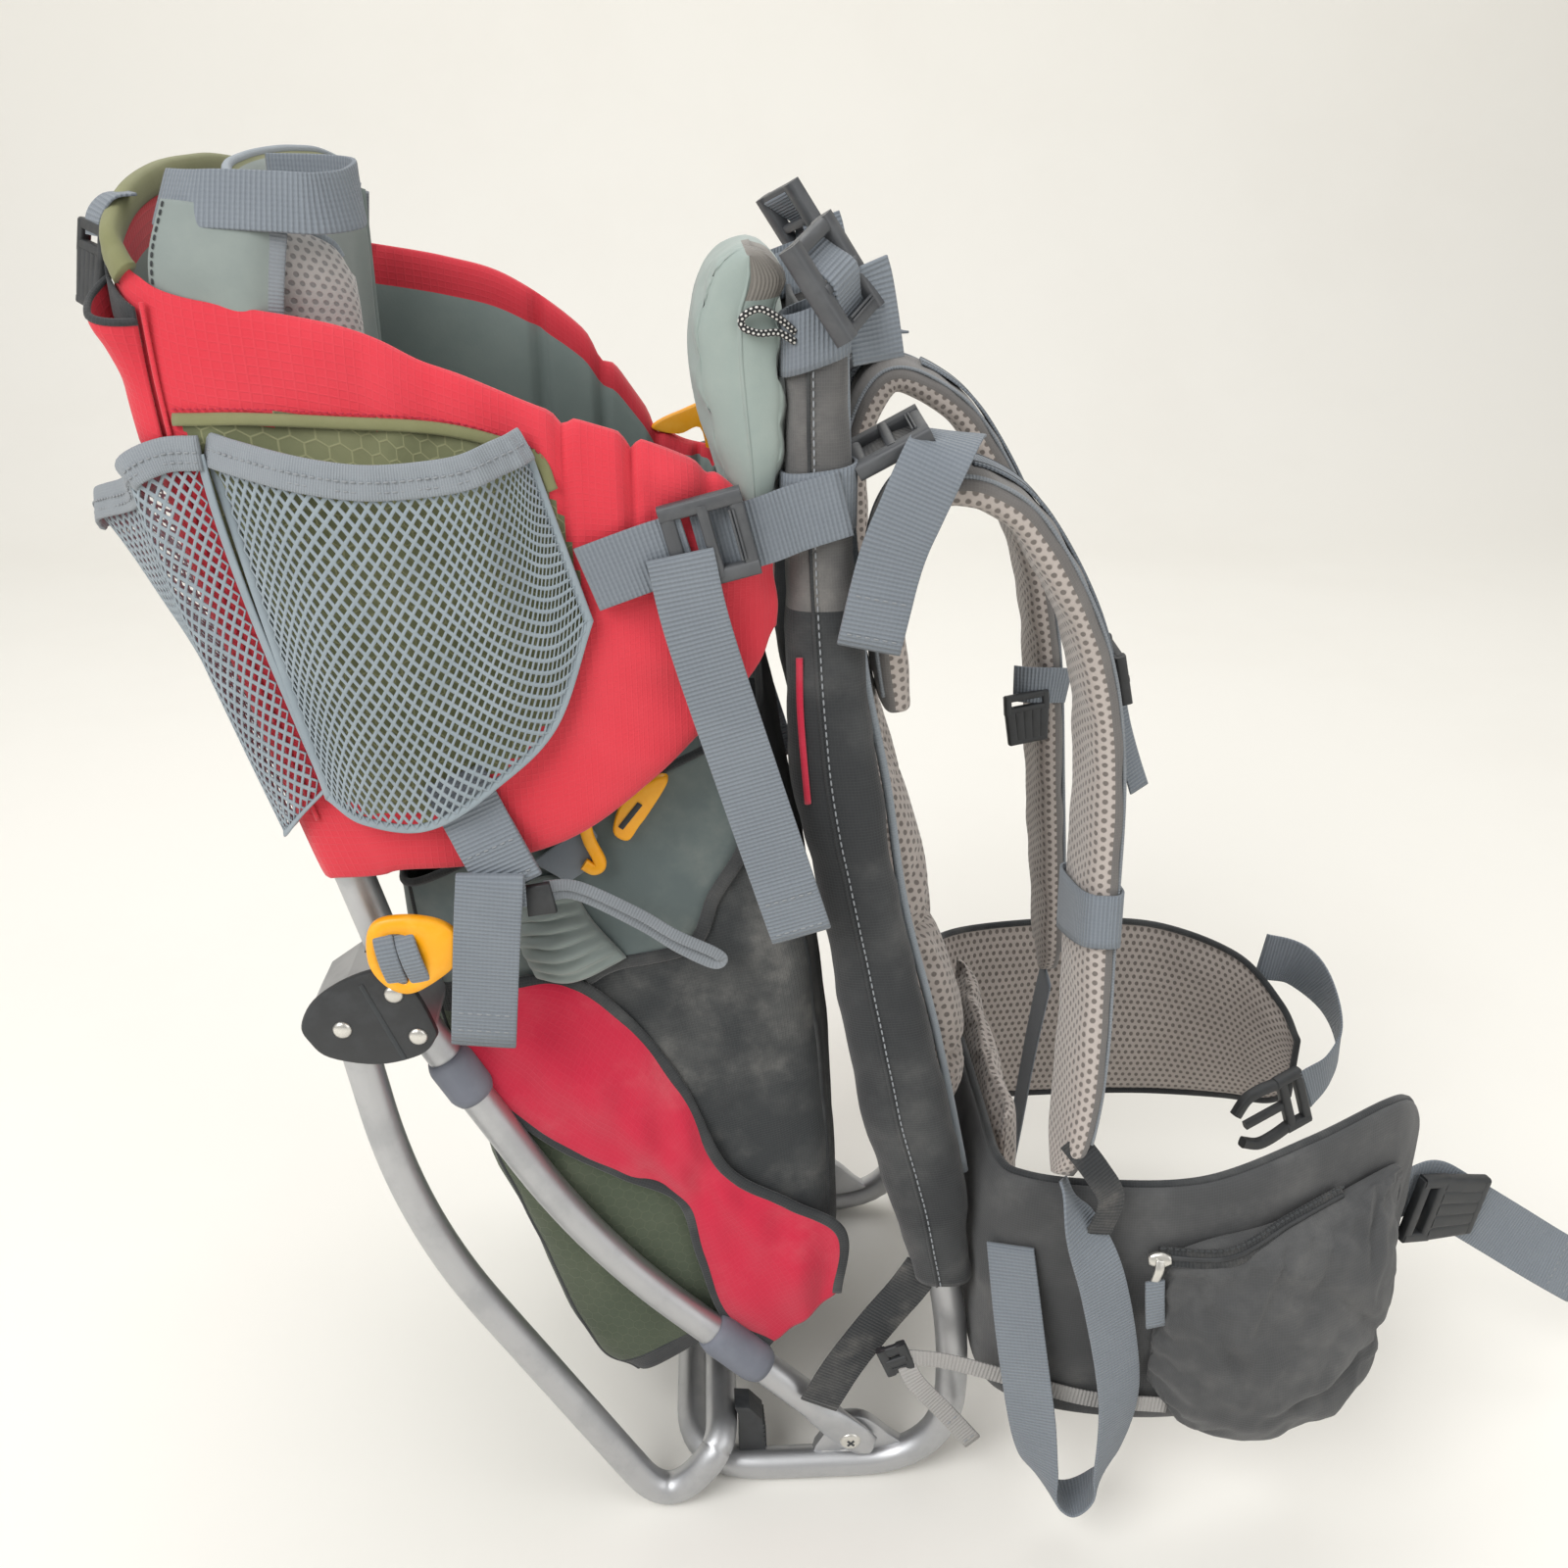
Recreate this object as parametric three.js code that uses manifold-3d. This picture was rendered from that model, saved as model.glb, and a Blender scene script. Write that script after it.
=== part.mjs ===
// A child carrier backpack: a bent aluminium frame with a folding kickstand, a padded cabin for the child,
// a cargo bag below it, and the wearer's back pads, shoulder straps and hip belt.
// Millimetres. X points to the wearer's front, Y to the wearer's left, Z up.
// The origin lies on the floor, under the middle of the base cross bar.
import * as THREE from "three";
import { mergeVertices } from "three/addons/utils/BufferGeometryUtils.js";
import Module from "manifold-3d";

const wasm = await Module();
wasm.setup();

// Driving dimensions
const TUBE_RADIUS = 9.5;
const TUBE_SIDES = 10;
const FRAME_HALF_WIDTH = 122; // base, upright and stay tubes, from the middle
const LEG_HALF_WIDTH = 138; // kickstand legs, outside the base
const SEAM_GAP = 0.4; // left between pieces that touch
const WEB_THICK = 1.8;
const PIVOT_X = -165;
const PIVOT_Z = 355;
const SIDES = { right: -1, left: 1 };

// The base tube lies on one of its flats.
const BASE_Z = TUBE_RADIUS * Math.cos(Math.PI / TUBE_SIDES);

const at = (x, y, z) => new THREE.Vector3(x, y, z);
const lerp = THREE.MathUtils.lerp;

// Value of one column of a table at a key, straight between its rows.
function lookUp(rows, key, column, value) {
  const falls = rows[0][key] > rows.at(-1)[key];
  const before = (row) => (falls ? row[key] > value : row[key] < value);
  let i = 1;
  while (i < rows.length - 1 && before(rows[i])) i += 1;
  const [a, b] = [rows[i - 1], rows[i]];
  return lerp(a[column], b[column], (value - a[key]) / (b[key] - a[key]));
}

// Shape helpers

// One skin with shared corners, turned so that its faces look outward.
function closed(geometry) {
  const bare = new THREE.BufferGeometry();
  bare.setAttribute("position", geometry.getAttribute("position"));
  if (geometry.index) bare.setIndex(geometry.index);
  const skin = mergeVertices(bare, 1e-3);
  const corner = (i) => at(0, 0, 0).fromBufferAttribute(skin.attributes.position, skin.index.getX(i));
  let volume = 0;
  for (let i = 0; i < skin.index.count; i += 3) volume += corner(i).dot(corner(i + 1).cross(corner(i + 2)));
  if (volume < 0) skin.setIndex([...skin.index.array].reverse());
  return skin;
}

function toSolid(geometry) {
  const skin = closed(geometry);
  const vertProperties = new Float32Array(skin.attributes.position.array);
  return new wasm.Manifold(new wasm.Mesh({ numProp: 3, vertProperties, triVerts: new Uint32Array(skin.index.array) }));
}

function toGeometry(solid) {
  const mesh = solid.getMesh();
  const geometry = new THREE.BufferGeometry();
  geometry.setAttribute("position", new THREE.BufferAttribute(mesh.vertProperties, 3));
  geometry.setIndex([...mesh.triVerts]);
  return geometry;
}

const joined = (first, ...rest) => toGeometry(rest.reduce((sum, g) => sum.add(toSolid(g)), toSolid(first)));
const cut = (first, ...rest) => toGeometry(rest.reduce((left, g) => left.subtract(toSolid(g)), toSolid(first)));

// Straight runs with rounded corners: a corner's bend is its setback along both runs.
function bentPath(corners) {
  const path = new THREE.CurvePath();
  let from = corners[0].p;
  corners.slice(1).forEach(({ p, bend }, i) => {
    const next = corners[i + 2];
    if (next) {
      const enter = corners[i].p.clone().sub(p).setLength(bend).add(p);
      const leave = next.p.clone().sub(p).setLength(bend).add(p);
      path.add(new THREE.LineCurve3(from, enter));
      path.add(new THREE.QuadraticBezierCurve3(enter, p, leave));
      from = leave;
    } else path.add(new THREE.LineCurve3(from, p));
  });
  return path;
}

// A round tube along a path, with a flat underneath at the path's middle.
function tubeAlong(path, steps, radius = TUBE_RADIUS, bore = 0) {
  const frames = path.computeFrenetFrames(steps, false);
  const middle = Math.round(steps / 2);
  const down = Math.atan2(-frames.binormals[middle].z, -frames.normals[middle].z);
  const ring = (r) =>
    Array.from({ length: TUBE_SIDES }, (_, k) => {
      const turn = down + ((k + 0.5) * 2 * Math.PI) / TUBE_SIDES;
      return new THREE.Vector2(r * Math.cos(turn), r * Math.sin(turn));
    });
  const section = new THREE.Shape(ring(radius));
  if (bore) section.holes.push(new THREE.Path(ring(bore)));
  return new THREE.ExtrudeGeometry(section, { steps, extrudePath: path, bevelEnabled: false });
}

// An outline in the side view, given as [x, z] corners, thick from one Y to another.
function sidePlate(outline, fromY, toY) {
  const shape = new THREE.Shape(outline.map(([x, z]) => new THREE.Vector2(x, z)));
  const plate = new THREE.ExtrudeGeometry(shape, { depth: Math.abs(toY - fromY), bevelEnabled: false });
  plate.rotateX(Math.PI / 2);
  return plate.translate(0, Math.max(fromY, toY), 0);
}

// A pin along Y, from one Y to another.
function pinAlongY(x, z, radius, fromY, toY) {
  const pin = new THREE.CylinderGeometry(radius, radius, Math.abs(toY - fromY), 12);
  return pin.translate(x, (fromY + toY) / 2, z);
}

// A skin through rings of equal count, with flat ends, or joined end to end where it is a loop.
function loft(rings, loop = false) {
  const sides = rings[0].length;
  const index = [];
  const last = loop ? rings.length : rings.length - 1;
  for (let r = 0; r < last; r += 1)
    for (let k = 0; k < sides; k += 1) {
      const [a, b] = [r * sides + k, r * sides + ((k + 1) % sides)];
      const up = (((r + 1) % rings.length) - r) * sides;
      index.push(a, b, b + up, a, b + up, a + up);
    }
  if (!loop)
    for (let k = 1; k < sides - 1; k += 1) {
      const top = (rings.length - 1) * sides;
      index.push(0, k + 1, k, top, top + k, top + k + 1);
    }
  const geometry = new THREE.BufferGeometry();
  geometry.setAttribute("position", new THREE.Float32BufferAttribute(rings.flat().flatMap((p) => p.toArray()), 3));
  geometry.setIndex(index);
  return closed(geometry);
}

// A wall whose outer skin is a grid of points, columns of rows, and whose inner skin lies inside it.
function wall(grid, thickness, inside) {
  const [columns, rows] = [grid.length, grid[0].length];
  const outer = grid.flat();
  const inner = outer.map((p, n) => {
    const [i, j] = [Math.floor(n / rows), n % rows];
    const along = grid[Math.min(i + 1, columns - 1)][j].clone().sub(grid[Math.max(i - 1, 0)][j]);
    const up = grid[i][Math.min(j + 1, rows - 1)].clone().sub(grid[i][Math.max(j - 1, 0)]);
    const normal = along.cross(up).normalize();
    if (normal.dot(inside.clone().sub(p)) < 0) normal.negate();
    return p.clone().addScaledVector(normal, typeof thickness === "number" ? thickness : thickness[i]);
  });
  const index = [];
  const shift = outer.length;
  const quad = (a, b, c, d) => index.push(a, b, c, a, c, d);
  for (let i = 0; i < columns - 1; i += 1)
    for (let j = 0; j < rows - 1; j += 1) {
      const n = i * rows + j;
      quad(n, n + rows, n + rows + 1, n + 1);
      quad(shift + n, shift + n + 1, shift + n + rows + 1, shift + n + rows);
    }
  for (let i = 0; i < columns - 1; i += 1) {
    const [n, m] = [i * rows, i * rows + rows - 1];
    quad(n, n + shift, n + rows + shift, n + rows);
    quad(m, m + rows, m + rows + shift, m + shift);
  }
  for (let j = 0; j < rows - 1; j += 1) {
    const m = (columns - 1) * rows + j;
    quad(j, j + 1, j + 1 + shift, j + shift);
    quad(m, m + shift, m + 1 + shift, m + 1);
  }
  const geometry = new THREE.BufferGeometry();
  geometry.setAttribute("position", new THREE.Float32BufferAttribute([...outer, ...inner].flatMap((p) => p.toArray()), 3));
  geometry.setIndex(index);
  return closed(geometry);
}

// Unit tangents of a row of points.
const tangents = (points) =>
  points.map((_, i) => points[Math.min(i + 1, points.length - 1)].clone().sub(points[Math.max(i - 1, 0)]).normalize());

// Flat webbing through stations, each with a point and the way that its broad face looks.
function webbing(stations, width, thick = WEB_THICK) {
  const along = tangents(stations.map((s) => s.p));
  return loft(
    stations.map(({ p, face }, i) => {
      const normal = face.clone().addScaledVector(along[i], -face.dot(along[i])).normalize();
      const across = along[i].clone().cross(normal);
      const corner = (u, v) => p.clone().addScaledVector(across, (u * width) / 2).addScaledVector(normal, (v * thick) / 2);
      return [corner(-1, -1), corner(1, -1), corner(1, 1), corner(-1, 1)];
    }),
  );
}

// An eight-sided padded section: half width and half thickness, with corners cut back.
const PAD_SECTION = [[-1, -0.45], [-0.8, -1], [0.8, -1], [1, -0.45], [1, 0.45], [0.8, 1], [-0.8, 1], [-1, 0.45]];

// A padded strip through stations: a point, the way its width runs, and its half sizes.
function pad(stations) {
  const along = tangents(stations.map((s) => s.p));
  return loft(
    stations.map(({ p, across, halfWidth, halfThick }, i) => {
      const wide = across.clone().addScaledVector(along[i], -across.dot(along[i])).normalize();
      const thick = along[i].clone().cross(wide);
      return PAD_SECTION.map(([u, v]) =>
        p.clone().addScaledVector(wide, u * halfWidth).addScaledVector(thick, v * halfThick),
      );
    }),
  );
}

// A strap lock: a flat plate with two slots, in its own plane, with its length along X.
function lockPlate(length, width, thick) {
  const box = (x0, x1, y0, y1) => [[x0, y0], [x1, y0], [x1, y1], [x0, y1]].map(([x, y]) => new THREE.Vector2(x, y));
  const rim = 5;
  const bar = 3;
  const plate = new THREE.Shape(box(-length / 2, length / 2, -width / 2, width / 2));
  for (const [turn, side] of [[-1, rim], [1, rim + 1]]) {
    const [near, far] = [turn * bar, turn * (length / 2 - rim)];
    plate.holes.push(new THREE.Path(box(Math.min(near, far), Math.max(near, far), side - width / 2, width / 2 - side)));
  }
  return new THREE.ExtrudeGeometry(plate, { depth: thick, bevelEnabled: false }).translate(0, 0, -thick / 2);
}

// Assembly

const carrier = new THREE.Group();
const FINISHES = {
  aluminium: { color: 0xb4b6b8, roughness: 0.35, metalness: 0.9 },
  blackPlastic: { color: 0x2f3133, roughness: 0.5, metalness: 0 },
  yellowPlastic: { color: 0xf7b50c, roughness: 0.4, metalness: 0 },
  redFabric: { color: 0xd63a4a, roughness: 0.8, metalness: 0 },
  greyFabric: { color: 0x7d8686, roughness: 0.85, metalness: 0 },
  oliveFabric: { color: 0x74785a, roughness: 0.85, metalness: 0 },
  blackFabric: { color: 0x3c3f41, roughness: 0.9, metalness: 0 },
  meshFabric: { color: 0xb3a9a2, roughness: 0.9, metalness: 0 },
  greyMesh: { color: 0x8e979b, roughness: 0.9, metalness: 0 },
  webbing: { color: 0x7c8289, roughness: 0.8, metalness: 0 },
};

function place(name, finish, geometry) {
  const mesh = new THREE.Mesh(geometry, new THREE.MeshStandardMaterial(FINISHES[finish]));
  mesh.name = name;
  carrier.add(mesh);
  return mesh;
}

// A strap lock set with its length along one way and its face along another.
function placeLock(name, finish, { length, width, thick, p, along, face }) {
  const mesh = place(name, finish, lockPlate(length, width, thick));
  const x = along.clone().normalize();
  const z = face.clone().addScaledVector(x, -face.dot(x)).normalize();
  mesh.quaternion.setFromRotationMatrix(new THREE.Matrix4().makeBasis(x, z.clone().cross(x), z));
  mesh.position.copy(p);
}

// Frame tubes

const UPRIGHT = [
  { x: 70, z: 676, bend: 0 },
  { x: 71.5, z: 478, bend: 70 },
  { x: 158, z: 121, bend: 50 },
  { x: 158, z: BASE_Z, bend: 58 },
];
const BASE_CORNER_BEND = 45;

// Both halves of a path that is the same on the right and the left.
function bothHalves(half) {
  const mirrored = half.map(({ p, bend }) => ({ p: at(p.x, -p.y, p.z), bend })).reverse();
  return [...half, ...mirrored];
}

const basePath = bentPath(
  bothHalves([
    ...UPRIGHT.map(({ x, z, bend }) => ({ p: at(x, -FRAME_HALF_WIDTH, z), bend })),
    { p: at(0, -FRAME_HALF_WIDTH, BASE_Z), bend: BASE_CORNER_BEND },
  ]),
);

// Side view of the upright tube, as drawn by the bent path.
const uprightLine = basePath.getPoints(24).filter((p) => p.y < 0 && p.z > 60);
const uprightX = (z) => lookUp(uprightLine, "z", "x", z);

const GUSSET = [[78, 13], [136, 13], [122, 30], [106, 45], [90, 45], [82, 34]];
const GUSSET_Y = { outer: 123.6, inner: 116 };
const gusset = (side) => sidePlate(GUSSET, side * GUSSET_Y.inner, side * GUSSET_Y.outer);
place("base_frame", "aluminium", joined(tubeAlong(basePath, 84), gusset(SIDES.right), gusset(SIDES.left)));

const STAY = [
  { x: 74, z: 59, bend: 0 },
  { x: -52, z: 186, bend: 68 },
  { x: -136, z: 342, bend: 25 },
  { x: -203, z: 607, bend: 50 },
  { x: -208, z: 690, bend: 24 },
];
const stayHalf = STAY.map(({ x, z, bend }) => ({ p: at(x, -FRAME_HALF_WIDTH, z), bend }));
const stayPath = bentPath(bothHalves(stayHalf));
const stayLine = stayPath.getPoints(24).filter((p) => p.y < -FRAME_HALF_WIDTH + 1);
const stayX = (z) => lookUp(stayLine, "z", "x", Math.min(z, 664));

// The stay's flattened end lies against the gusset, with a screw through both.
const LUG = { x: 98, z: 35, radius: 11, outer: 131.4, screwRadius: 6, screwProud: 2.5 };
function stayLug(side) {
  const inner = side * (GUSSET_Y.outer + SEAM_GAP);
  const tongue = [[60, 62], [71, 73], [LUG.x + 6.2, LUG.z + 9], [LUG.x + 11, LUG.z], [LUG.x + 6, LUG.z - 9.2], [LUG.x - 6, LUG.z - 9]];
  const screwTop = side * (LUG.outer + LUG.screwProud);
  return [
    sidePlate(tongue, inner, side * LUG.outer),
    pinAlongY(LUG.x - 1, LUG.z, LUG.screwRadius, side * (LUG.outer - 1), screwTop),
  ];
}
place("seat_stay", "aluminium", joined(tubeAlong(stayPath, 78), ...stayLug(SIDES.right), ...stayLug(SIDES.left)));

// The kickstand's cross bar lies just high enough to swing over the base cross bar.
const KICK_BAR = { x: 19, z: 41.5 };
const LEG_TOP_ABOVE_PIVOT = 8;
const LEG = [
  { x: PIVOT_X - 1.3, z: PIVOT_Z + LEG_TOP_ABOVE_PIVOT, bend: 0 },
  { x: -147, z: 222, bend: 75 },
  { x: -15, z: -4.4, bend: 26 },
  { x: KICK_BAR.x, z: KICK_BAR.z, bend: 19 },
];
const kickHalf = LEG.map(({ x, z, bend }) => ({ p: at(x, -LEG_HALF_WIDTH, z), bend }));
place("kickstand", "aluminium", closed(tubeAlong(bentPath(bothHalves(kickHalf)), 60)));

// Dark clips stand on the base tubes and hold the folded kickstand's bar from the front.
const CLIP = [[29.2, 18.4], [46, 18.4], [44, 44], [36, 54], [27, 55], [29, 49], [29.2, 38]];
const CLIP_Y = { outer: 121, inner: 105 };
for (const [name, side] of Object.entries(SIDES))
  place(`kickstand_clip_${name}`, "blackPlastic", closed(sidePlate(CLIP, side * CLIP_Y.inner, side * CLIP_Y.outer)));

// Hinge of the kickstand on the stay: a black plate outside, a silver housing behind it.
const HINGE_OUTLINE = [
  [-185.5, 357], [-178, 371], [-161, 383], [-142, 388], [-128, 377], [-119, 354], [-120, 347], [-128, 338], [-150, 333],
  [-174, 338], [-183, 348],
];
const RIVETS = [[PIVOT_X, PIVOT_Z], [-137.5, 375], [-128, 350]];
const HINGE_Y = { plateOuter: 153.5, plateInner: 148, bodyInner: 112.9, legBack: 127.9 };
const REST_LEAN = Math.atan2(18, 141);
const SWING = THREE.MathUtils.degToRad(60);

// The room that the leg's head sweeps, from hanging at rest to swung right out.
function legSweep(side) {
  const room = TUBE_RADIUS + 0.8;
  const head = 13.4;
  const reach = 90;
  const ray = (turn, far, aside = 0) => [
    PIVOT_X + far * Math.sin(turn) + aside * Math.cos(turn),
    PIVOT_Z - far * Math.cos(turn) + aside * Math.sin(turn),
  ];
  const [first, final] = [REST_LEAN, REST_LEAN - SWING];
  const overTop = [0, 0.25, 0.5, 0.75, 1].map((v) => lerp(final - Math.PI / 2, first - 1.5 * Math.PI, v));
  const outline = [
    ray(first, reach, room), ray((first + final) / 2, 1.3 * reach), ray(final, reach, -room),
    ...overTop.map((turn) => ray(turn, head)),
  ];
  return sidePlate(outline, side * HINGE_Y.legBack, side * (HINGE_Y.plateInner + 1));
}

const STAY_CLEARANCE = 0.9;
for (const [name, side] of Object.entries(SIDES)) {
  const rivets = RIVETS.map(([x, z]) => pinAlongY(x, z, 4.6, side * (HINGE_Y.plateOuter - 1), side * (HINGE_Y.plateOuter + 1.6)));
  const plate = sidePlate(HINGE_OUTLINE, side * HINGE_Y.plateInner, side * HINGE_Y.plateOuter);
  place(`hinge_plate_${name}`, "blackPlastic", joined(plate, ...rivets));
  const inset = ([x, z]) => [lerp(x, -150, 0.04), lerp(z, 358, 0.04)];
  const block = sidePlate(HINGE_OUTLINE.map(inset), side * HINGE_Y.bodyInner, side * (HINGE_Y.plateInner - SEAM_GAP));
  const runs = stayHalf.map(({ p, bend }) => ({ p: at(p.x, side * FRAME_HALF_WIDTH, p.z), bend }));
  const stayRoom = tubeAlong(bentPath(runs.slice(1, 4)), 24, TUBE_RADIUS + STAY_CLEARANCE);
  place(`hinge_body_${name}`, "aluminium", cut(block, stayRoom, legSweep(side)));
}

// Plastic sleeves on the stay, where the side flaps are sewn on.
const SLEEVE_RADIUS = 13;
const SLEEVES = [
  { level: "lower", from: [44, 89.3], to: [14, 119.5] },
  { level: "upper", from: [-108.5, 291], to: [-122.5, 317] },
];
for (const [name, side] of Object.entries(SIDES))
  for (const { level, from, to } of SLEEVES) {
    const y = side * FRAME_HALF_WIDTH;
    const run = new THREE.LineCurve3(at(from[0], y, from[1]), at(to[0], y, to[1]));
    place(`stay_sleeve_${level}_${name}`, "greyFabric", closed(tubeAlong(run, 1, SLEEVE_RADIUS, TUBE_RADIUS + STAY_CLEARANCE)));
  }

// Cabin

// The collar's outline: along each side by X, then round the stay, by the distance from the stay's line.
// The left side's front sags, with its rim lower.
const COLLAR_SIDE = [
  { x: 53, y: 133, low: 556, high: 594, leftHigh: 578, thick: 8 },
  { x: 44, y: 141, low: 535, high: 614, leftHigh: 580, thick: 8 },
  { x: 26, y: 147, low: 516, high: 631, leftHigh: 582, thick: 8 },
  { x: -5, y: 150, low: 485, high: 645, leftHigh: 594, thick: 8 },
  { x: -45, y: 150, low: 455, high: 658, leftHigh: 646, thick: 8 },
  { x: -90, y: 149, low: 441, high: 677, leftHigh: 680, thick: 8 },
  { x: -130, y: 147, low: 438, high: 693, leftHigh: 693, thick: 7 },
];
const COLLAR_REAR = [
  { dx: 17, y: 143, low: 434, high: 704, thick: 4 },
  { dx: -2, y: 139.5, low: 432, high: 713, thick: 2.5 },
  { dx: -10, y: 134.5, low: 430, high: 722, thick: 2.5 },
  { dx: -13.9, y: 125, low: 430, high: 731, thick: 2.5 },
  { dx: -14.9, y: 95, low: 430, high: 743, thick: 2.5 },
  { dx: -17.5, y: 45, low: 430, high: 749, thick: 2.5 },
];
const COLLAR_BACK = { dx: -18, y: 0, low: 430, high: 750, thick: 2.5 };
const COLLAR_ROWS = 5;
const collarX = (station, z) => station.x ?? stayX(z) + station.dx;

// Half width of the collar's outer skin at a place in the side view.
function collarHalfWidth(x, z) {
  const row = [...COLLAR_SIDE, ...COLLAR_REAR].map((s) => ({ x: collarX(s, z), y: s.y }));
  return lookUp(row, "x", "y", x);
}

function collarColumn(station, side) {
  const high = side > 0 ? station.leftHigh ?? station.high : station.high;
  return Array.from({ length: COLLAR_ROWS }, (_, j) => {
    const z = lerp(station.low, high, j / (COLLAR_ROWS - 1));
    return at(collarX(station, z), side * station.y, z);
  });
}
const collarHalf = [...COLLAR_SIDE, ...COLLAR_REAR];
const collarStations = [...collarHalf, COLLAR_BACK, ...[...collarHalf].reverse()];
const collarGrid = [
  ...collarHalf.map((s) => collarColumn(s, SIDES.right)),
  collarColumn(COLLAR_BACK, 1),
  ...[...collarHalf].reverse().map((s) => collarColumn(s, SIDES.left)),
];
place("cabin_wall", "redFabric", wall(collarGrid, collarStations.map((s) => s.thick), at(-80, 0, 570)));

// The headrest: a thick pad round the head, in front of the stay's top bar.
const HEADREST = [
  { x: -138, y: 114, low: 622, high: 699 },
  { x: -152, y: 122, low: 616, high: 716 },
  { x: -168, y: 124, low: 612, high: 732 },
  { x: -184, y: 114, low: 612, high: 743 },
  { x: -193, y: 92, low: 612, high: 750 },
  { x: -197.6, y: 50, low: 612, high: 753 },
];
const HEADREST_BACK = { x: -198.1, y: 0, low: 612, high: 754 };
const HEADREST_THICK = 26;
const headrestColumn = ({ x, y, low, high }, side) => [low, lerp(low, high, 0.5), high].map((z) => at(x, side * y, z));
place("headrest", "meshFabric", wall(
  [
    ...HEADREST.map((s) => headrestColumn(s, SIDES.right)),
    headrestColumn(HEADREST_BACK, 1),
    ...[...HEADREST].reverse().map((s) => headrestColumn(s, SIDES.left)),
  ],
  HEADREST_THICK,
  at(-100, 0, 680),
));

// The grab loop of ribbed webbing: along the headrest's right side, round its front and back inside.
const HANDLE = [
  { x: -198, y: -119, z: 734, face: [-0.6, -0.8] },
  { x: -182, y: -128, z: 735, face: [-0.3, -1] },
  { x: -158, y: -130, z: 736, face: [0, -1] },
  { x: -136, y: -128, z: 737, face: [0.2, -1] },
  { x: -121, y: -113, z: 738, face: [1, -0.4] },
  { x: -124, y: -92, z: 739, face: [1, 0.5] },
  { x: -142, y: -76, z: 739, face: [0.5, 1] },
  { x: -168.7, y: -62, z: 738, face: [0.3, 1] },
];
const HANDLE_WIDTH = 35;
place("headrest_handle", "webbing", webbing(
  HANDLE.map(({ x, y, z, face }) => ({ p: at(x, y, z), face: at(face[0], face[1], 0) })),
  HANDLE_WIDTH,
  2.4,
));

// The child's seat: back and seat in one padded piece.
const CHILD_SEAT = [
  { x: -181, z: 609.6 },
  { x: -160, z: 525 },
  { x: -135, z: 460 },
  { x: -102, z: 420 },
  { x: -50, z: 404 },
  { x: 15, z: 408 },
];
const SEAT_HALF_WIDTH = 104;
place("child_seat", "greyFabric", pad(
  CHILD_SEAT.map(({ x, z }) => ({ p: at(x, 0, z), across: at(0, 1, 0), halfWidth: SEAT_HALF_WIDTH, halfThick: 8 })),
));

// Mesh side pockets: columns from the sewn bottom to the elastic hem, bellied out between.
const SIDE_POCKET = [
  { lowX: -157, lowZ: 480, highX: -190, highZ: 642, belly: 0 },
  { lowX: -140, lowZ: 470, highX: -160, highZ: 630, belly: 0.7 },
  { lowX: -112, lowZ: 467, highX: -120, highZ: 620, belly: 1 },
  { lowX: -80, lowZ: 488, highX: -86, highZ: 624, belly: 0.9 },
  { lowX: -50, lowZ: 517, highX: -64, highZ: 637, belly: 0.6 },
  { lowX: -31, lowZ: 567, highX: -54, highZ: 644, belly: 0 },
];
const POCKET_BELLY = 17;
const POCKET_THICK = 1.6;
const POCKET_ROWS = 5;
const POCKET_FOLD = 1.5;
for (const [name, side] of Object.entries(SIDES)) {
  const grid = SIDE_POCKET.map(({ lowX, lowZ, highX, highZ, belly }, i) =>
    Array.from({ length: POCKET_ROWS }, (_, j) => {
      const v = j / (POCKET_ROWS - 1);
      const [x, z] = [lerp(lowX, highX, v), lerp(lowZ, highZ, v)];
      const swell = POCKET_BELLY * belly * Math.sin((0.1 + 0.5 * v) * Math.PI) + POCKET_FOLD * belly * (i % 2);
      return at(x, side * (collarHalfWidth(x, z) + SEAM_GAP + POCKET_THICK + swell), z);
    }),
  );
  place(`side_pocket_${name}`, "greyMesh", wall(grid, POCKET_THICK, at(-100, 0, 560)));
}

// Mesh rear pocket, hanging open behind the cabin.
const REAR_POCKET = [
  { y: -118, low: 452, high: 640, belly: 0 },
  { y: -92, low: 448, high: 606, belly: 0.62 },
  { y: -50, low: 446, high: 590, belly: 0.93 },
  { y: 0, low: 446, high: 586, belly: 1 },
  { y: 50, low: 446, high: 590, belly: 0.93 },
  { y: 92, low: 448, high: 606, belly: 0.62 },
  { y: 118, low: 452, high: 640, belly: 0 },
];
const REAR_BELLY = 62;
place("rear_pocket", "greyMesh", wall(
  REAR_POCKET.map(({ y, low, high, belly }) =>
    Array.from({ length: POCKET_ROWS }, (_, j) => {
      const v = j / (POCKET_ROWS - 1);
      const z = lerp(low, high, v);
      return at(stayX(z) - 20 - REAR_BELLY * belly * v ** 1.2, y, z);
    }),
  ),
  POCKET_THICK,
  at(0, 0, 540),
));

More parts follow.
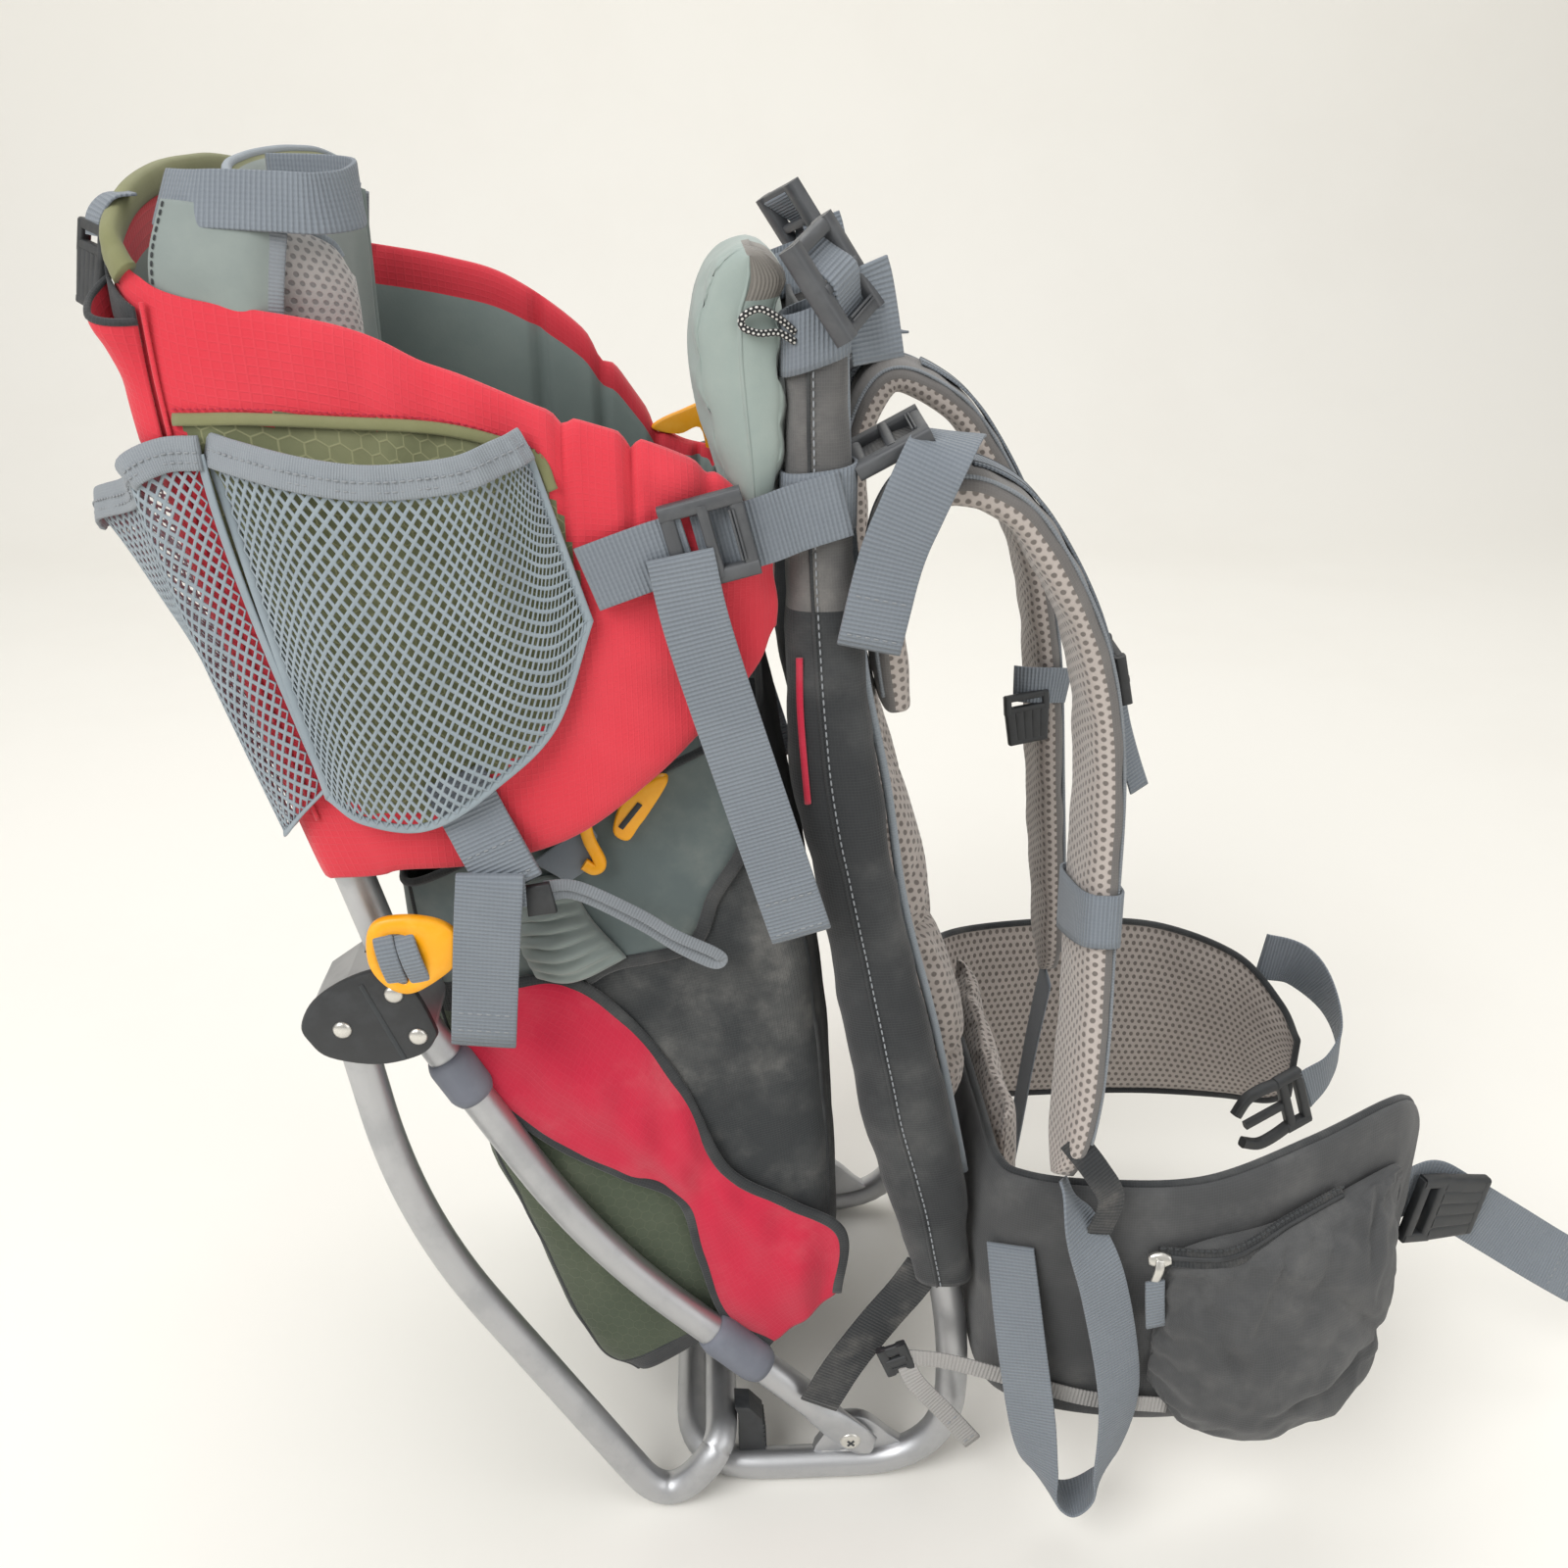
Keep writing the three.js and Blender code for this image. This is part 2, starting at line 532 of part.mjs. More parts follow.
// The cargo bag below the seat: slanted sections, from the bottom up, open at the top.
const BAG = [
  { rearX: -32, rearZ: 62, frontX: 80, frontZ: 142, halfWidth: 102 },
  { rearX: -60, rearZ: 100, frontX: 90, frontZ: 172, halfWidth: 108 },
  { rearX: -108, rearZ: 278, frontX: 80, frontZ: 330, halfWidth: 113.1 },
  { rearX: -136, rearZ: 365, frontX: 64, frontZ: 420, halfWidth: 113.1 },
  { rearX: -142, rearZ: 408, frontX: 47, frontZ: 500, halfWidth: 113.1 },
];
const BAG_WALL = 2.2;
function bagRing({ rearX, rearZ, frontX, frontZ, halfWidth }, inset, lift) {
  const corner = 14;
  const slope = (frontZ - rearZ) / (frontX - rearX);
  const [x0, x1, y1] = [rearX + inset, frontX - inset, halfWidth - inset];
  const outline = [
    [x0, y1 - corner], [x0 + corner, y1], [x1 - corner, y1], [x1, y1 - corner],
    [x1, corner - y1], [x1 - corner, -y1], [x0 + corner, -y1], [x0, corner - y1],
  ];
  return outline.map(([x, y]) => at(x, y, rearZ + (x - rearX) * slope + lift));
}
place("cargo_bag", "blackFabric", loft([
  ...BAG.map((section) => bagRing(section, 0, 0)),
  ...[...BAG].reverse().map((section, i) => bagRing(section, BAG_WALL, i === BAG.length - 1 ? BAG_WALL : 0)),
]));

// Red side flaps: bands from the upper sleeve to the lower one, between a rear edge and a front edge.
const FLAP = [
  { rearX: -111, rearZ: 326, frontX: -104, frontZ: 352, swell: 0 },
  { rearX: -96, rearZ: 299, frontX: -60, frontZ: 358, swell: 4 },
  { rearX: -68, rearZ: 268, frontX: -30, frontZ: 336, swell: 7 },
  { rearX: -34, rearZ: 242, frontX: 0, frontZ: 290, swell: 6 },
  { rearX: 4, rearZ: 216, frontX: 26, frontZ: 234, swell: 2 },
  { rearX: 14, rearZ: 174, frontX: 60, frontZ: 206, swell: 4 },
  { rearX: 25, rearZ: 131, frontX: 90, frontZ: 184, swell: 7 },
  { rearX: 51, rearZ: 103, frontX: 88, frontZ: 140, swell: 2 },
];
const FLAP_ROWS = 4;
for (const [name, side] of Object.entries(SIDES)) {
  const grid = FLAP.map(({ rearX, rearZ, frontX, frontZ, swell }) =>
    Array.from({ length: FLAP_ROWS }, (_, j) => {
      const v = j / (FLAP_ROWS - 1);
      const y = 115.2 + swell * Math.sin(v * Math.PI);
      return at(lerp(rearX, frontX, v), side * y, lerp(rearZ, frontZ, v));
    }),
  );
  place(`side_flap_${name}`, "redFabric", wall(grid, 2, at(0, 0, 220)));
}

// Wearer's back

// Black covers over the uprights: rear and front edges in the side view.
const COVER = [
  { z: 685, rear: 57, front: 84 },
  { z: 640, rear: 57, front: 86 },
  { z: 573, rear: 57, front: 87 },
  { z: 474, rear: 61, front: 91 },
  { z: 391, rear: 78, front: 107 },
  { z: 320, rear: 90, front: 128 },
  { z: 268, rear: 100, front: 142 },
  { z: 215, rear: 116, front: 158 },
  { z: 158, rear: 132, front: 163 },
];
const COVER_HALF_WIDTH = 13.5;
const COVER_BORE = 10.8;
const COVER_HEIGHTS = [685, 620, 552, 522, 494, 466, 438, 410, 340, 270, 215, 158];
const OVAL = Array.from({ length: 10 }, (_, k) => (k / 10) * 2 * Math.PI);
for (const [name, side] of Object.entries(SIDES)) {
  const ring = (x, z, halfDepth, halfWidth) =>
    OVAL.map((turn) => at(x + halfDepth * Math.cos(turn), side * FRAME_HALF_WIDTH + halfWidth * Math.sin(turn), z));
  const outer = COVER_HEIGHTS.map((z) => {
    const [rear, front] = [lookUp(COVER, "z", "rear", z), lookUp(COVER, "z", "front", z)];
    return ring((rear + front) / 2, z, (front - rear) / 2, COVER_HALF_WIDTH);
  });
  const inner = COVER_HEIGHTS.map((z) => ring(uprightX(z), z, COVER_BORE, COVER_BORE)).reverse();
  place(`upright_cover_${name}`, "blackFabric", loft([...outer, ...inner], true));
}

// The panel between the uprights.
const PANEL = { halfWidth: 108.8, thick: 3, low: 165, high: 680, rows: 9 };
const panelHeights = Array.from({ length: PANEL.rows }, (_, j) => lerp(PANEL.low, PANEL.high, j / (PANEL.rows - 1)));
place("back_panel", "blackFabric", wall(
  [-1, 0, 1].map((u) => panelHeights.map((z) => at(uprightX(z) + PANEL.thick / 2, u * PANEL.halfWidth, z))),
  PANEL.thick,
  at(-400, 0, 300),
));

// Mesh back pads: their front edge in the side view, pinched where they are sewn across.
const BACK_PAD = [
  { z: 545, front: 88, wide: 0.8 },
  { z: 528, front: 100, wide: 0.95 },
  { z: 505, front: 105, wide: 1 },
  { z: 470, front: 112, wide: 0.95 },
  { z: 440, front: 121, wide: 1 },
  { z: 400, front: 134, wide: 1 },
  { z: 368, front: 137, wide: 0.95 },
  { z: 340, front: 149, wide: 1 },
  { z: 300, front: 161, wide: 1 },
  { z: 272, front: 166, wide: 0.95 },
  { z: 250, front: 164, wide: 0.85 },
];
const BACK_PAD_Y = { middle: 68, halfWidth: 37 };
for (const [name, side] of Object.entries(SIDES))
  place(`back_pad_${name}`, "meshFabric", loft(
    BACK_PAD.map(({ z, front, wide }) => {
      const rear = uprightX(z) + PANEL.thick / 2 + 1.15;
      return PAD_SECTION.map(([u, v]) =>
        at(lerp(rear, front, (v + 1) / 2), side * BACK_PAD_Y.middle + u * wide * BACK_PAD_Y.halfWidth, z),
      );
    }),
  ));

// The chin pad, behind the top of the panel: oval sections across.
const CHIN_PAD = [
  { y: -133, depth: 0.55, height: 0.72 },
  { y: -118, depth: 0.92, height: 0.95 },
  { y: -60, depth: 1, height: 1 },
  { y: 0, depth: 1, height: 1 },
  { y: 60, depth: 1, height: 1 },
  { y: 118, depth: 0.92, height: 0.95 },
  { y: 133, depth: 0.55, height: 0.72 },
];
const CHIN = { front: 56.6, rear: 19, middle: 658, halfHeight: 61 };
place("chin_pad", "greyFabric", loft(
  CHIN_PAD.map(({ y, depth, height }) => {
    const halfDepth = ((CHIN.front - CHIN.rear) / 2) * depth;
    return OVAL.map((turn) =>
      at(CHIN.front - halfDepth + halfDepth * Math.cos(turn), y, CHIN.middle + CHIN.halfHeight * height * Math.sin(turn)),
    );
  }),
));

// Hip belt

// The belt's middle line seen from above, with the lower and upper edge of its padding.
const HIP_FIN = {
  right: [
    { x: 171.4, y: 2, low: 92, high: 236 },
    { x: 172.9, y: 70, low: 90, high: 236 },
    { x: 174.4, y: 122, low: 86, high: 238 },
    { x: 188, y: 143, low: 82, high: 241 },
    { x: 228, y: 155, low: 78, high: 243 },
    { x: 285, y: 158, low: 76, high: 246 },
    { x: 345, y: 145, low: 78, high: 260 },
    { x: 398, y: 117, low: 94, high: 264 },
    { x: 430, y: 88, low: 116, high: 240 },
  ],
  left: [
    { x: 171.4, y: 2, low: 92, high: 236 },
    { x: 172.9, y: 70, low: 90, high: 236 },
    { x: 174.4, y: 122, low: 86, high: 236 },
    { x: 188, y: 143, low: 82, high: 236 },
    { x: 228, y: 155, low: 78, high: 236 },
    { x: 285, y: 160, low: 76, high: 234 },
    { x: 345, y: 153, low: 80, high: 236 },
    { x: 398, y: 131, low: 92, high: 240 },
    { x: 430, y: 101, low: 112, high: 226 },
  ],
};
const FIN_HALF_THICK = 8;

function finStations(name, side) {
  const points = HIP_FIN[name].map(({ x, y }) => at(x, side * y, 0));
  const along = tangents(points);
  return HIP_FIN[name].map((row, i) => ({ ...row, p: points[i], out: at(-side * along[i].y, side * along[i].x, 0) }));
}

for (const [name, side] of Object.entries(SIDES))
  place(`hip_fin_${name}`, "blackFabric", loft(
    finStations(name, side).map(({ p, out, low, high }) =>
      PAD_SECTION.map(([u, v]) =>
        p.clone().addScaledVector(out, v * FIN_HALF_THICK).setZ((low + high) / 2 + (u * (high - low)) / 2),
      ),
    ),
  ));

// The zipped pocket on the right fin, by its place along the fin and how far it stands out.
const HIP_POCKET = [
  { station: 4.6, low: 116, high: 206, depth: 9 },
  { station: 5, low: 84, high: 216, depth: 24 },
  { station: 5.5, low: 74, high: 220, depth: 30 },
  { station: 6, low: 74, high: 226, depth: 31 },
  { station: 6.5, low: 82, high: 230, depth: 26 },
  { station: 7, low: 98, high: 228, depth: 15 },
  { station: 7.2, low: 116, high: 218, depth: 7 },
];
const rightFin = finStations("right", SIDES.right);
place("hip_pocket", "blackFabric", loft(
  HIP_POCKET.map(({ station, low, high, depth }) => {
    const [i, part] = [Math.floor(station), station % 1];
    const p = rightFin[i].p.clone().lerp(rightFin[i + 1].p, part);
    const out = rightFin[i].out.clone().lerp(rightFin[i + 1].out, part).normalize();
    return PAD_SECTION.map(([u, v]) =>
      p.clone()
        .addScaledVector(out, FIN_HALF_THICK + SEAM_GAP + ((v + 1) / 2) * depth)
        .setZ((low + high) / 2 + (u * (high - low)) / 2),
    );
  }),
));

// Lumbar pad, in front of the belt.
const LUMBAR = { halfWidth: 94, low: 100, high: 240, rear: 181.5, front: 202 };
place("lumbar_pad", "meshFabric", pad(
  [LUMBAR.low, 130, 170, 210, LUMBAR.high].map((z, i) => ({
    p: at((LUMBAR.rear + LUMBAR.front) / 2, 0, z),
    across: at(0, 1, 0),
    halfWidth: LUMBAR.halfWidth * [0.85, 0.97, 1, 0.97, 0.85][i],
    halfThick: ((LUMBAR.front - LUMBAR.rear) / 2) * [0.6, 0.95, 1, 0.95, 0.6][i],
  })),
));

// Belt webbing and buckle halves, each as it lies.
const BELT = {
  right: {
    route: [
      { x: 431.9, y: -86.2, z: 172, face: [0.6, -0.8, 0] },
      { x: 452, y: -77, z: 170, face: [0.4, -0.9, 0] },
      { x: 474, y: -74, z: 156, face: [0.2, -1, 0.1] },
      { x: 508, y: -72, z: 132, face: [0, -1, 0.3] },
      { x: 542, y: -71, z: 108, face: [0, -1, 0.5] },
      { x: 570, y: -70, z: 89, face: [0, -1, 0.6] },
    ],
    buckle: { x: 465.1, y: -87, z: 159, along: [1, 0.28, -0.2], face: [0.28, -1, 0] },
  },
  left: {
    route: [
      { x: 414, y: 129, z: 212, face: [0.6, 1, 0] },
      { x: 438, y: 119, z: 208, face: [0.8, 0.9, 0.1] },
      { x: 455, y: 99, z: 191, face: [1, 0.3, 0.3] },
      { x: 458, y: 78, z: 172, face: [1, -0.2, 0.2] },
      { x: 446, y: 62, z: 158, face: [0.7, -0.6, 0] },
      { x: 428, y: 53, z: 148, face: [0.4, -0.9, 0] },
    ],
    buckle: { x: 402.9, y: 45, z: 137.1, along: [-0.9, -0.3, -0.3], face: [0.3, -0.9, 0.1] },
  },
};
const BELT_WEB_WIDTH = 38;
for (const [name, { route, buckle }] of Object.entries(BELT)) {
  const stations = route.map(({ x, y, z, face }) => ({ p: at(x, y, z), face: at(...face) }));
  place(`belt_webbing_${name}`, "webbing", webbing(stations, BELT_WEB_WIDTH));
  placeLock(`belt_buckle_${name}`, "blackPlastic", {
    length: 50, width: 56, thick: 8, p: at(buckle.x, buckle.y, buckle.z), along: at(...buckle.along), face: at(...buckle.face),
  });
}

// Shoulder straps: from the back pads over the top and down the front, each as it hangs.
const STRAP_ROUTE = {
  right: [
    { x: 113.4, y: 88, z: 506, halfWidth: 24, halfThick: 8 },
    { x: 107, y: 93, z: 554, halfWidth: 28, halfThick: 9 },
    { x: 110, y: 98, z: 592, halfWidth: 31, halfThick: 9 },
    { x: 126, y: 100, z: 614, halfWidth: 31, halfThick: 9 },
    { x: 150, y: 98, z: 613, halfWidth: 31, halfThick: 9 },
    { x: 176, y: 94, z: 592, halfWidth: 31, halfThick: 9 },
    { x: 207, y: 88, z: 536, halfWidth: 31, halfThick: 9 },
    { x: 221, y: 88, z: 470, halfWidth: 31, halfThick: 9 },
    { x: 220, y: 104, z: 380, halfWidth: 31, halfThick: 9 },
    { x: 214, y: 134, z: 310, halfWidth: 29, halfThick: 9 },
    { x: 204, y: 160, z: 257, halfWidth: 22, halfThick: 7 },
  ],
  left: [
    { x: 113.4, y: 88, z: 506, halfWidth: 24, halfThick: 8 },
    { x: 107, y: 93, z: 558, halfWidth: 28, halfThick: 9 },
    { x: 110, y: 98, z: 602, halfWidth: 31, halfThick: 9 },
    { x: 126, y: 100, z: 630, halfWidth: 31, halfThick: 9 },
    { x: 152, y: 98, z: 624, halfWidth: 31, halfThick: 9 },
    { x: 178, y: 94, z: 600, halfWidth: 31, halfThick: 9 },
    { x: 209, y: 86, z: 542, halfWidth: 31, halfThick: 9 },
    { x: 224, y: 80, z: 474, halfWidth: 31, halfThick: 9 },
    { x: 231, y: 72, z: 390, halfWidth: 31, halfThick: 9 },
    { x: 237, y: 65, z: 310, halfWidth: 29, halfThick: 9 },
    { x: 241, y: 60, z: 250, halfWidth: 22, halfThick: 7 },
  ],
};
for (const [name, side] of Object.entries(SIDES))
  place(`shoulder_strap_${name}`, "meshFabric", pad(
    STRAP_ROUTE[name].map(({ x, y, z, halfWidth, halfThick }) => ({
      p: at(x, side * y, z), across: at(0, 1, 0), halfWidth, halfThick,
    })),
  ));

// Webbing and locks of the harness. Y grows outward from the middle; a face is given the same way.
const LIFTER = [
  { x: 87.5, y: 122, z: 626, face: [1, 0, 0] },
  { x: 85.6, y: 122, z: 676, face: [1, 0, 0.1] },
  { x: 92, y: 122, z: 704, face: [1, 0, -0.2] },
  { x: 101, y: 122, z: 715, face: [0.3, 0, -1] },
  { x: 112, y: 122, z: 708, face: [-0.8, 0, -0.7] },
  { x: 118, y: 122, z: 668, face: [-1, 0, 0] },
];
const SHOULDER_TAIL = {
  right: [
    { x: 128, y: 106, z: 636.1, face: [0, 0.1, 1] },
    { x: 118, y: 125, z: 635.1, face: [0, 0.3, 1] },
    { x: 108, y: 141, z: 624, face: [-0.1, 1, 0.5] },
    { x: 104, y: 141, z: 600, face: [0, 1, 0] },
    { x: 98, y: 141, z: 545, face: [0, 1, 0] },
  ],
  left: [
    { x: 128, y: 106, z: 652.7, face: [0, 0.1, 1] },
    { x: 118, y: 125, z: 651.7, face: [0, 0.3, 1] },
    { x: 108, y: 141, z: 636, face: [-0.1, 1, 0.5] },
    { x: 104, y: 141, z: 604, face: [0, 1, 0] },
    { x: 98, y: 141, z: 545, face: [0, 1, 0] },
  ],
};
const STRAP_LOOP = {
  right: [
    { x: 181, y: 149.5, z: 200, face: [-0.6, 1, 0] },
    { x: 189, y: 163, z: 150, face: [-0.5, 1, 0] },
    { x: 198, y: 172, z: 92, face: [-0.5, 0.9, -0.1] },
    { x: 207, y: 174, z: 46, face: [-0.7, 0.5, -0.5] },
    { x: 222, y: 175, z: 29, face: [0, 0.3, -1] },
    { x: 236, y: 176, z: 46, face: [0.7, 0.5, -0.5] },
    { x: 240, y: 179, z: 119, face: [0.5, 0.9, 0] },
    { x: 225, y: 181, z: 196, face: [0.4, 1, 0] },
    { x: 211, y: 175, z: 236, face: [0.8, 0.7, 0] },
    { x: 203.8, y: 161, z: 254.4, face: [1, 0.4, 0] },
  ],
  left: [
    { x: 241, y: 60, z: 245, face: [1, 0, 0] },
    { x: 238, y: 74, z: 180, face: [1, 0, 0] },
    { x: 232, y: 92, z: 60, face: [1, 0, -0.2] },
    { x: 222, y: 98, z: 8, face: [0.3, 0, -1] },
    { x: 206, y: 102, z: 40, face: [-1, 0, -0.2] },
    { x: 200, y: 106, z: 120, face: [-1, 0, 0] },
    { x: 185.2, y: 109, z: 170, face: [-1, 0, 0] },
  ],
};
const SIDE_STRAP = [
  { x: 84, y: 137.4, z: 614.5, face: [0, 1, 0] },
  { x: 62, y: 141, z: 609, face: [-0.2, 1, 0] },
  { x: 46, y: 147.5, z: 605, face: [-0.2, 1, 0] },
  { x: 18, y: 149.6, z: 598, face: [0, 1, 0] },
];
const SIDE_TAIL = [
  { x: 10, y: 158.2, z: 598, face: [0, 1, 0] },
  { x: 18, y: 158.6, z: 560, face: [0, 1, 0] },
  { x: 40, y: 158, z: 485, face: [0, 1, 0] },
  { x: 64, y: 156, z: 405, face: [0, 1, 0] },
];
const SEAT_STRAP = [
  { x: -70, y: 151.4, z: 462, face: [0, 1, 0] },
  { x: -72, y: 153, z: 448, face: [0, 1, 0.3] },
  { x: -84, y: 158, z: 440, face: [0, 1, 0.4] },
  { x: -92, y: 160, z: 415, face: [0, 1, 0] },
  { x: -94, y: 160, z: 349, face: [0, 1, 0] },
];
// The left side strap sags with the collar.
const SAG = -42;
const HARNESS_WEBS = [
  { piece: "lifter_webbing", route: LIFTER, width: 25 },
  { piece: "shoulder_tail", route: SHOULDER_TAIL, width: 30 },
  { piece: "strap_loop", route: STRAP_LOOP, width: 28 },
  { piece: "side_strap", route: SIDE_STRAP, width: 30, sags: true },
  { piece: "side_tail", route: SIDE_TAIL, width: 30, sags: true },
  { piece: "seat_strap", route: SEAT_STRAP, width: 34 },
];
// The right shoulder strap stands lower than the left, and so does its lock.
const HARNESS_LOCKS = [
  { piece: "lifter_lock", finish: "blackPlastic", x: 75, y: 124, z: 705.5, along: [0.5, 0, 0.86], face: [-0.86, 0.2, 0.5] },
  { piece: "shoulder_lock", finish: "blackPlastic", x: 112, y: 112, z: 639, drop: 16.2, along: [0.92, 0, 0.4], face: [-0.4, 0.1, 0.92] },
  { piece: "side_lock", finish: "blackPlastic", x: 23, y: 153.8, z: 603, along: [0.97, 0, 0.25], face: [0, 1, 0], sags: true },
  { piece: "seat_lock", finish: "yellowPlastic", x: -136, y: 158.6, z: 398, along: [0.93, 0, -0.36], face: [0, 1, 0] },
];
const LOCK = { length: 40, width: 37, thick: 6 };
for (const [name, side] of Object.entries(SIDES)) {
  const set = (x, y, z, sags) => at(x, side * y, sags && side > 0 ? z + SAG : z);
  for (const { piece, route, width, sags } of HARNESS_WEBS) {
    const rows = route[name] ?? route;
    const stations = rows.map(({ x, y, z, face }) => ({
      p: set(x, y, z, sags),
      face: at(face[0], side * face[1], face[2]),
    }));
    place(`${piece}_${name}`, "webbing", webbing(stations, width));
  }
  for (const { piece, finish, x, y, z, along, face, sags, drop = 0 } of HARNESS_LOCKS)
    placeLock(`${piece}_${name}`, finish, {
      ...LOCK,
      p: set(x, y, side > 0 ? z : z - drop, sags),
      along: at(...along),
      face: at(face[0], side * face[1], face[2]),
    });
}

export default carrier;
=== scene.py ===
import math

import bmesh
import bpy
import numpy as np
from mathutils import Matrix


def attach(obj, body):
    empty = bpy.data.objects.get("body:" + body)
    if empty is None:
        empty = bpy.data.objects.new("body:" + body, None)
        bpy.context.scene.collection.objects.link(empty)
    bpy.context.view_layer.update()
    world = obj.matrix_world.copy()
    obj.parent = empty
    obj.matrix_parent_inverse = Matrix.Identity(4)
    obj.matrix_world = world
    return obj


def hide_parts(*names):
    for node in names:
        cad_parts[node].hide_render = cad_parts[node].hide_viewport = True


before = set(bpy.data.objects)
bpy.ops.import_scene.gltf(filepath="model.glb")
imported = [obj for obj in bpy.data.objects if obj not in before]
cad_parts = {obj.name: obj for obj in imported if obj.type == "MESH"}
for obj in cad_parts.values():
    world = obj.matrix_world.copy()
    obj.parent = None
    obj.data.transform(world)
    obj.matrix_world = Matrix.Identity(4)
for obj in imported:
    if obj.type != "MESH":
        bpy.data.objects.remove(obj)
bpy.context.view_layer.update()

# Sizes and places are in millimetres, in the frame of the part, and become metres where a mesh is made.
MM = 0.001
SIDES = {"right": -1, "left": 1}
TUBE_RADIUS = 9.5
FRAME_HALF_WIDTH = 122
LEG_HALF_WIDTH = 138
BASE_HEIGHT = 9.5
WEB_THICK = 1.8
TURN = 2 * np.pi


# Lines and surfaces


def unit(vectors):
    """Vectors made one long."""
    return vectors / np.maximum(np.linalg.norm(vectors, axis=-1, keepdims=True), 1e-9)


def row_weights(f):
    """Weights of the four rows round a place: a cubic whose slope at a row is half the step over its
    neighbours."""
    cubics = np.stack([(2 - f) * f - 1, (3 * f - 5) * f, (4 - 3 * f) * f + 1, (f - 1) * f], -1)
    return cubics * f[..., None] / 2 + np.array([0.0, 1.0, 0.0, 0.0])


def with_ends(rows):
    """Rows with one more at each end, straight on from the last two."""
    return np.concatenate([2 * rows[:1] - rows[1:2], rows, 2 * rows[-1:] - rows[-2:-1]])


def along_rows(rows, place):
    """Values at fractional row numbers, on a smooth curve through the rows."""
    rows = np.asarray(rows, float)
    first = np.clip(place.astype(int), 0, len(rows) - 2)
    near = with_ends(rows)[first[:, None] + np.arange(4)]
    return np.einsum("pk,pk...->p...", row_weights(place - first), near)


def smooth(rows, count):
    """A number of values spread over the rows, on a smooth curve through them."""
    return along_rows(rows, np.linspace(0, len(rows) - 1, count))


def smooth_grid(table, count_u, count_v):
    """A finer grid of points through a table of points, smooth both ways."""
    return np.swapaxes(smooth(np.swapaxes(smooth(table, count_u), 0, 1), count_v), 0, 1)


def on_patch(table, u, v):
    """Points at fractional places of a table of points, smooth both ways."""
    table = np.asarray(table, float)
    wide = np.swapaxes(with_ends(np.swapaxes(with_ends(table), 0, 1)), 0, 1)
    i = np.clip(u.astype(int), 0, len(table) - 2)
    j = np.clip(v.astype(int), 0, len(table[0]) - 2)
    four = np.arange(4)
    near = wide[(i[:, None] + four)[:, :, None], (j[:, None] + four)[:, None, :]]
    return np.einsum("pa,pb,pabk->pk", row_weights(u - i), row_weights(v - j), near)


def bent(corners, setbacks, steps=12):
    """Straight runs with rounded corners: a corner is a quadratic curve from one setback before it to one
    after."""
    corners = np.asarray(corners, float)
    t = np.linspace(0, 1, steps)[:, None]
    runs = [corners[:1]]
    for before, corner, after, setback in zip(corners, corners[1:], corners[2:], setbacks):
        enter = corner + unit(before - corner) * setback
        leave = corner + unit(after - corner) * setback
        runs.append((1 - t) ** 2 * enter + 2 * t * (1 - t) * corner + t**2 * leave)
    return np.concatenate([*runs, corners[-1:]])


def line_length(line):
    """Distance along a line of points from its start."""
    return np.concatenate([[0], np.cumsum(np.linalg.norm(np.diff(line, axis=0), axis=1))])


def between(places, marks, rows):
    """Rows at places, straight between the marks that they are given for."""
    return np.stack([np.interp(places, marks, column) for column in rows.T], -1)


def metres(line):
    """The length of a line of points, in metres."""
    return float(line_length(line)[-1]) * MM


def even(line, count):
    """The line again, with its points evenly spaced."""
    far = line_length(line)
    return between(np.linspace(0, far[-1], count), far, line)


RUMPLE_WAVES = 9


def rumple(points, seed, wave):
    """Uneven height over points, about -1 to 1: the mean of sine waves of nearly one length in drawn
    directions."""
    draw = np.random.default_rng(seed)
    ways = unit(draw.normal(size=(RUMPLE_WAVES, 3))) / (wave * draw.uniform(0.7, 1.6, (RUMPLE_WAVES, 1)))
    phases = draw.uniform(0, TURN, RUMPLE_WAVES)
    return np.sin(points @ ways.T * TURN + phases).mean(-1) * 2


def bump_at(places, middle, width):
    """A smooth hump of height 1 at a place, as a bell curve."""
    return np.exp(-(((places - middle) / width) ** 2))


def ramp(values, low, high):
    """Smooth rise from 0 at low to 1 at high."""
    t = np.clip((values - low) / (high - low), 0, 1)
    return t * t * (3 - 2 * t)


def grid_normals(grid):
    """Unit normals of a grid of points: the cross product of its slopes along and across."""
    return unit(np.cross(np.gradient(grid, axis=0), np.gradient(grid, axis=1)))


def joined(x, y, z):
    """Points from their three parts, each spread over the whole grid."""
    return np.stack(np.broadcast_arrays(x, y, z), -1)


# Skins and pieces


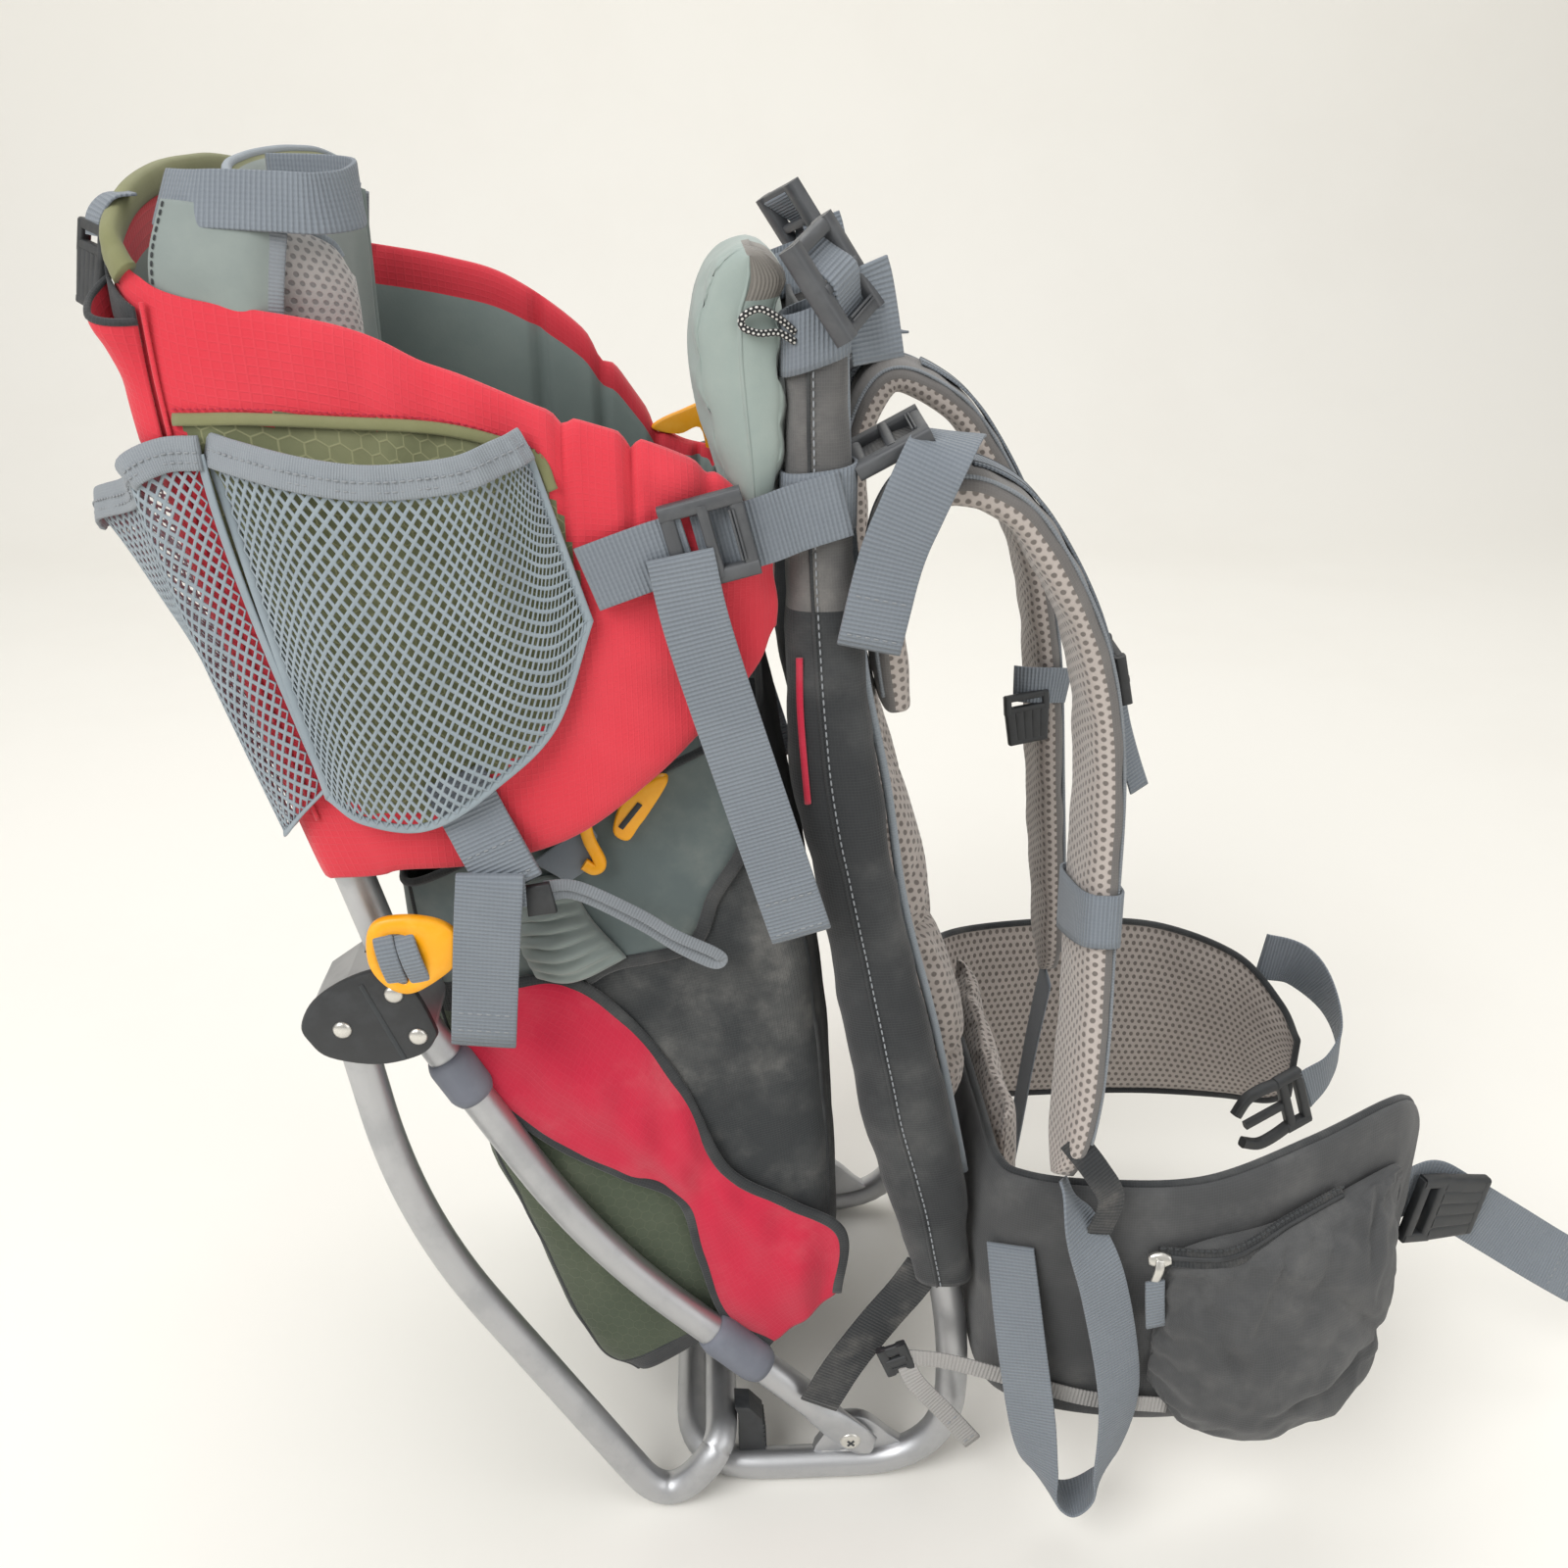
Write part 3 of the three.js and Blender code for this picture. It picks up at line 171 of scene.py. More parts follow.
def skin(grid, round_u=False, round_v=False, ends=False, finish=0):
    """Quads over a grid of points in millimetres, joined where it is round, with flat ends if asked.
    Its UV is the distance along and across, in metres."""
    count_u, count_v = grid.shape[:2]
    number = np.arange(count_u * count_v).reshape(count_u, count_v)
    full = grid
    if round_v:
        number = np.concatenate([number, number[:, :1]], 1)
        full = np.concatenate([full, full[:, :1]], 1)
    if round_u:
        number = np.concatenate([number, number[:1]])
        full = np.concatenate([full, full[:1]])
    steps_u = np.linalg.norm(np.diff(full, axis=0), axis=2).mean(1)
    steps_v = np.linalg.norm(np.diff(full, axis=1), axis=2).mean(0)
    far_u = np.concatenate([[0], np.cumsum(steps_u)])
    far_v = np.concatenate([[0], np.cumsum(steps_v)])
    place = np.stack(np.meshgrid(far_u, far_v, indexing="ij"), -1) * MM

    def corners(a):
        return np.stack([a[:-1, :-1], a[1:, :-1], a[1:, 1:], a[:-1, 1:]], 2)

    quads = corners(number).reshape(-1, 4)
    caps = [number[0, :count_v][::-1].tolist(), number[-1, :count_v].tolist()] if ends else []
    finishes = np.array(np.broadcast_to(finish, (number.shape[0] - 1, number.shape[1] - 1))).ravel()
    return {"points": grid.reshape(-1, 3), "quads": quads, "caps": caps,
            "uv": corners(place).reshape(-1, 2), "finish": finishes, "cap_finish": int(finishes[0])}


def shape(name, skins, finishes, wall=0.0, crease=None, outward=True):
    """One object from its skins, in place at the origin."""
    points, faces, uv, finish = [], [], [], []
    caps, cap_finish, count = [], [], 0
    for s in skins:
        points.append(s["points"])
        faces.append(s["quads"] + count)
        uv.append(s["uv"])
        finish.append(s["finish"])
        caps += [[n + count for n in cap] for cap in s["caps"]]
        cap_finish += [s["cap_finish"]] * len(s["caps"])
        count += len(s["points"])
    mesh = bpy.data.meshes.new(name)
    mesh.from_pydata((np.concatenate(points) * MM).tolist(), [], np.concatenate(faces).tolist() + caps)
    corner_uv = np.zeros((len(mesh.loops), 2), np.float32)
    quad_uv = np.concatenate(uv)
    corner_uv[: len(quad_uv)] = quad_uv
    mesh.uv_layers.new(name="UVMap").data.foreach_set("uv", corner_uv.ravel())
    mesh.polygons.foreach_set("material_index",
                              np.concatenate([*finish, np.array(cap_finish, int)]).astype(np.int32))
    mesh.polygons.foreach_set("use_smooth", np.ones(len(mesh.polygons), bool))
    if outward:
        turned = bmesh.new()
        turned.from_mesh(mesh)
        bmesh.ops.recalc_face_normals(turned, faces=turned.faces)
        turned.to_mesh(mesh)
        turned.free()
    if crease:
        mesh.set_sharp_from_angle(angle=math.radians(crease))
    for finish_used in finishes:
        mesh.materials.append(finish_used)
    made = bpy.data.objects.new(name, mesh)
    bpy.context.scene.collection.objects.link(made)
    if wall:
        thick = made.modifiers.new("wall", "SOLIDIFY")
        thick.thickness = wall * MM
        thick.offset = 0
    return made


def piece(name, skins, finishes, slot, nodes=(), body="carrier", **build):
    """One object from its skins, on its body, standing for its CAD nodes."""
    made = shape(name, skins, finishes, **build)
    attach(made, body)
    if nodes:
        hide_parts(*nodes)
    return made


def black_piece(name, skins, nodes=(), crease=60):
    """A piece of black plastic."""
    piece(name, skins, [BLACK_PLASTIC], "plastic_black", nodes, crease=crease)


def frames_of(line, face):
    """Along, face and across directions of a line whose broad side looks a given way."""
    way = unit(np.gradient(line, axis=0))
    normal = unit(face - (face * way).sum(-1, keepdims=True) * way)
    return way, normal, np.cross(way, normal)


def section(sides, square):
    """Points round a superellipse of half sizes 1: cosine and sine raised to 2 / square, with their
    signs."""
    turn = np.linspace(0, TURN, sides, endpoint=False) + TURN / sides / 2
    power = 2 / square
    return [np.sign(f(turn)) * np.abs(f(turn)) ** power for f in (np.cos, np.sin)]


def strip_grid(line, face, half_width, half_thick, sides=16, square=2.0):
    """Rings of a bar along a line: a superellipse section, half_width across and half_thick along its
    face."""
    _, normal, across = frames_of(line, face)
    wide, thick = section(sides, square)
    half_width = np.broadcast_to(half_width, len(line))[:, None, None]
    half_thick = np.broadcast_to(half_thick, len(line))[:, None, None]
    return (line[:, None] + across[:, None] * half_width * wide[:, None]
            + normal[:, None] * half_thick * thick[:, None])


def bar(line, face, half_width, half_thick, sides=16, square=2.0, finish=0):
    """A closed bar along a line."""
    line = np.asarray(line, float)
    face = np.broadcast_to(np.asarray(face, float), line.shape)
    return skin(strip_grid(line, face, half_width, half_thick, sides, square), round_v=True, ends=True,
                finish=finish)


def slab(outline, near, far, edge):
    """A flat plate in the side view, thick from one Y to another, with its rims drawn in by a rounded
    edge."""
    outline = np.asarray(outline, float)
    middle = outline.mean(0)
    reach = np.linalg.norm(outline - middle, axis=1).mean()
    step = np.sign(far - near) * edge
    rings = [(near, 1), (near + step * 0.3, 0.3), (near + step, 0), (far - step, 0),
             (far - step * 0.3, 0.3), (far, 1)]
    grid = np.stack([np.insert(middle + (outline - middle) * (1 - inset * edge / reach), 1, y, axis=1)
                     for y, inset in rings])
    return skin(grid, round_v=True, ends=True)


def rounded(outline, steps):
    """A closed outline drawn smooth through its corners."""
    outline = np.asarray(outline, float)
    ring = np.concatenate([outline[-1:], outline, outline[:2]])
    return along_rows(ring, np.linspace(1, len(outline) + 1, steps * len(outline), endpoint=False))


def dome(centre, axis, radius, height, finish=0):
    """A rivet head: rings that shrink as a quarter ellipse rises along its axis."""
    axis = unit(np.asarray(axis, float))
    side = unit(np.cross(axis, [0.3, 0.2, 0.9]))
    rise = np.array([-0.6, 0, 0.35, 0.65, 0.88, 0.995])
    shrink = np.sqrt(np.clip(1 - np.maximum(rise, 0) ** 2, 0, 1))
    turn = np.linspace(0, TURN, 20, endpoint=False)
    ring = np.cos(turn)[:, None] * side + np.sin(turn)[:, None] * np.cross(axis, side)
    rise, shrink = rise[:, None, None], shrink[:, None, None]
    grid = np.asarray(centre) + ring[None] * radius * shrink + axis * height * rise
    return skin(grid, round_v=True, ends=True, finish=finish)


def stitches(line, face, pitch=4.0, long=2.6, half=0.35, finish=0):
    """Sewn stitches: short flat bars set end to end along a line, each an eight-cornered sliver."""
    far = line_length(line)
    count = max(int(far[-1] / pitch), 1)
    middle = (np.arange(count) + 0.5) * far[-1] / count
    centre = between(middle, far, line)
    way = unit(between(middle + 0.4, far, line) - between(middle - 0.4, far, line))
    face = between(middle, far, np.broadcast_to(np.asarray(face, float), line.shape))
    up = unit(face - (face * way).sum(1, keepdims=True) * way)
    side = np.cross(way, up)
    rings = []
    for along, size in ((-0.5, 0.4), (-0.3, 1), (0.3, 1), (0.5, 0.4)):
        spot = centre + way * along * long
        rings.append(np.stack([spot + side * half * size * a + up * half * size * b
                               for a, b in ((-1, -1), (1, -1), (1, 1), (-1, 1))], 1))
    grid = np.stack(rings, 1)
    number = np.arange(count)[:, None, None, None] * 16
    ring = np.arange(3)[None, :, None, None] * 4
    k = np.arange(4)[None, None, :, None]
    turn = (k + 1) % 4
    start = number + ring
    quads = np.concatenate([start + k, start + turn, start + 4 + turn, start + 4 + k], -1)
    first = np.arange(count)[:, None] * 16
    lids = np.concatenate([first + np.array([3, 2, 1, 0]), first + 12 + np.array([0, 1, 2, 3])])
    quads = np.concatenate([quads.reshape(-1, 4), lids])
    return {"points": grid.reshape(-1, 3), "quads": quads, "caps": [], "uv": np.zeros((len(quads) * 4, 2)),
            "finish": np.full(len(quads), finish), "cap_finish": finish}


# Shader groups


def add(tree, kind, feeds=(), **settings):
    """A node with its settings, its inputs fed from sockets or set to values."""
    made = tree.nodes.new(kind)
    for key, value in settings.items():
        setattr(made, key, value)
    for key, value in dict(feeds).items():
        if isinstance(value, bpy.types.NodeSocket):
            tree.links.new(value, made.inputs[key])
        else:
            made.inputs[key].default_value = value
    return made


def calc(tree, operation, *values):
    """The result of one sum."""
    return add(tree, "ShaderNodeMath", enumerate(values), operation=operation).outputs[0]


def mixed(tree, share, first, second):
    """A colour between two colours."""
    made = add(tree, "ShaderNodeMix", {0: share, 6: first, 7: second}, data_type="RGBA")
    return made.outputs[2]


def spread(tree, value, low, high):
    """A value carried smoothly to 0 at low and 1 at high."""
    feeds = {"Value": value, "From Min": low, "From Max": high, "To Min": 0.0, "To Max": 1.0}
    return add(tree, "ShaderNodeMapRange", feeds, interpolation_type="SMOOTHSTEP").outputs["Result"]


def parts_of(tree, vector):
    """The three parts of a vector."""
    return add(tree, "ShaderNodeSeparateXYZ", {0: vector}).outputs


def shared(name, inputs, outputs):
    """An empty shader group with named sockets: its tree, its inputs and its outputs."""
    tree = bpy.data.node_groups.new(name, "ShaderNodeTree")
    for label, kind, value in inputs:
        socket = tree.interface.new_socket(label, in_out="INPUT", socket_type=kind)
        if value is not None:
            socket.default_value = value
    for label in outputs:
        tree.interface.new_socket(label, in_out="OUTPUT", socket_type="NodeSocketFloat")
    return tree, tree.nodes.new("NodeGroupInput").outputs, tree.nodes.new("NodeGroupOutput").inputs


VECTOR = ("Vector", "NodeSocketVector", None)


def pitch_input(value):
    """The size of a pattern, in metres."""
    return ("Pitch", "NodeSocketFloat", value)


def make_ribs():
    """Webbing ribs across a strap: a sine along it, broken by fine threads across."""
    tree, given, out = shared("webbing_ribs", [VECTOR, pitch_input(0.0017)], ["Height"])
    place = parts_of(tree, given["Vector"])
    along = calc(tree, "DIVIDE", calc(tree, "MULTIPLY", place["X"], TURN), given["Pitch"])
    across = calc(tree, "DIVIDE", calc(tree, "MULTIPLY", place["Y"], TURN), given["Pitch"])
    rib = calc(tree, "MULTIPLY_ADD", calc(tree, "SINE", along), 0.42, 0.5)
    thread = calc(tree, "MULTIPLY", calc(tree, "SINE", across), 0.08)
    tree.links.new(calc(tree, "ADD", rib, thread), out["Height"])
    return tree


def grid_line(tree, value, pitch, width):
    """1 on lines a pitch apart, 0 between."""
    part = calc(tree, "FRACT", calc(tree, "DIVIDE", value, pitch))
    off = calc(tree, "ABSOLUTE", calc(tree, "SUBTRACT", part, 0.5))
    return spread(tree, off, width, 0.0)


def make_ripstop():
    """Ripstop cloth: raised threads in a square grid."""
    tree, given, out = shared("ripstop", [VECTOR, pitch_input(0.0032)], ["Height"])
    place = parts_of(tree, given["Vector"])
    lines = [grid_line(tree, place[k], given["Pitch"], 0.16) for k in ("X", "Y")]
    tree.links.new(calc(tree, "MAXIMUM", *lines), out["Height"])
    return tree


def lattice(tree, place, pitch):
    """Offsets from the nearest point of each of two interleaved lattices, in pitches, and their lengths."""
    x = calc(tree, "DIVIDE", place["X"], pitch)
    y = calc(tree, "DIVIDE", place["Y"], calc(tree, "MULTIPLY", pitch, math.sqrt(3)))
    found = []
    for shift in (0.0, 0.5):
        part = [calc(tree, "SUBTRACT", calc(tree, "FRACT", calc(tree, "ADD", v, shift)), 0.5)
                for v in (x, y)]
        part[1] = calc(tree, "MULTIPLY", part[1], math.sqrt(3))
        square = [calc(tree, "MULTIPLY", v, v) for v in part]
        found.append((part, calc(tree, "SQRT", calc(tree, "ADD", *square))))
    return found


def make_dots():
    """Knitted spacer mesh: round holes on a triangular lattice."""
    tree, given, out = shared("spacer_dots", [VECTOR, pitch_input(0.0055)], ["Hole"])
    place = parts_of(tree, given["Vector"])
    nearest = calc(tree, "MINIMUM", *[length for _, length in lattice(tree, place, given["Pitch"])])
    tree.links.new(spread(tree, nearest, 0.34, 0.2), out["Hole"])
    return tree


def make_honeycomb():
    """Honeycomb threads: 1 on the edges of hexagons round a triangular lattice."""
    tree, given, out = shared("honeycomb", [VECTOR, pitch_input(0.008)], ["Line"])
    place = parts_of(tree, given["Vector"])
    reach = []
    for (x, y), _ in lattice(tree, place, given["Pitch"]):
        wide = calc(tree, "ABSOLUTE", x)
        slant = calc(tree, "MULTIPLY_ADD", calc(tree, "ABSOLUTE", y), 0.866,
                     calc(tree, "MULTIPLY", wide, 0.5))
        reach.append(calc(tree, "MAXIMUM", wide, slant))
    tree.links.new(spread(tree, calc(tree, "MINIMUM", *reach), 0.43, 0.49), out["Line"])
    return tree


def make_blotches():
    """Dust, fading or grime: soft blotches, 0 to 1, of about a size in metres."""
    size = ("Size", "NodeSocketFloat", 0.05)
    tree, given, out = shared("blotches", [VECTOR, size], ["Mask", "Grain"])
    scale = calc(tree, "DIVIDE", 1.0, given["Size"])
    broad = add(tree, "ShaderNodeTexNoise",
                {"Vector": given["Vector"], "Scale": scale, "Detail": 5.0, "Roughness": 0.6})
    fine = add(tree, "ShaderNodeTexNoise", {"Vector": given["Vector"], "Scale": 900.0, "Detail": 2.0})
    tree.links.new(spread(tree, broad.outputs["Fac"], 0.42, 0.68), out["Mask"])
    tree.links.new(fine.outputs["Fac"], out["Grain"])
    return tree


def make_streaks():
    """Brushing along a tube: fine noise drawn out along its length."""
    tree, given, out = shared("brushed_streaks", [VECTOR], ["Height"])
    drawn = add(tree, "ShaderNodeMapping", {"Vector": given["Vector"], "Scale": (40.0, 2500.0, 1.0)})
    streak = add(tree, "ShaderNodeTexNoise", {"Vector": drawn.outputs[0], "Scale": 1.0, "Detail": 3.0})
    tree.links.new(streak.outputs["Fac"], out["Height"])
    return tree


GROUPS = {"ribs": make_ribs(), "ripstop": make_ripstop(), "dots": make_dots(),
          "honeycomb": make_honeycomb(), "blotches": make_blotches(), "streaks": make_streaks()}


def tint(code):
    """A colour from its hexadecimal code, as light."""
    parts = [int(code[k:k + 2], 16) / 255 for k in (0, 2, 4)]
    light = [p / 12.92 if p <= 0.04045 else ((p + 0.055) / 1.055) ** 2.4 for p in parts]
    return (*light, 1.0)


def start_finish(name):
    """An empty material: its tree and its shader."""
    made = bpy.data.materials.new(name)
    made.use_nodes = True
    tree = made.node_tree
    tree.nodes.clear()
    shader = tree.nodes.new("ShaderNodeBsdfPrincipled")
    out = tree.nodes.new("ShaderNodeOutputMaterial")
    tree.links.new(shader.outputs[0], out.inputs["Surface"])
    return made, tree, shader


# Depth of the relief in metres, on cloth and on plastic or metal.
CLOTH_DEPTH, HARD_DEPTH = 0.0008, 0.0003


def feed_shader(tree, shader, shade, rough, height, relief, depth):
    """Links a colour, a roughness and a relief to a shader."""
    tree.links.new(shade, shader.inputs["Base Color"])
    tree.links.new(rough, shader.inputs["Roughness"])
    lifted = add(tree, "ShaderNodeBump", {"Height": height, "Strength": relief, "Distance": depth})
    tree.links.new(lifted.outputs[0], shader.inputs["Normal"])


def use(tree, name, **feeds):
    """A shared group placed in a material."""
    return add(tree, "ShaderNodeGroup", {k.capitalize(): v for k, v in feeds.items()},
               node_tree=GROUPS[name]).outputs


def cloth(name, colour, thread, pattern=None, pitch=0.003, mark=0.5, relief=0.4, dust=0.0,
          dust_tint="b9b2a8",
          size=0.05, fade=0.25, roughness=0.85, sheen=0.15):
    """A woven or knitted finish: a base and thread colour by its pattern, faded in blotches, dusty, with
    its relief."""
    made, tree, shader = start_finish(name)
    place = tree.nodes.new("ShaderNodeTexCoord").outputs
    blotch = use(tree, "blotches", vector=place["Object"], size=size)
    worn = use(tree, "blotches", vector=place["Object"], size=size * 0.37)
    height = calc(tree, "MULTIPLY", blotch["Grain"], 0.35)
    shade = tint(colour)
    if pattern:
        found = use(tree, pattern, vector=place["UV"], pitch=pitch)[0]
        shade = mixed(tree, calc(tree, "MULTIPLY", found, mark), shade, tint(thread))
        sign = -1.0 if pattern == "dots" else 1.0
        height = calc(tree, "MULTIPLY_ADD", found, sign, height)
    shade = mixed(tree, calc(tree, "MULTIPLY", blotch["Mask"], fade), shade, tint(thread))
    if dust:
        both = calc(tree, "MULTIPLY", calc(tree, "MULTIPLY_ADD", worn["Mask"], 0.7, 0.3), blotch["Mask"])
        speck = calc(tree, "MULTIPLY", both, calc(tree, "MULTIPLY_ADD", blotch["Grain"], 0.8, 0.6))
        shade = mixed(tree, calc(tree, "MULTIPLY", speck, dust), shade, tint(dust_tint))
    rough = calc(tree, "MULTIPLY_ADD", worn["Mask"], 0.1, roughness - 0.05)
    feed_shader(tree, shader, shade, rough, height, relief, CLOTH_DEPTH)
    shader.inputs["Sheen Weight"].default_value = sheen
    shader.inputs["Sheen Roughness"].default_value = 0.5
    shader.inputs["Specular IOR Level"].default_value = 0.25
    return made


def plastic(name, colour, worn, roughness=0.45):
    """A moulded plastic: a fine grain, scuffed lighter in small blotches."""
    made, tree, shader = start_finish(name)
    place = tree.nodes.new("ShaderNodeTexCoord").outputs
    scuff = use(tree, "blotches", vector=place["Object"], size=0.012)
    shade = mixed(tree, calc(tree, "MULTIPLY", scuff["Mask"], 0.35), tint(colour), tint(worn))
    rough = calc(tree, "MULTIPLY_ADD", scuff["Mask"], 0.2, roughness)
    feed_shader(tree, shader, shade, rough, scuff["Grain"], 0.15, HARD_DEPTH)
    return made


def metal(name, colour, dull, roughness):
    """A satin metal: brushed along its length, with duller blotches."""
    made, tree, shader = start_finish(name)
    place = tree.nodes.new("ShaderNodeTexCoord").outputs
    dulled = use(tree, "blotches", vector=place["Object"], size=0.03)
    streak = use(tree, "streaks", vector=place["UV"])["Height"]
    shade = mixed(tree, calc(tree, "MULTIPLY", dulled["Mask"], 0.4), tint(colour), tint(dull))
    rough = calc(tree, "MULTIPLY_ADD", streak, 0.2, roughness - 0.1)
    rough = calc(tree, "MULTIPLY_ADD", dulled["Mask"], 0.08, rough)
    feed_shader(tree, shader, shade, rough, streak, 0.08, HARD_DEPTH)
    shader.inputs["Metallic"].default_value = 0.9
    return made


ALUMINIUM = metal("aluminium", "bcbdbf", "a2a4a7", 0.42)
STEEL = metal("steel", "d8d6d0", "b8b5ae", 0.28)
WELD = metal("weld", "bdbdbc", "a8a8a7", 0.5)
BLACK_PLASTIC = plastic("black_plastic", "2b2d2f", "4a4c4e")
LOCK_PLASTIC = plastic("lock_plastic", "4a4c4f", "66686a", 0.4)
SLEEVE_PLASTIC = plastic("sleeve_plastic", "6d717c", "82868f", 0.55)
YELLOW_PLASTIC = plastic("yellow_plastic", "f6a70a", "fbc04a", 0.38)
RED = cloth("red_ripstop", "d13744", "dc4f5a", "ripstop", 0.0032, mark=0.16, relief=0.3, fade=0.22,
            size=0.09, sheen=0.2)
LOW_RED = cloth("red_flap", "c22440", "d03f58", "ripstop", 0.003, mark=0.15, relief=0.2, fade=0.2,
                size=0.07, dust=0.12, sheen=0.2)
LINING = cloth("lining_grey", "808c89", "97a19c", relief=0.25, fade=0.3, size=0.06, sheen=0.25,
               roughness=0.75)
CHIN_GREY = cloth("chin_grey", "93a09b", "aab3ac", relief=0.25, fade=0.35, sheen=0.25, roughness=0.75)
PANEL_GREY = cloth("panel_grey", "828b88", "969e98", relief=0.25, fade=0.35, sheen=0.2)
BAG_GREY = cloth("bag_grey", "5f6a6a", "78827f", relief=0.25, fade=0.4, dust=0.12, sheen=0.2)
OLIVE = cloth("olive_honeycomb", "6f7355", "a2a27c", "honeycomb", 0.0075, mark=0.55, relief=0.3, fade=0.3,
              size=0.08)
OLIVE_PLAIN = cloth("olive_plain", "7b7c58", "8f8f6c", relief=0.3, fade=0.4)
BAG_OLIVE = cloth("bag_olive", "4b5444", "646c56", "honeycomb", 0.007, mark=0.35, relief=0.3, fade=0.2,
                  size=0.06, dust=0.04)
BLACK = cloth("black_cloth", "303234", "46494b", "ripstop", 0.0016, mark=0.3, relief=0.35, dust=0.17,
              dust_tint="8d8b87", size=0.06, fade=0.35, sheen=0.2)
DUSTY = cloth("dusty_black", "303335", "484b4c", "ripstop", 0.0016, mark=0.3, relief=0.35, dust=0.5,
              dust_tint="8f8d89", size=0.07, fade=0.4, sheen=0.2)
WORN = cloth("worn_grey", "585858", "737170", "ripstop", 0.0016, mark=0.35, relief=0.35, dust=0.35,
             dust_tint="989590", size=0.05, fade=0.45, sheen=0.2)
GATHER = cloth("gather_grey", "7e7a75", "969189", "ribs", 0.0015, mark=0.25, relief=0.3, fade=0.4,
               size=0.04, sheen=0.2)
CHARCOAL = cloth("charcoal_cloth", "48494a", "5d5e5f", "ripstop", 0.0014, mark=0.25, relief=0.3, dust=0.18,
                 dust_tint="8d8b87", fade=0.35)
TAUPE = cloth("taupe_cloth", "6b6866", "7d7a77", "ripstop", 0.0015, mark=0.25, relief=0.3, fade=0.4,
              sheen=0.25)
BINDING = cloth("grey_binding", "7b8085", "90959a", "ribs", 0.0016, mark=0.35, relief=0.4, size=0.03)
PIPING = cloth("light_piping", "8d959c", "a3aab0", "ribs", 0.0014, mark=0.3, relief=0.3, size=0.03)
SPACER = cloth("spacer_mesh", "b2a9a3", "605a55", "dots", 0.0052, mark=0.85, relief=0.6, fade=0.1,
               sheen=0.3)
WING_MESH = cloth("wing_mesh", "b5b1ae", "757474", "dots", 0.0042, mark=0.75, relief=0.5, fade=0.1,
                  sheen=0.3)
NET = cloth("pocket_net", "8b969d", "a0aab0", relief=0.2, fade=0.3, size=0.03)
HEM = cloth("pocket_hem", "858b91", "9aa0a5", "ribs", 0.0012, mark=0.5, relief=0.5, fade=0.2, size=0.03)
WEBBING = cloth("grey_webbing", "727981", "8c939a", "ribs", 0.0021, mark=0.55, relief=0.7, fade=0.2)
LIGHT_WEBBING = cloth("light_webbing", "9a9896", "b0aeab", "ribs", 0.0021, mark=0.5, relief=0.6, size=0.04)
DARK_WEBBING = cloth("dark_webbing", "2e3032", "414345", "ribs", 0.002, mark=0.5, relief=0.6, fade=0.3,
                     size=0.04, dust=0.2)
THREAD = cloth("grey_thread", "8e9296", "a2a6aa", relief=0.1, fade=0.1)
DARK_THREAD = cloth("dark_thread", "3b3e40", "55585a", relief=0.1, fade=0.1)
RED_THREAD = cloth("red_thread", "b32a3e", "c84a5c", relief=0.1, fade=0.1)
SPECKLED = cloth("speckled_cord", "2a2b2c", "d8d6d1", "dots", 0.0021, mark=1.0, relief=0.3, fade=0.0)


# Camera, light and floor

PHOTO_SIDE = 1600
FOCAL_PIXELS = 1550
SENSOR = 36.0
CAMERA_PLACE = (0.025, -0.80, 0.783)
CAMERA_PITCH_DOWN = 24.7
CAMERA_YAW = 2.7
# Area lights: name, place in metres, power in watts, side in metres. All look at one place.
LIGHTS = [("key", (-1.5, -1.7, 2.3), 62, 1.8), ("fill", (1.9, -1.5, 1.5), 17, 2.0),
          ("top", (0.3, 0.9, 2.6), 26, 2.2)]
LIGHT_TARGET = (0.1, 0.0, 0.35)
FLOOR_REACH, FLOOR_BACK, FLOOR_BEND, WALL_TOP = 6000.0, 1900, 900.0, 4500


def set_camera():
    """The camera at the photograph's place, from its focal length in pixels of the square frame."""
    data = bpy.data.cameras.new("camera")
    data.sensor_width = SENSOR
    data.lens = SENSOR * FOCAL_PIXELS / PHOTO_SIDE
    data.clip_start = 0.01
    camera = bpy.data.objects.new("camera", data)
    camera.location = CAMERA_PLACE
    camera.rotation_euler = (math.radians(90 - CAMERA_PITCH_DOWN), 0, math.radians(-CAMERA_YAW))
    bpy.context.scene.collection.objects.link(camera)
    bpy.context.scene.camera = camera


def set_stage():
    """A pale floor that rises into a wall far behind, as one swept sheet."""
    turn = np.linspace(0, TURN / 4, 14)
    back = np.stack([FLOOR_BACK + FLOOR_BEND * np.sin(turn), FLOOR_BEND - FLOOR_BEND * np.cos(turn)], -1)
    profile = np.concatenate([[[-FLOOR_REACH, 0]], [[600, 0]], back, [[FLOOR_BACK + FLOOR_BEND, WALL_TOP]]])
    across = np.linspace(-FLOOR_REACH, FLOOR_REACH, 5)
    grid = np.stack([np.insert(profile, 0, x, axis=1) for x in across])
    made, tree, shader = start_finish("pale_floor")
    place = tree.nodes.new("ShaderNodeTexCoord").outputs
    blotch = use(tree, "blotches", vector=place["Object"], size=0.6)
    shade = mixed(tree, calc(tree, "MULTIPLY", blotch["Mask"], 0.3), tint("f4f2ec"), tint("eeebe4"))
    tree.links.new(shade, shader.inputs["Base Color"])
    shader.inputs["Roughness"].default_value = 0.6
    shader.inputs["Specular IOR Level"].default_value = 0.2
    shape("floor", [skin(grid)], [made], outward=False)


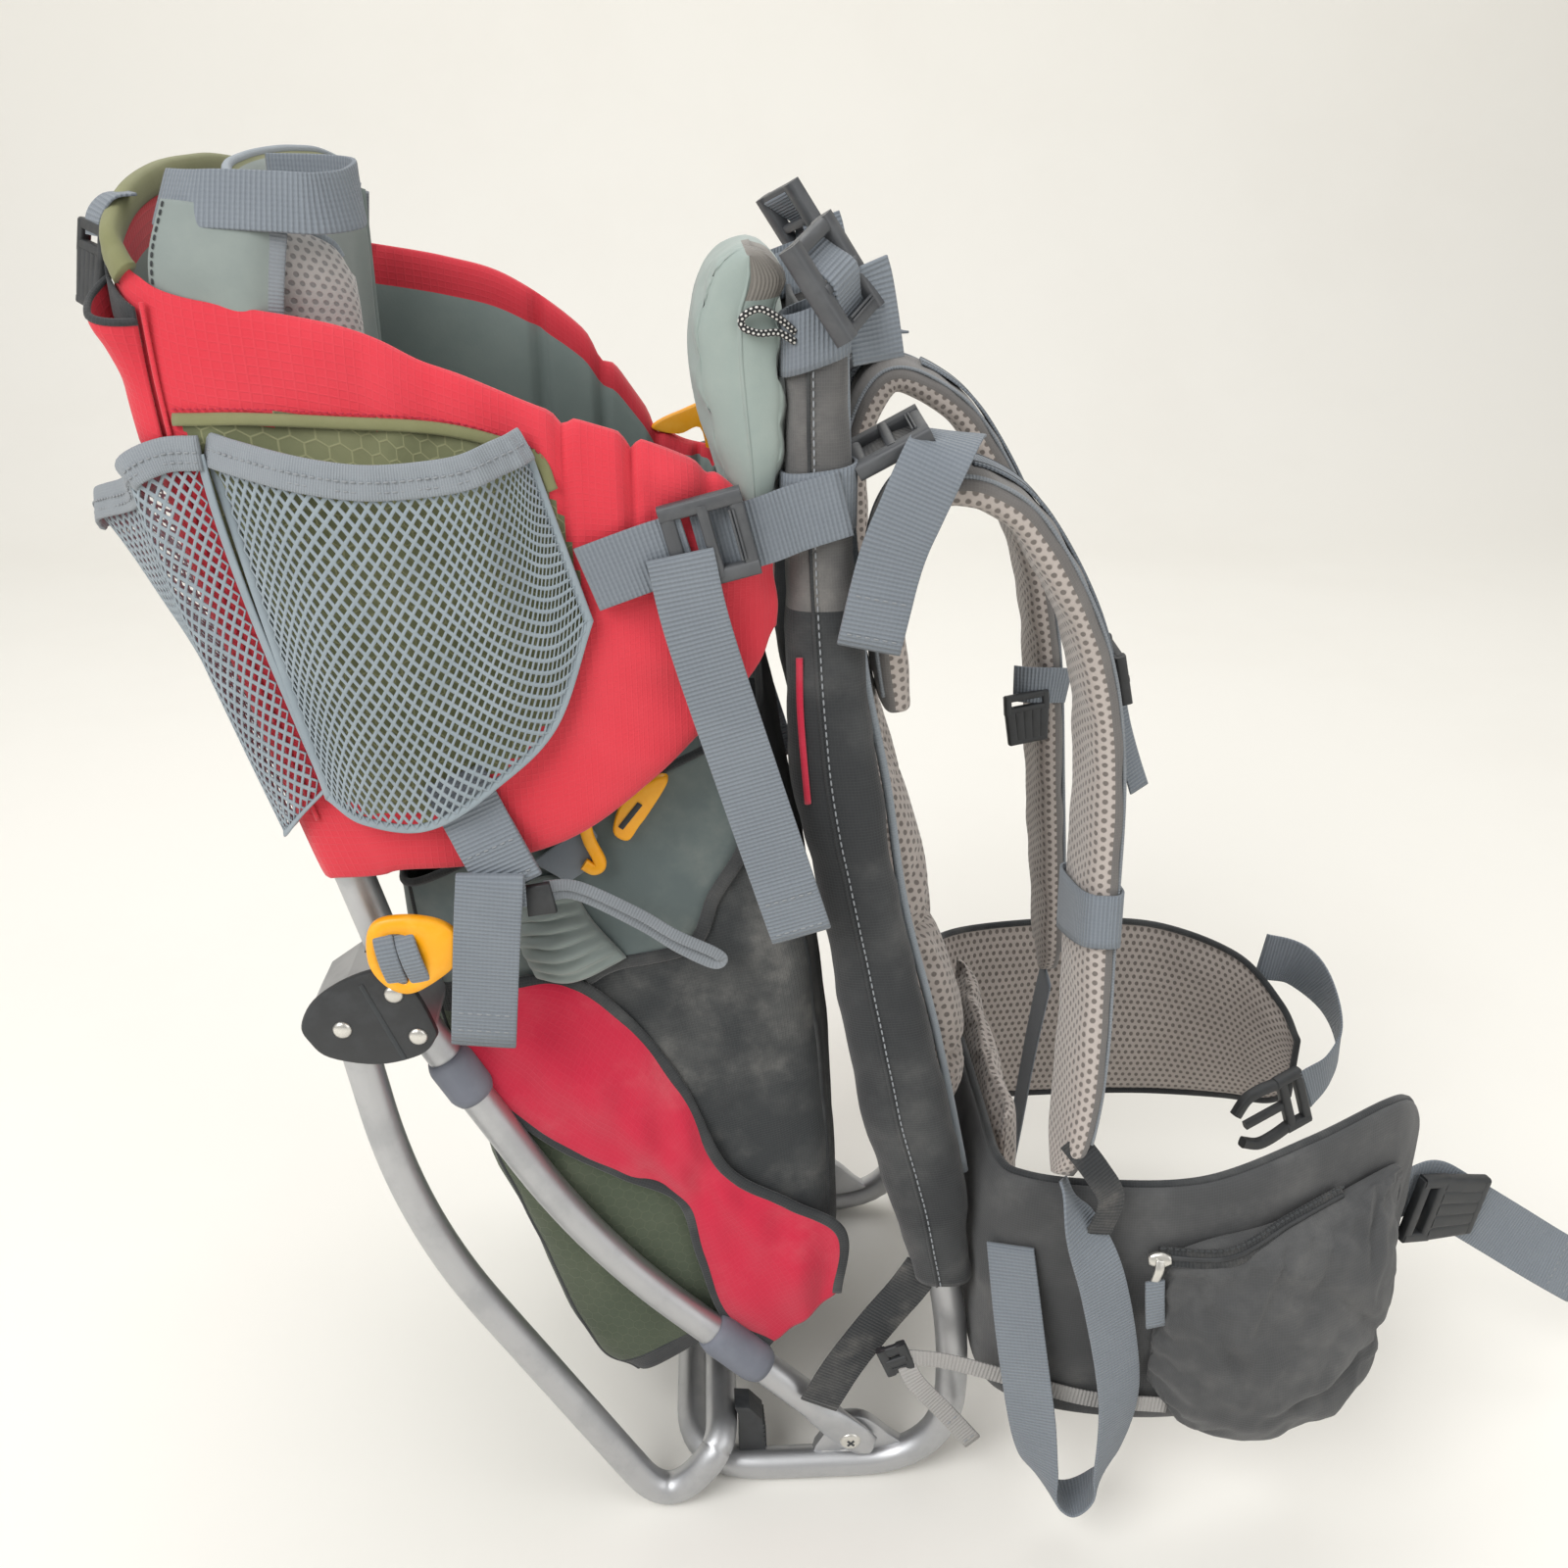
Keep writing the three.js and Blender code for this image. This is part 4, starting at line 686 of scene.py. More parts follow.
def set_light():
    """Soft studio light: a broad key from the upper left, a fill from the right, and a pale surround."""
    world = bpy.data.worlds.new("surround")
    bpy.context.scene.world = world
    world.use_nodes = True
    surround = world.node_tree.nodes["Background"]
    surround.inputs["Color"].default_value = (1.0, 0.985, 0.96, 1.0)
    surround.inputs["Strength"].default_value = 0.5
    for name, place, power, size in LIGHTS:
        data = bpy.data.lights.new(name, "AREA")
        data.energy = power
        data.size = size
        lamp = bpy.data.objects.new(name, data)
        lamp.location = place
        away = unit(np.array(place) - LIGHT_TARGET)
        lamp.rotation_euler = (math.acos(away[2]), 0, math.atan2(away[0], -away[1]))
        bpy.context.scene.collection.objects.link(lamp)


bpy.context.scene.view_settings.view_transform = "Standard"
set_camera()
set_light()
set_stage()


# Frame tubes


def both_halves(half):
    """A path on the right side and its mirror on the left, as one."""
    half = np.asarray(half, float)
    return np.concatenate([half, half[::-1] * [1, -1, 1]])


def side_path(corners, half_width):
    """Corners in the side view, put on the right side."""
    corners = np.asarray(corners, float)
    return joined(corners[:, 0], -float(half_width), corners[:, 1])


TUBE_FACE = (0.55, 0.6, 0.58)
TUBE_SIDES = 28


def tube(path):
    """A round tube along a path."""
    return bar(path, TUBE_FACE, TUBE_RADIUS, TUBE_RADIUS, TUBE_SIDES)


# Tubes in the side view, from corner to corner, with how far before its corner each bend starts.
UPRIGHT = [(70, 676), (71.5, 478), (158, 121), (158, BASE_HEIGHT), (0, BASE_HEIGHT)]
UPRIGHT_BENDS = [70, 50, 58, 45]
GUSSET = [(78, 13), (136, 13), (122, 30), (106, 45), (90, 45), (82, 34)]
GUSSET_OUTER, GUSSET_INNER = 123.6, 116
# The weld bead along a plate's foot: from and to x, side, height, sag at its end, radius.
BEAD_START, BEAD_END, BEAD_Y, BEAD_Z, BEAD_SAG, BEAD_RADIUS = 80, 142, 121.6, 17.2, 1.4, 3.0


def make_base():
    """The base loop and uprights as one tube, with a welded plate and a weld bead on each side."""
    corners = both_halves(side_path(UPRIGHT, FRAME_HALF_WIDTH))
    skins = [tube(bent(corners, UPRIGHT_BENDS + UPRIGHT_BENDS[::-1]))]
    for side in SIDES.values():
        skins.append(slab(rounded(GUSSET, 4), side * GUSSET_INNER, side * GUSSET_OUTER, 1.5))
        x = np.linspace(BEAD_START, BEAD_END, 120)
        sag = BEAD_SAG * ((x - BEAD_START) / (BEAD_END - BEAD_START)) ** 2
        bead = joined(x, side * BEAD_Y, BEAD_Z - sag)
        size = BEAD_RADIUS + 0.2 * rumple(bead, 3, 14)
        skins.append(bar(bead, (0, side, 0.6), size, size, 10, finish=1))
    piece("base_tube", skins, [ALUMINIUM, WELD], "frame_tube", ["base_frame"], crease=40)


STAY = [(74, 59), (-52, 186), (-136, 342), (-203, 607), (-208, 690)]
STAY_BENDS = [68, 25, 50, 24]
LUG_X, LUG_Z, LUG_Y = 98, 35, 127.7
STAY_TIP = [(109.5, -LUG_Y, 25), (107, -LUG_Y, 27), (98, -LUG_Y, 35.5), (88, -126.5, 45), (80, -124.5, 53)]


def screw(side):
    """A cross-headed screw: a low dome with two short dark bars across, painted shade in its cross slots.
    """
    top = side * (LUG_Y + 4.4)
    skins = [dome((LUG_X - 1, side * (LUG_Y + 3.4), LUG_Z), (0, side, 0), 6.4, 2.2, finish=1)]
    # The dark bars are painted shade in the cross slots, in the dark thread finish.
    for way in ((1, 0, 1), (1, 0, -1)):
        step = unit(np.array(way, float)) * 2.6
        slot_shade_line = np.array([(LUG_X - 1, top + side * 1.1, LUG_Z)]) + np.linspace(-1, 1, 4)[:, None] * step
        skins.append(bar(slot_shade_line, (0, side, 0), 0.75, 0.5, 8, finish=2))
    return skins


def make_stay():
    """The rear tube, whose ends are pressed flat against the plates and screwed on."""
    half = side_path(STAY, FRAME_HALF_WIDTH)
    run = bent(both_halves(half), STAY_BENDS + STAY_BENDS[::-1])
    tip = np.array(STAY_TIP)
    line = np.concatenate([tip, run, (tip * [1, -1, 1])[::-1]])
    far = line_length(line)
    near_end = np.minimum(far, far[-1] - far)
    flat = ramp(near_end, 46, 20)
    half_high = TUBE_RADIUS + 2.2 * flat - 7.5 * ramp(near_end, 5, 0)
    half_deep = TUBE_RADIUS - 5.8 * flat
    step = np.abs(np.gradient(line, axis=0))
    crossing = step[:, 1:2] > step[:, :1] + step[:, 2:]
    face = np.where(crossing, [0.0, 0.0, 1.0], [0.0, 1.0, 0.0])
    face = unit(face + 0.2 * np.array([0.3, 0, 0.4]))
    grid = strip_grid(line, face, half_high, half_deep, TUBE_SIDES)
    skins = [skin(grid, round_v=True, ends=True), *screw(-1), *screw(1)]
    # The third finish, dark thread, paints the shade in the screw slots.
    piece("stay_tube", skins, [ALUMINIUM, STEEL, DARK_THREAD], "frame_tube", ["seat_stay"], crease=50)


LEG = [(-166.3, 363), (-147, 222), (-15, -4.4), (19, 41.5)]
LEG_BENDS = [75, 34, 19]


def make_kickstand():
    """The swinging leg: one bent tube, with its bar low in front."""
    corners = both_halves(side_path(LEG, LEG_HALF_WIDTH))
    skins = [tube(bent(corners, LEG_BENDS + LEG_BENDS[::-1], 18))]
    piece("kickstand_tube", skins, [ALUMINIUM], "frame_tube", ["kickstand"], body="kickstand", crease=60)


# Clip and hinge plates in the side view, with the sides they reach from and to.
CLIP = [(29.2, 18.4), (46, 18.4), (44, 44), (36, 54), (27, 55), (29, 49), (29.2, 38)]
CLIP_OUTER, CLIP_INNER = 121, 105
HINGE = [(-185.5, 357), (-178, 371), (-161, 383), (-142, 388), (-128, 377), (-119, 354), (-120, 347),
         (-128, 338), (-150, 333), (-174, 338), (-183, 348)]
HINGE_OUTER, HINGE_INNER = 153.5, 148
RIVETS = [(-165, 355), (-137.5, 375), (-128, 350)]
SLEEVES = {"lower": [(44, 89.3), (14, 119.5)], "upper": [(-108.5, 291), (-122.5, 317)]}
SLEEVE_RADIUS = 12.6


def make_fittings(name, side):
    """Clip, hinge plate and sleeves of one side."""
    ribs = []
    for z in np.arange(22, 42, 3.4):
        x = 46 - 0.08 * (z - 18)
        ribs.append(bar([(x, side * CLIP_INNER, z), (x, side * CLIP_OUTER, z)], (1, 0, 0), 0.9, 0.8, 8))
    black_piece(f"clip_{name}", [slab(CLIP, side * CLIP_INNER, side * CLIP_OUTER, 1.2), *ribs],
                [f"kickstand_clip_{name}"], crease=40)
    outline = rounded(HINGE, 5)
    rim = slab(outline, side * HINGE_INNER, side * HINGE_OUTER, 2.2)
    heads = [dome((x, side * HINGE_OUTER, z), (0, side, 0), 4.8, 2.0, finish=1) for x, z in RIVETS]
    # A dark bar along the plate's groove: painted shade in the groove, in the dark thread finish.
    groove_shade = np.array([(-153, side * (HINGE_OUTER + 0.1), 381), (-136, side * (HINGE_OUTER + 0.1), 336.5)])
    heads.append(bar(even(groove_shade, 12), (0, side, 0), 1.3, 0.5, 8, finish=2))
    piece(f"hinge_{name}", [rim, *heads], [BLACK_PLASTIC, STEEL, DARK_THREAD], "plastic_black",
          [f"hinge_plate_{name}"], crease=40)
    for level, ends in SLEEVES.items():
        run = even(side_path(ends, 0) + [0, side * FRAME_HALF_WIDTH, 0], 12)
        size = np.array([10.6, 11.9, *[SLEEVE_RADIUS] * 8, 11.9, 10.6])
        piece(f"sleeve_{level}_{name}", [bar(run, TUBE_FACE, size, size, TUBE_SIDES)], [SLEEVE_PLASTIC],
              "plastic_grey", [f"stay_sleeve_{level}_{name}"])
    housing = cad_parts[f"hinge_body_{name}"].data.materials
    housing.clear()
    housing.append(ALUMINIUM)


make_base()
make_stay()
make_kickstand()
for side_name, side_sign in SIDES.items():
    make_fittings(side_name, side_sign)


# Cabin

STAY_LINE = np.array([(342, -136), (558, -190.6), (607, -200.7), (656, -206), (690, -208)], float)


def stay_x(z):
    """X of the rear tube's middle at a height."""
    return np.interp(z, STAY_LINE[:, 0], STAY_LINE[:, 1])


# Side stations: x, half width, low edge, rim, left rim, thickness.
# Rear stations start with the distance from the stay.
COLLAR_SIDE = [(53, 133, 556, 594, 578, 9), (44, 141, 535, 614, 580, 13), (26, 147, 516, 631, 582, 15),
               (-5, 150, 485, 645, 594, 15), (-45, 150, 455, 658, 646, 14), (-90, 149, 441, 677, 680, 13),
               (-130, 147, 438, 693, 693, 11)]
COLLAR_REAR = [(17, 143, 434, 704, 7), (-2, 139.5, 432, 713, 5), (-10, 134.5, 430, 722, 4),
               (-13.9, 125, 430, 731, 4), (-14.9, 95, 430, 743, 4), (-17.5, 45, 430, 749, 4)]
COLLAR_BACK = (-18, 0, 430, 750, 4)
COLLAR_ROWS = 7


def collar_table():
    """Outer points of the cabin wall by station and height, and its thickness by station."""
    columns, thick = [], []
    share = np.linspace(0, 1, COLLAR_ROWS)

    def put(x, y, low, high, t, from_stay):
        z = low + (high - low) * share
        columns.append(joined(stay_x(z) + x if from_stay else x, y, z))
        thick.append(t)

    for x, y, low, high, _, t in COLLAR_SIDE:
        put(x, -y, low, high, t, False)
    for dx, y, low, high, t in COLLAR_REAR:
        put(dx, -y, low, high, t, True)
    put(*COLLAR_BACK, True)
    for dx, y, low, high, t in COLLAR_REAR[::-1]:
        put(dx, y, low, high, t, True)
    for x, y, low, _, high, t in COLLAR_SIDE[::-1]:
        put(x, y, low, high, t, False)
    return np.array(columns), np.array(thick, float)


COLLAR, COLLAR_THICK = collar_table()
LAST_COLLAR = len(COLLAR) - 1
CABIN_MIDDLE = (-80, 0, 570)
TUNNEL_SEAM = 7.75
# Rim tucks by station, with their width in stations and depth.
TUCKS = [(3.86, 0.07, 6), (3.14, 0.07, 8), (2.1, 0.12, 4), (1.2, 0.12, 4), (5.2, 0.3, 2), (22.1, 0.12, 9),
         (22.9, 0.1, 8), (24.2, 0.12, 6)]
LINING_SEAMS = [(21.3, 0.08), (22.1, 0.08), (22.9, 0.08), (23.7, 0.08), (3.0, 0.1), (4.2, 0.1)]
# Outline of the olive cloth behind a side pocket, in the side view.
POCKET_BACK = [(-199, 655), (-170, 655.5), (-132, 654), (-93, 652), (-69, 647), (-50, 639), (-40, 610),
               (-32, 567), (-50, 517), (-80, 488), (-112, 467), (-140, 470), (-160, 482)]


def inside(x, z, outline):
    """Whether places in the side view lie within an outline: edges crossed to one side are counted."""
    crossed = np.zeros(x.shape, bool)
    ring = np.asarray(outline, float)
    for (x0, z0), (x1, z1) in zip(ring, np.roll(ring, -1, 0)):
        spans = (z0 > z) != (z1 > z)
        crossed ^= spans & (x < (x1 - x0) * (z - z0) / (z1 - z0 + 1e-12) + x0)
    return crossed


def make_collar():
    """The padded cabin wall: outer skin up, round the rim and down the lining.
    Its thickness follows a superellipse over its height; tucks draw the rim down and in."""
    count_u, count_v = 390, 44
    place = np.linspace(0, LAST_COLLAR, count_u)
    v = eased(count_v)
    outer = np.swapaxes(along_rows(np.swapaxes(along_rows(COLLAR, place), 0, 1), v * (COLLAR_ROWS - 1)), 0,
                        1)
    inward = facing(grid_normals(outer), outer, CABIN_MIDDLE)
    thick = along_rows(COLLAR_THICK, place)[:, None] * (1 + 0.35 * ramp(place, 20.5, 23)[:, None])
    ends = np.minimum(place, LAST_COLLAR - place)[:, None]
    thick = thick * np.sqrt(np.clip(1 - (1 - np.minimum(ends / 0.5, 1)) ** 2, 0.02, 1))
    full = (1 - np.abs(2 * v - 1) ** 9)[None] ** 0.5
    plump = ramp(thick, 6, 12)
    rim = ramp(v, 0.5, 1.0)[None]
    pinch = sum(depth * bump_at(place, at, width) for at, width, depth in TUCKS)[:, None]
    seam = sum(bump_at(place, at, width) for at, width in LINING_SEAMS)[:, None]
    front = ramp(outer[..., 0], -60, 30)
    loose = 1.2 * rumple(outer, 11, 80) + 1.0 * rumple(outer * [1, 1, 0.55], 12, 24) * rim * plump
    loose += front * 2.2 * rumple(outer * [1, 1, 1.9], 13, 44)
    loose += plump * rim * 2.4 * np.abs(np.sin(place * TURN / 1.45))[:, None] * (1 - np.clip(pinch / 6, 0,
                                                                                             1))
    middle = outer + inward * (thick / 2 + 0.45 * pinch * rim)[..., None]
    middle[..., 2] -= 0.8 * pinch * rim**2
    out_skin = middle - inward * (full * (thick / 2 + loose - 1.0 * plump))[..., None]
    quilt = 1 - 0.8 * seam * ramp(v, 0, 0.2)[None]
    in_skin = middle + inward * (full * (thick / 2 * quilt + 2.5 * plump * quilt))[..., None]
    grid = np.concatenate([out_skin, in_skin[:, -2:0:-1]], axis=1)
    finish = np.zeros((count_u - 1, grid.shape[1]), int)
    finish[:, count_v + 7:] = 1
    spot = (out_skin[:-1, :-1] + out_skin[1:, 1:]) / 2
    behind = inside(spot[..., 0], spot[..., 2], POCKET_BACK) & (np.abs(spot[..., 1]) > 126)
    finish[:, :count_v - 1][behind] = 2
    made = piece("cabin_collar", [skin(grid, round_v=True, ends=True, finish=finish)], [RED, LINING, OLIVE],
                 "fabric_red", ["cabin_wall"])
    for name, side in SIDES.items():
        edge = smooth(POCKET_BACK[:6] + [(-44, 625)], 60)
        u = np.interp(edge[:, 0], STATION_X, STATION_U)
        v_edge = collar_share(u, edge[:, 1])
        band = bar(collar_point(station_on(u, side), v_edge, 1.2), (0, side, 0.3), 2.8, 1.0, 10)
        sewn = collar_point(station_on(u, side), v_edge + 0.016, 1.2)
        sewn = stitches(sewn, (0, side, 0.2), 3.2, 2.2, 0.35, finish=1)
        piece(f"panel_edge_{name}", [band, sewn], [OLIVE_PLAIN, RED_THREAD], "fabric_grey")
    rim_u = np.linspace(8.4, LAST_COLLAR - 8.4, 120)
    hood = collar_point(rim_u, 0.995, -1.5)
    piece("hood_piping", [bar(hood - [0, 0, 2], (0, 0, 1), 4.2, 6.5, 14, 2.6)], [OLIVE_PLAIN],
          "fabric_grey")
    seam_v = np.linspace(0.12, 0.97, 60)
    for name, side in SIDES.items():
        down = collar_point(station_on(TUNNEL_SEAM, side), seam_v, 1.4)
        sewn = stitches(down, (-0.4, side, 0), 3.6, 2.6, 0.5)
        cord = bar(down, (-0.3, side, 0), 1.2, 0.7, 8, finish=1)
        piece(f"tunnel_seam_{name}", [sewn, cord], [DARK_THREAD, RED], "fabric_red")


def station_on(u, side):
    """A station of the right side, or the one opposite it on the left."""
    return u if side < 0 else LAST_COLLAR - u


def collar_point(u, v, out):
    """A point on the cabin wall's outer side at a station and a share of its height, moved outward."""
    u, v = np.broadcast_arrays(np.asarray(u, float), np.asarray(v, float))
    flat_u, flat_v = u.ravel(), v.ravel() * (COLLAR_ROWS - 1)
    here = on_patch(COLLAR, flat_u, flat_v)
    step = 0.05
    ahead = on_patch(COLLAR, np.clip(flat_u + step, 0, LAST_COLLAR), flat_v)
    behind = on_patch(COLLAR, np.clip(flat_u - step, 0, LAST_COLLAR), flat_v)
    slope_v = on_patch(COLLAR, flat_u, flat_v + step) - on_patch(COLLAR, flat_u, flat_v - step)
    normal = unit(np.cross(ahead - behind, slope_v))
    normal *= np.sign((normal * (here - np.array(CABIN_MIDDLE))).sum(-1, keepdims=True))
    return (here + normal * np.broadcast_to(out, u.shape).ravel()[:, None]).reshape(*u.shape, 3)


STATION_X = [-222, -218, -208, -189, -130, -90, -45, -5, 26, 44, 53]
STATION_U = [10, 9, 8, 7, 6, 5, 4, 3, 2, 1, 0]


def collar_share(u, z):
    """The share of the wall's height at a station that has a given height."""
    low = along_rows(COLLAR[:, 0, 2], np.asarray(u, float))
    high = along_rows(COLLAR[:, -1, 2], np.asarray(u, float))
    return (z - low) / (high - low)


def make_tunnel(name, side):
    """The red sleeve down the rear corner, open at its top: a bulged strip over the wall, with a black
    sheet in its mouth as painted shade, and a bound lip."""
    station = np.linspace(8.0, 10.0, 26)
    high = np.linspace(0.73, 0.935, 30)
    u, v = np.meshgrid(station, high, indexing="ij")
    bulge = np.sin(np.pi * (u - 8.0) / 2.0)
    uneven = rumple(joined(u * 20, v * 200, 0), 14, 22)
    out = 2.0 + bulge * (2 + 10 * ramp(v, 0.8, 0.935)) + 0.5 * uneven
    grid = collar_point(station_on(u, side), v, out)
    grid[..., 2] -= 5 * bulge * ramp(v, 0.87, 0.935)
    # A black sheet on the wall just inside the sleeve's mouth: painted shade in the opening.
    deep = collar_point(station_on(u[:, -9:], side), v[:, -9:] + 0.02, 2.2)
    made = piece(f"tunnel_{name}", [skin(grid), skin(deep, finish=1)], [RED, BLACK], "fabric_red", wall=1.2,
                 outward=False)
    lip = bar(grid[:, -1], (-0.5, side, 0.5), 1.7, 1.3, 10)
    piece(f"tunnel_lip_{name}", [lip], [BLACK], "fabric_black")


def closing(t, power):
    """Share of full thickness across a cushion: a superellipse, nearly 0 at both edges."""
    return np.sqrt(np.clip(1 - np.abs(2 * t - 1) ** power, 0.002, 1))


def eased(count):
    """Places from 0 to 1, closer together near both ends."""
    return (1 - np.cos(np.pi * np.linspace(0, 1, count))) / 2


def facing(normals, points, target):
    """Normals turned to look toward a point."""
    return normals * np.sign((normals * (np.asarray(target, float) - points)).sum(-1, keepdims=True))


def cushion(middle, normal, front, back, power_u=6, power_v=6, back_finish=1, wrap=0):
    """A closed cushion about a middle surface: its two faces stand off by a superellipse of both ways.
    The finish changes at the edge, or a number of rows past it onto the back."""
    count_u, count_v = middle.shape[:2]
    share = closing(eased(count_u), power_u)[:, None] * closing(eased(count_v), power_v)[None]
    near = middle + normal * (front * share)[..., None]
    far = middle - normal * (back * share)[..., None]
    grid = np.concatenate([near, far[:, -2:0:-1]], 1)
    finish = np.zeros((count_u - 1, grid.shape[1]), int)
    finish[:, count_v - 1 + wrap:grid.shape[1] - wrap] = back_finish
    return skin(grid, round_v=True, ends=True, finish=finish)


def wall_grid(stations, count_u, count_v):
    """A surface through upright stations, each a place with a low and a high edge."""
    rows = np.array([[(x, y, low), (x, y, high)] for x, y, low, high in stations], float)
    edges = along_rows(rows, eased(count_u) * (len(rows) - 1))
    v = eased(count_v)[None, :, None]
    return edges[:, :1] * (1 - v) + edges[:, 1:] * v


def rim_cord(grid, radius, finish=0):
    """A round binding along the whole edge of a grid of points."""
    line = np.concatenate([grid[:, 0], grid[-1, 1:], grid[-2::-1, -1], grid[0, -2:0:-1]])
    return closed_bar(line, radius, finish)


def closed_bar(line, radius, finish=0):
    """A round bar along a closed line of points."""
    way = unit(np.roll(line, -1, 0) - np.roll(line, 1, 0))
    side = unit(np.cross(way, [0.31, 0.52, 0.79]))
    up = np.cross(way, side)
    turn = np.linspace(0, TURN, 10, endpoint=False)
    grid = line[:, None] + radius * (np.cos(turn)[:, None] * side[:, None]
                                     + np.sin(turn)[:, None] * up[:, None])
    return skin(grid, round_u=True, round_v=True, finish=finish)


# Half of the headrest from its side to its middle: x, half width, low edge, top edge.
HEADREST = [(-122, 104, 640, 707), (-130, 111, 626, 720), (-145, 119, 616, 728), (-162, 124, 612, 732),
            (-180, 118, 612, 741), (-193, 92, 612, 750), (-197.6, 50, 612, 753)]
# Rows of the cloth panel beside the headrest, from the red rim to the handle: x, half width, z.
SIDE_PANEL = [[(-205, 136, 702), (-203, 134.5, 721), (-197, 128, 741)],
              [(-186, 138, 693), (-184, 136.5, 716), (-181, 129.5, 739)],
              [(-168, 139, 685), (-166, 137.5, 708), (-162, 130.5, 734)],
              [(-157, 137, 680), (-155, 135.5, 703), (-152, 128.5, 729)]]
LEFT_WING_END = (-166, 121, 616, 731)
LEFT_PANEL_REACH = 0.6
HEADREST_BACK = (-198.1, 0, 612, 754)
HEADREST_THICK = 26


def make_headrest():
    """The headrest: a cushion round the back of the cabin, its wings in puffy mesh, its rim piped."""
    right = [(x, -y, low, high) for x, y, low, high in HEADREST]
    left = [(x, y, low, high) for x, y, low, high in [*HEADREST[:3:-1], LEFT_WING_END]]
    outer = wall_grid([*right, HEADREST_BACK, *left], 150, 30)
    inward = facing(grid_normals(outer), outer, (-60, 0, 680))
    wing = ramp(outer[..., 0], -166, -148)
    middle = outer + inward * (HEADREST_THICK * 0.5 - 1.5 * wing)[..., None]
    puff = 1 + 0.1 * rumple(outer, 21, 44) + 0.35 * wing
    body = cushion(middle, inward, HEADREST_THICK * 0.5 * puff, HEADREST_THICK * (0.44 + 0.22 * wing), 4, 4,
                   1, -2)
    faces = body["finish"].reshape(149, -1)
    side_panel = (np.abs(outer[:-1, 0, 1]) > 96)[:, None] & (faces == 1)
    faces[side_panel] = 0
    faces[outer[:-1, 0, 0] > -161] = 2
    body["finish"] = faces.ravel()
    edge = middle[:, -1]
    column = int(np.argmin(np.abs(outer[:75, 0, 0] + 161)))
    band = middle[column] - inward[column] * (HEADREST_THICK * 0.5 * closing(eased(30), 4))[:, None]
    skins = [body, bar(edge[22:-8] + [0, 0, 0.6], (0, 0, 1), 2.2, 2.0, 10, finish=3),
             bar(band[4:-1], -inward[column][4:-1], 5.5, 1.4, 12, 4.0, finish=4)]
    made = piece("headrest_pad", skins, [PANEL_GREY, OLIVE_PLAIN, WING_MESH, PIPING, BINDING],
                 "fabric_grey", ["headrest"])


def make_side_panel(name, side):
    """The grey cloth beside the headrest: a gently swollen sheet from the rim to the handle, edged by a
    band in front."""
    table = np.array(SIDE_PANEL, float)
    if side > 0:
        table[..., 0] = table[:1, :, 0] + (table[..., 0] - table[:1, :, 0]) * LEFT_PANEL_REACH
    grid = smooth_grid(table * [1, side, 1], 44, 34)
    u, v = np.meshgrid(np.linspace(0, 1, 44), np.linspace(0, 1, 34), indexing="ij")
    swell = np.sin(np.pi * u) * np.sin(np.pi * v)
    grid[..., 1] += side * (3.0 * swell + 1.0 * rumple(grid * [1.6, 1, 0.7], 22, 30) * swell**0.5)
    made = piece(f"side_panel_{name}", [skin(grid)], [PANEL_GREY], "fabric_grey", wall=1.6, outward=False)
    metres(grid[:, 17])
    band = bar(grid[-2], (0.2, side, 0), 5.0, 1.3, 12, 4.0)
    sewn = stitches(grid[1] + [0, side * 1.2, 0], (0, side, 0), 3.4, 2.4, 0.4, finish=1)
    made = piece(f"side_panel_band_{name}", [band, sewn], [BINDING, DARK_THREAD], "webbing_grey")


# The grab loop on the headrest, as rows of place and face.
HANDLE = [(-201, -116, 741, -0.6, -0.8, 0.5), (-186, -127, 741, -0.3, -1, 0.5),
          (-172, -130, 741, -0.1, -1, 0.4), (-150, -131, 740, 0, -1, 0.3), (-134, -128, 739, 0.3, -1, 0.2),
          (-123, -114, 740, 1, -0.4, 0.2), (-125, -96, 743, 1, 0.5, 0), (-142, -80, 744, 0.5, 1, 0),
          (-168.7, -66, 744, 0.3, 1, 0)]


def webbing(name, rows, width, nodes=(), finish=None, thick=WEB_THICK, sewn=False,
            slot="webbing_grey"):
    """A flat woven strap along rows of place and face, thicker where its end is folded back and sewn."""
    rows = np.asarray(rows, float)
    length = line_length(rows[:, :3])[-1]
    fine = smooth(rows, max(int(length / 3.5), 16))
    line, face = fine[:, :3], unit(fine[:, 3:])
    left = line_length(line)
    left = left[-1] - left
    half = np.full(len(line), thick / 2)
    skins = []
    if sewn:
        half += 0.55 * thick * ramp(left, 30, 27) * ramp(left, -4, 1)
        _, normal, across = frames_of(line, face)
        for at in (6, 22):
            k = int(np.argmin(np.abs(left - at)))
            row = line[k] + np.linspace(-0.42, 0.42, 24)[:, None] * width * across[k]
            for way_out in (1, -1):
                skins.append(stitches(row + normal[k] * way_out * half[k], normal[k], finish=1))
    skins.insert(0, bar(line, face, width / 2, half, 20, 7.0))
    made = piece(name, skins, [finish or WEBBING, THREAD], slot, nodes)


CHILD_SEAT = [(-181, 609.6), (-160, 525), (-135, 460), (-102, 420), (-50, 404), (15, 408)]


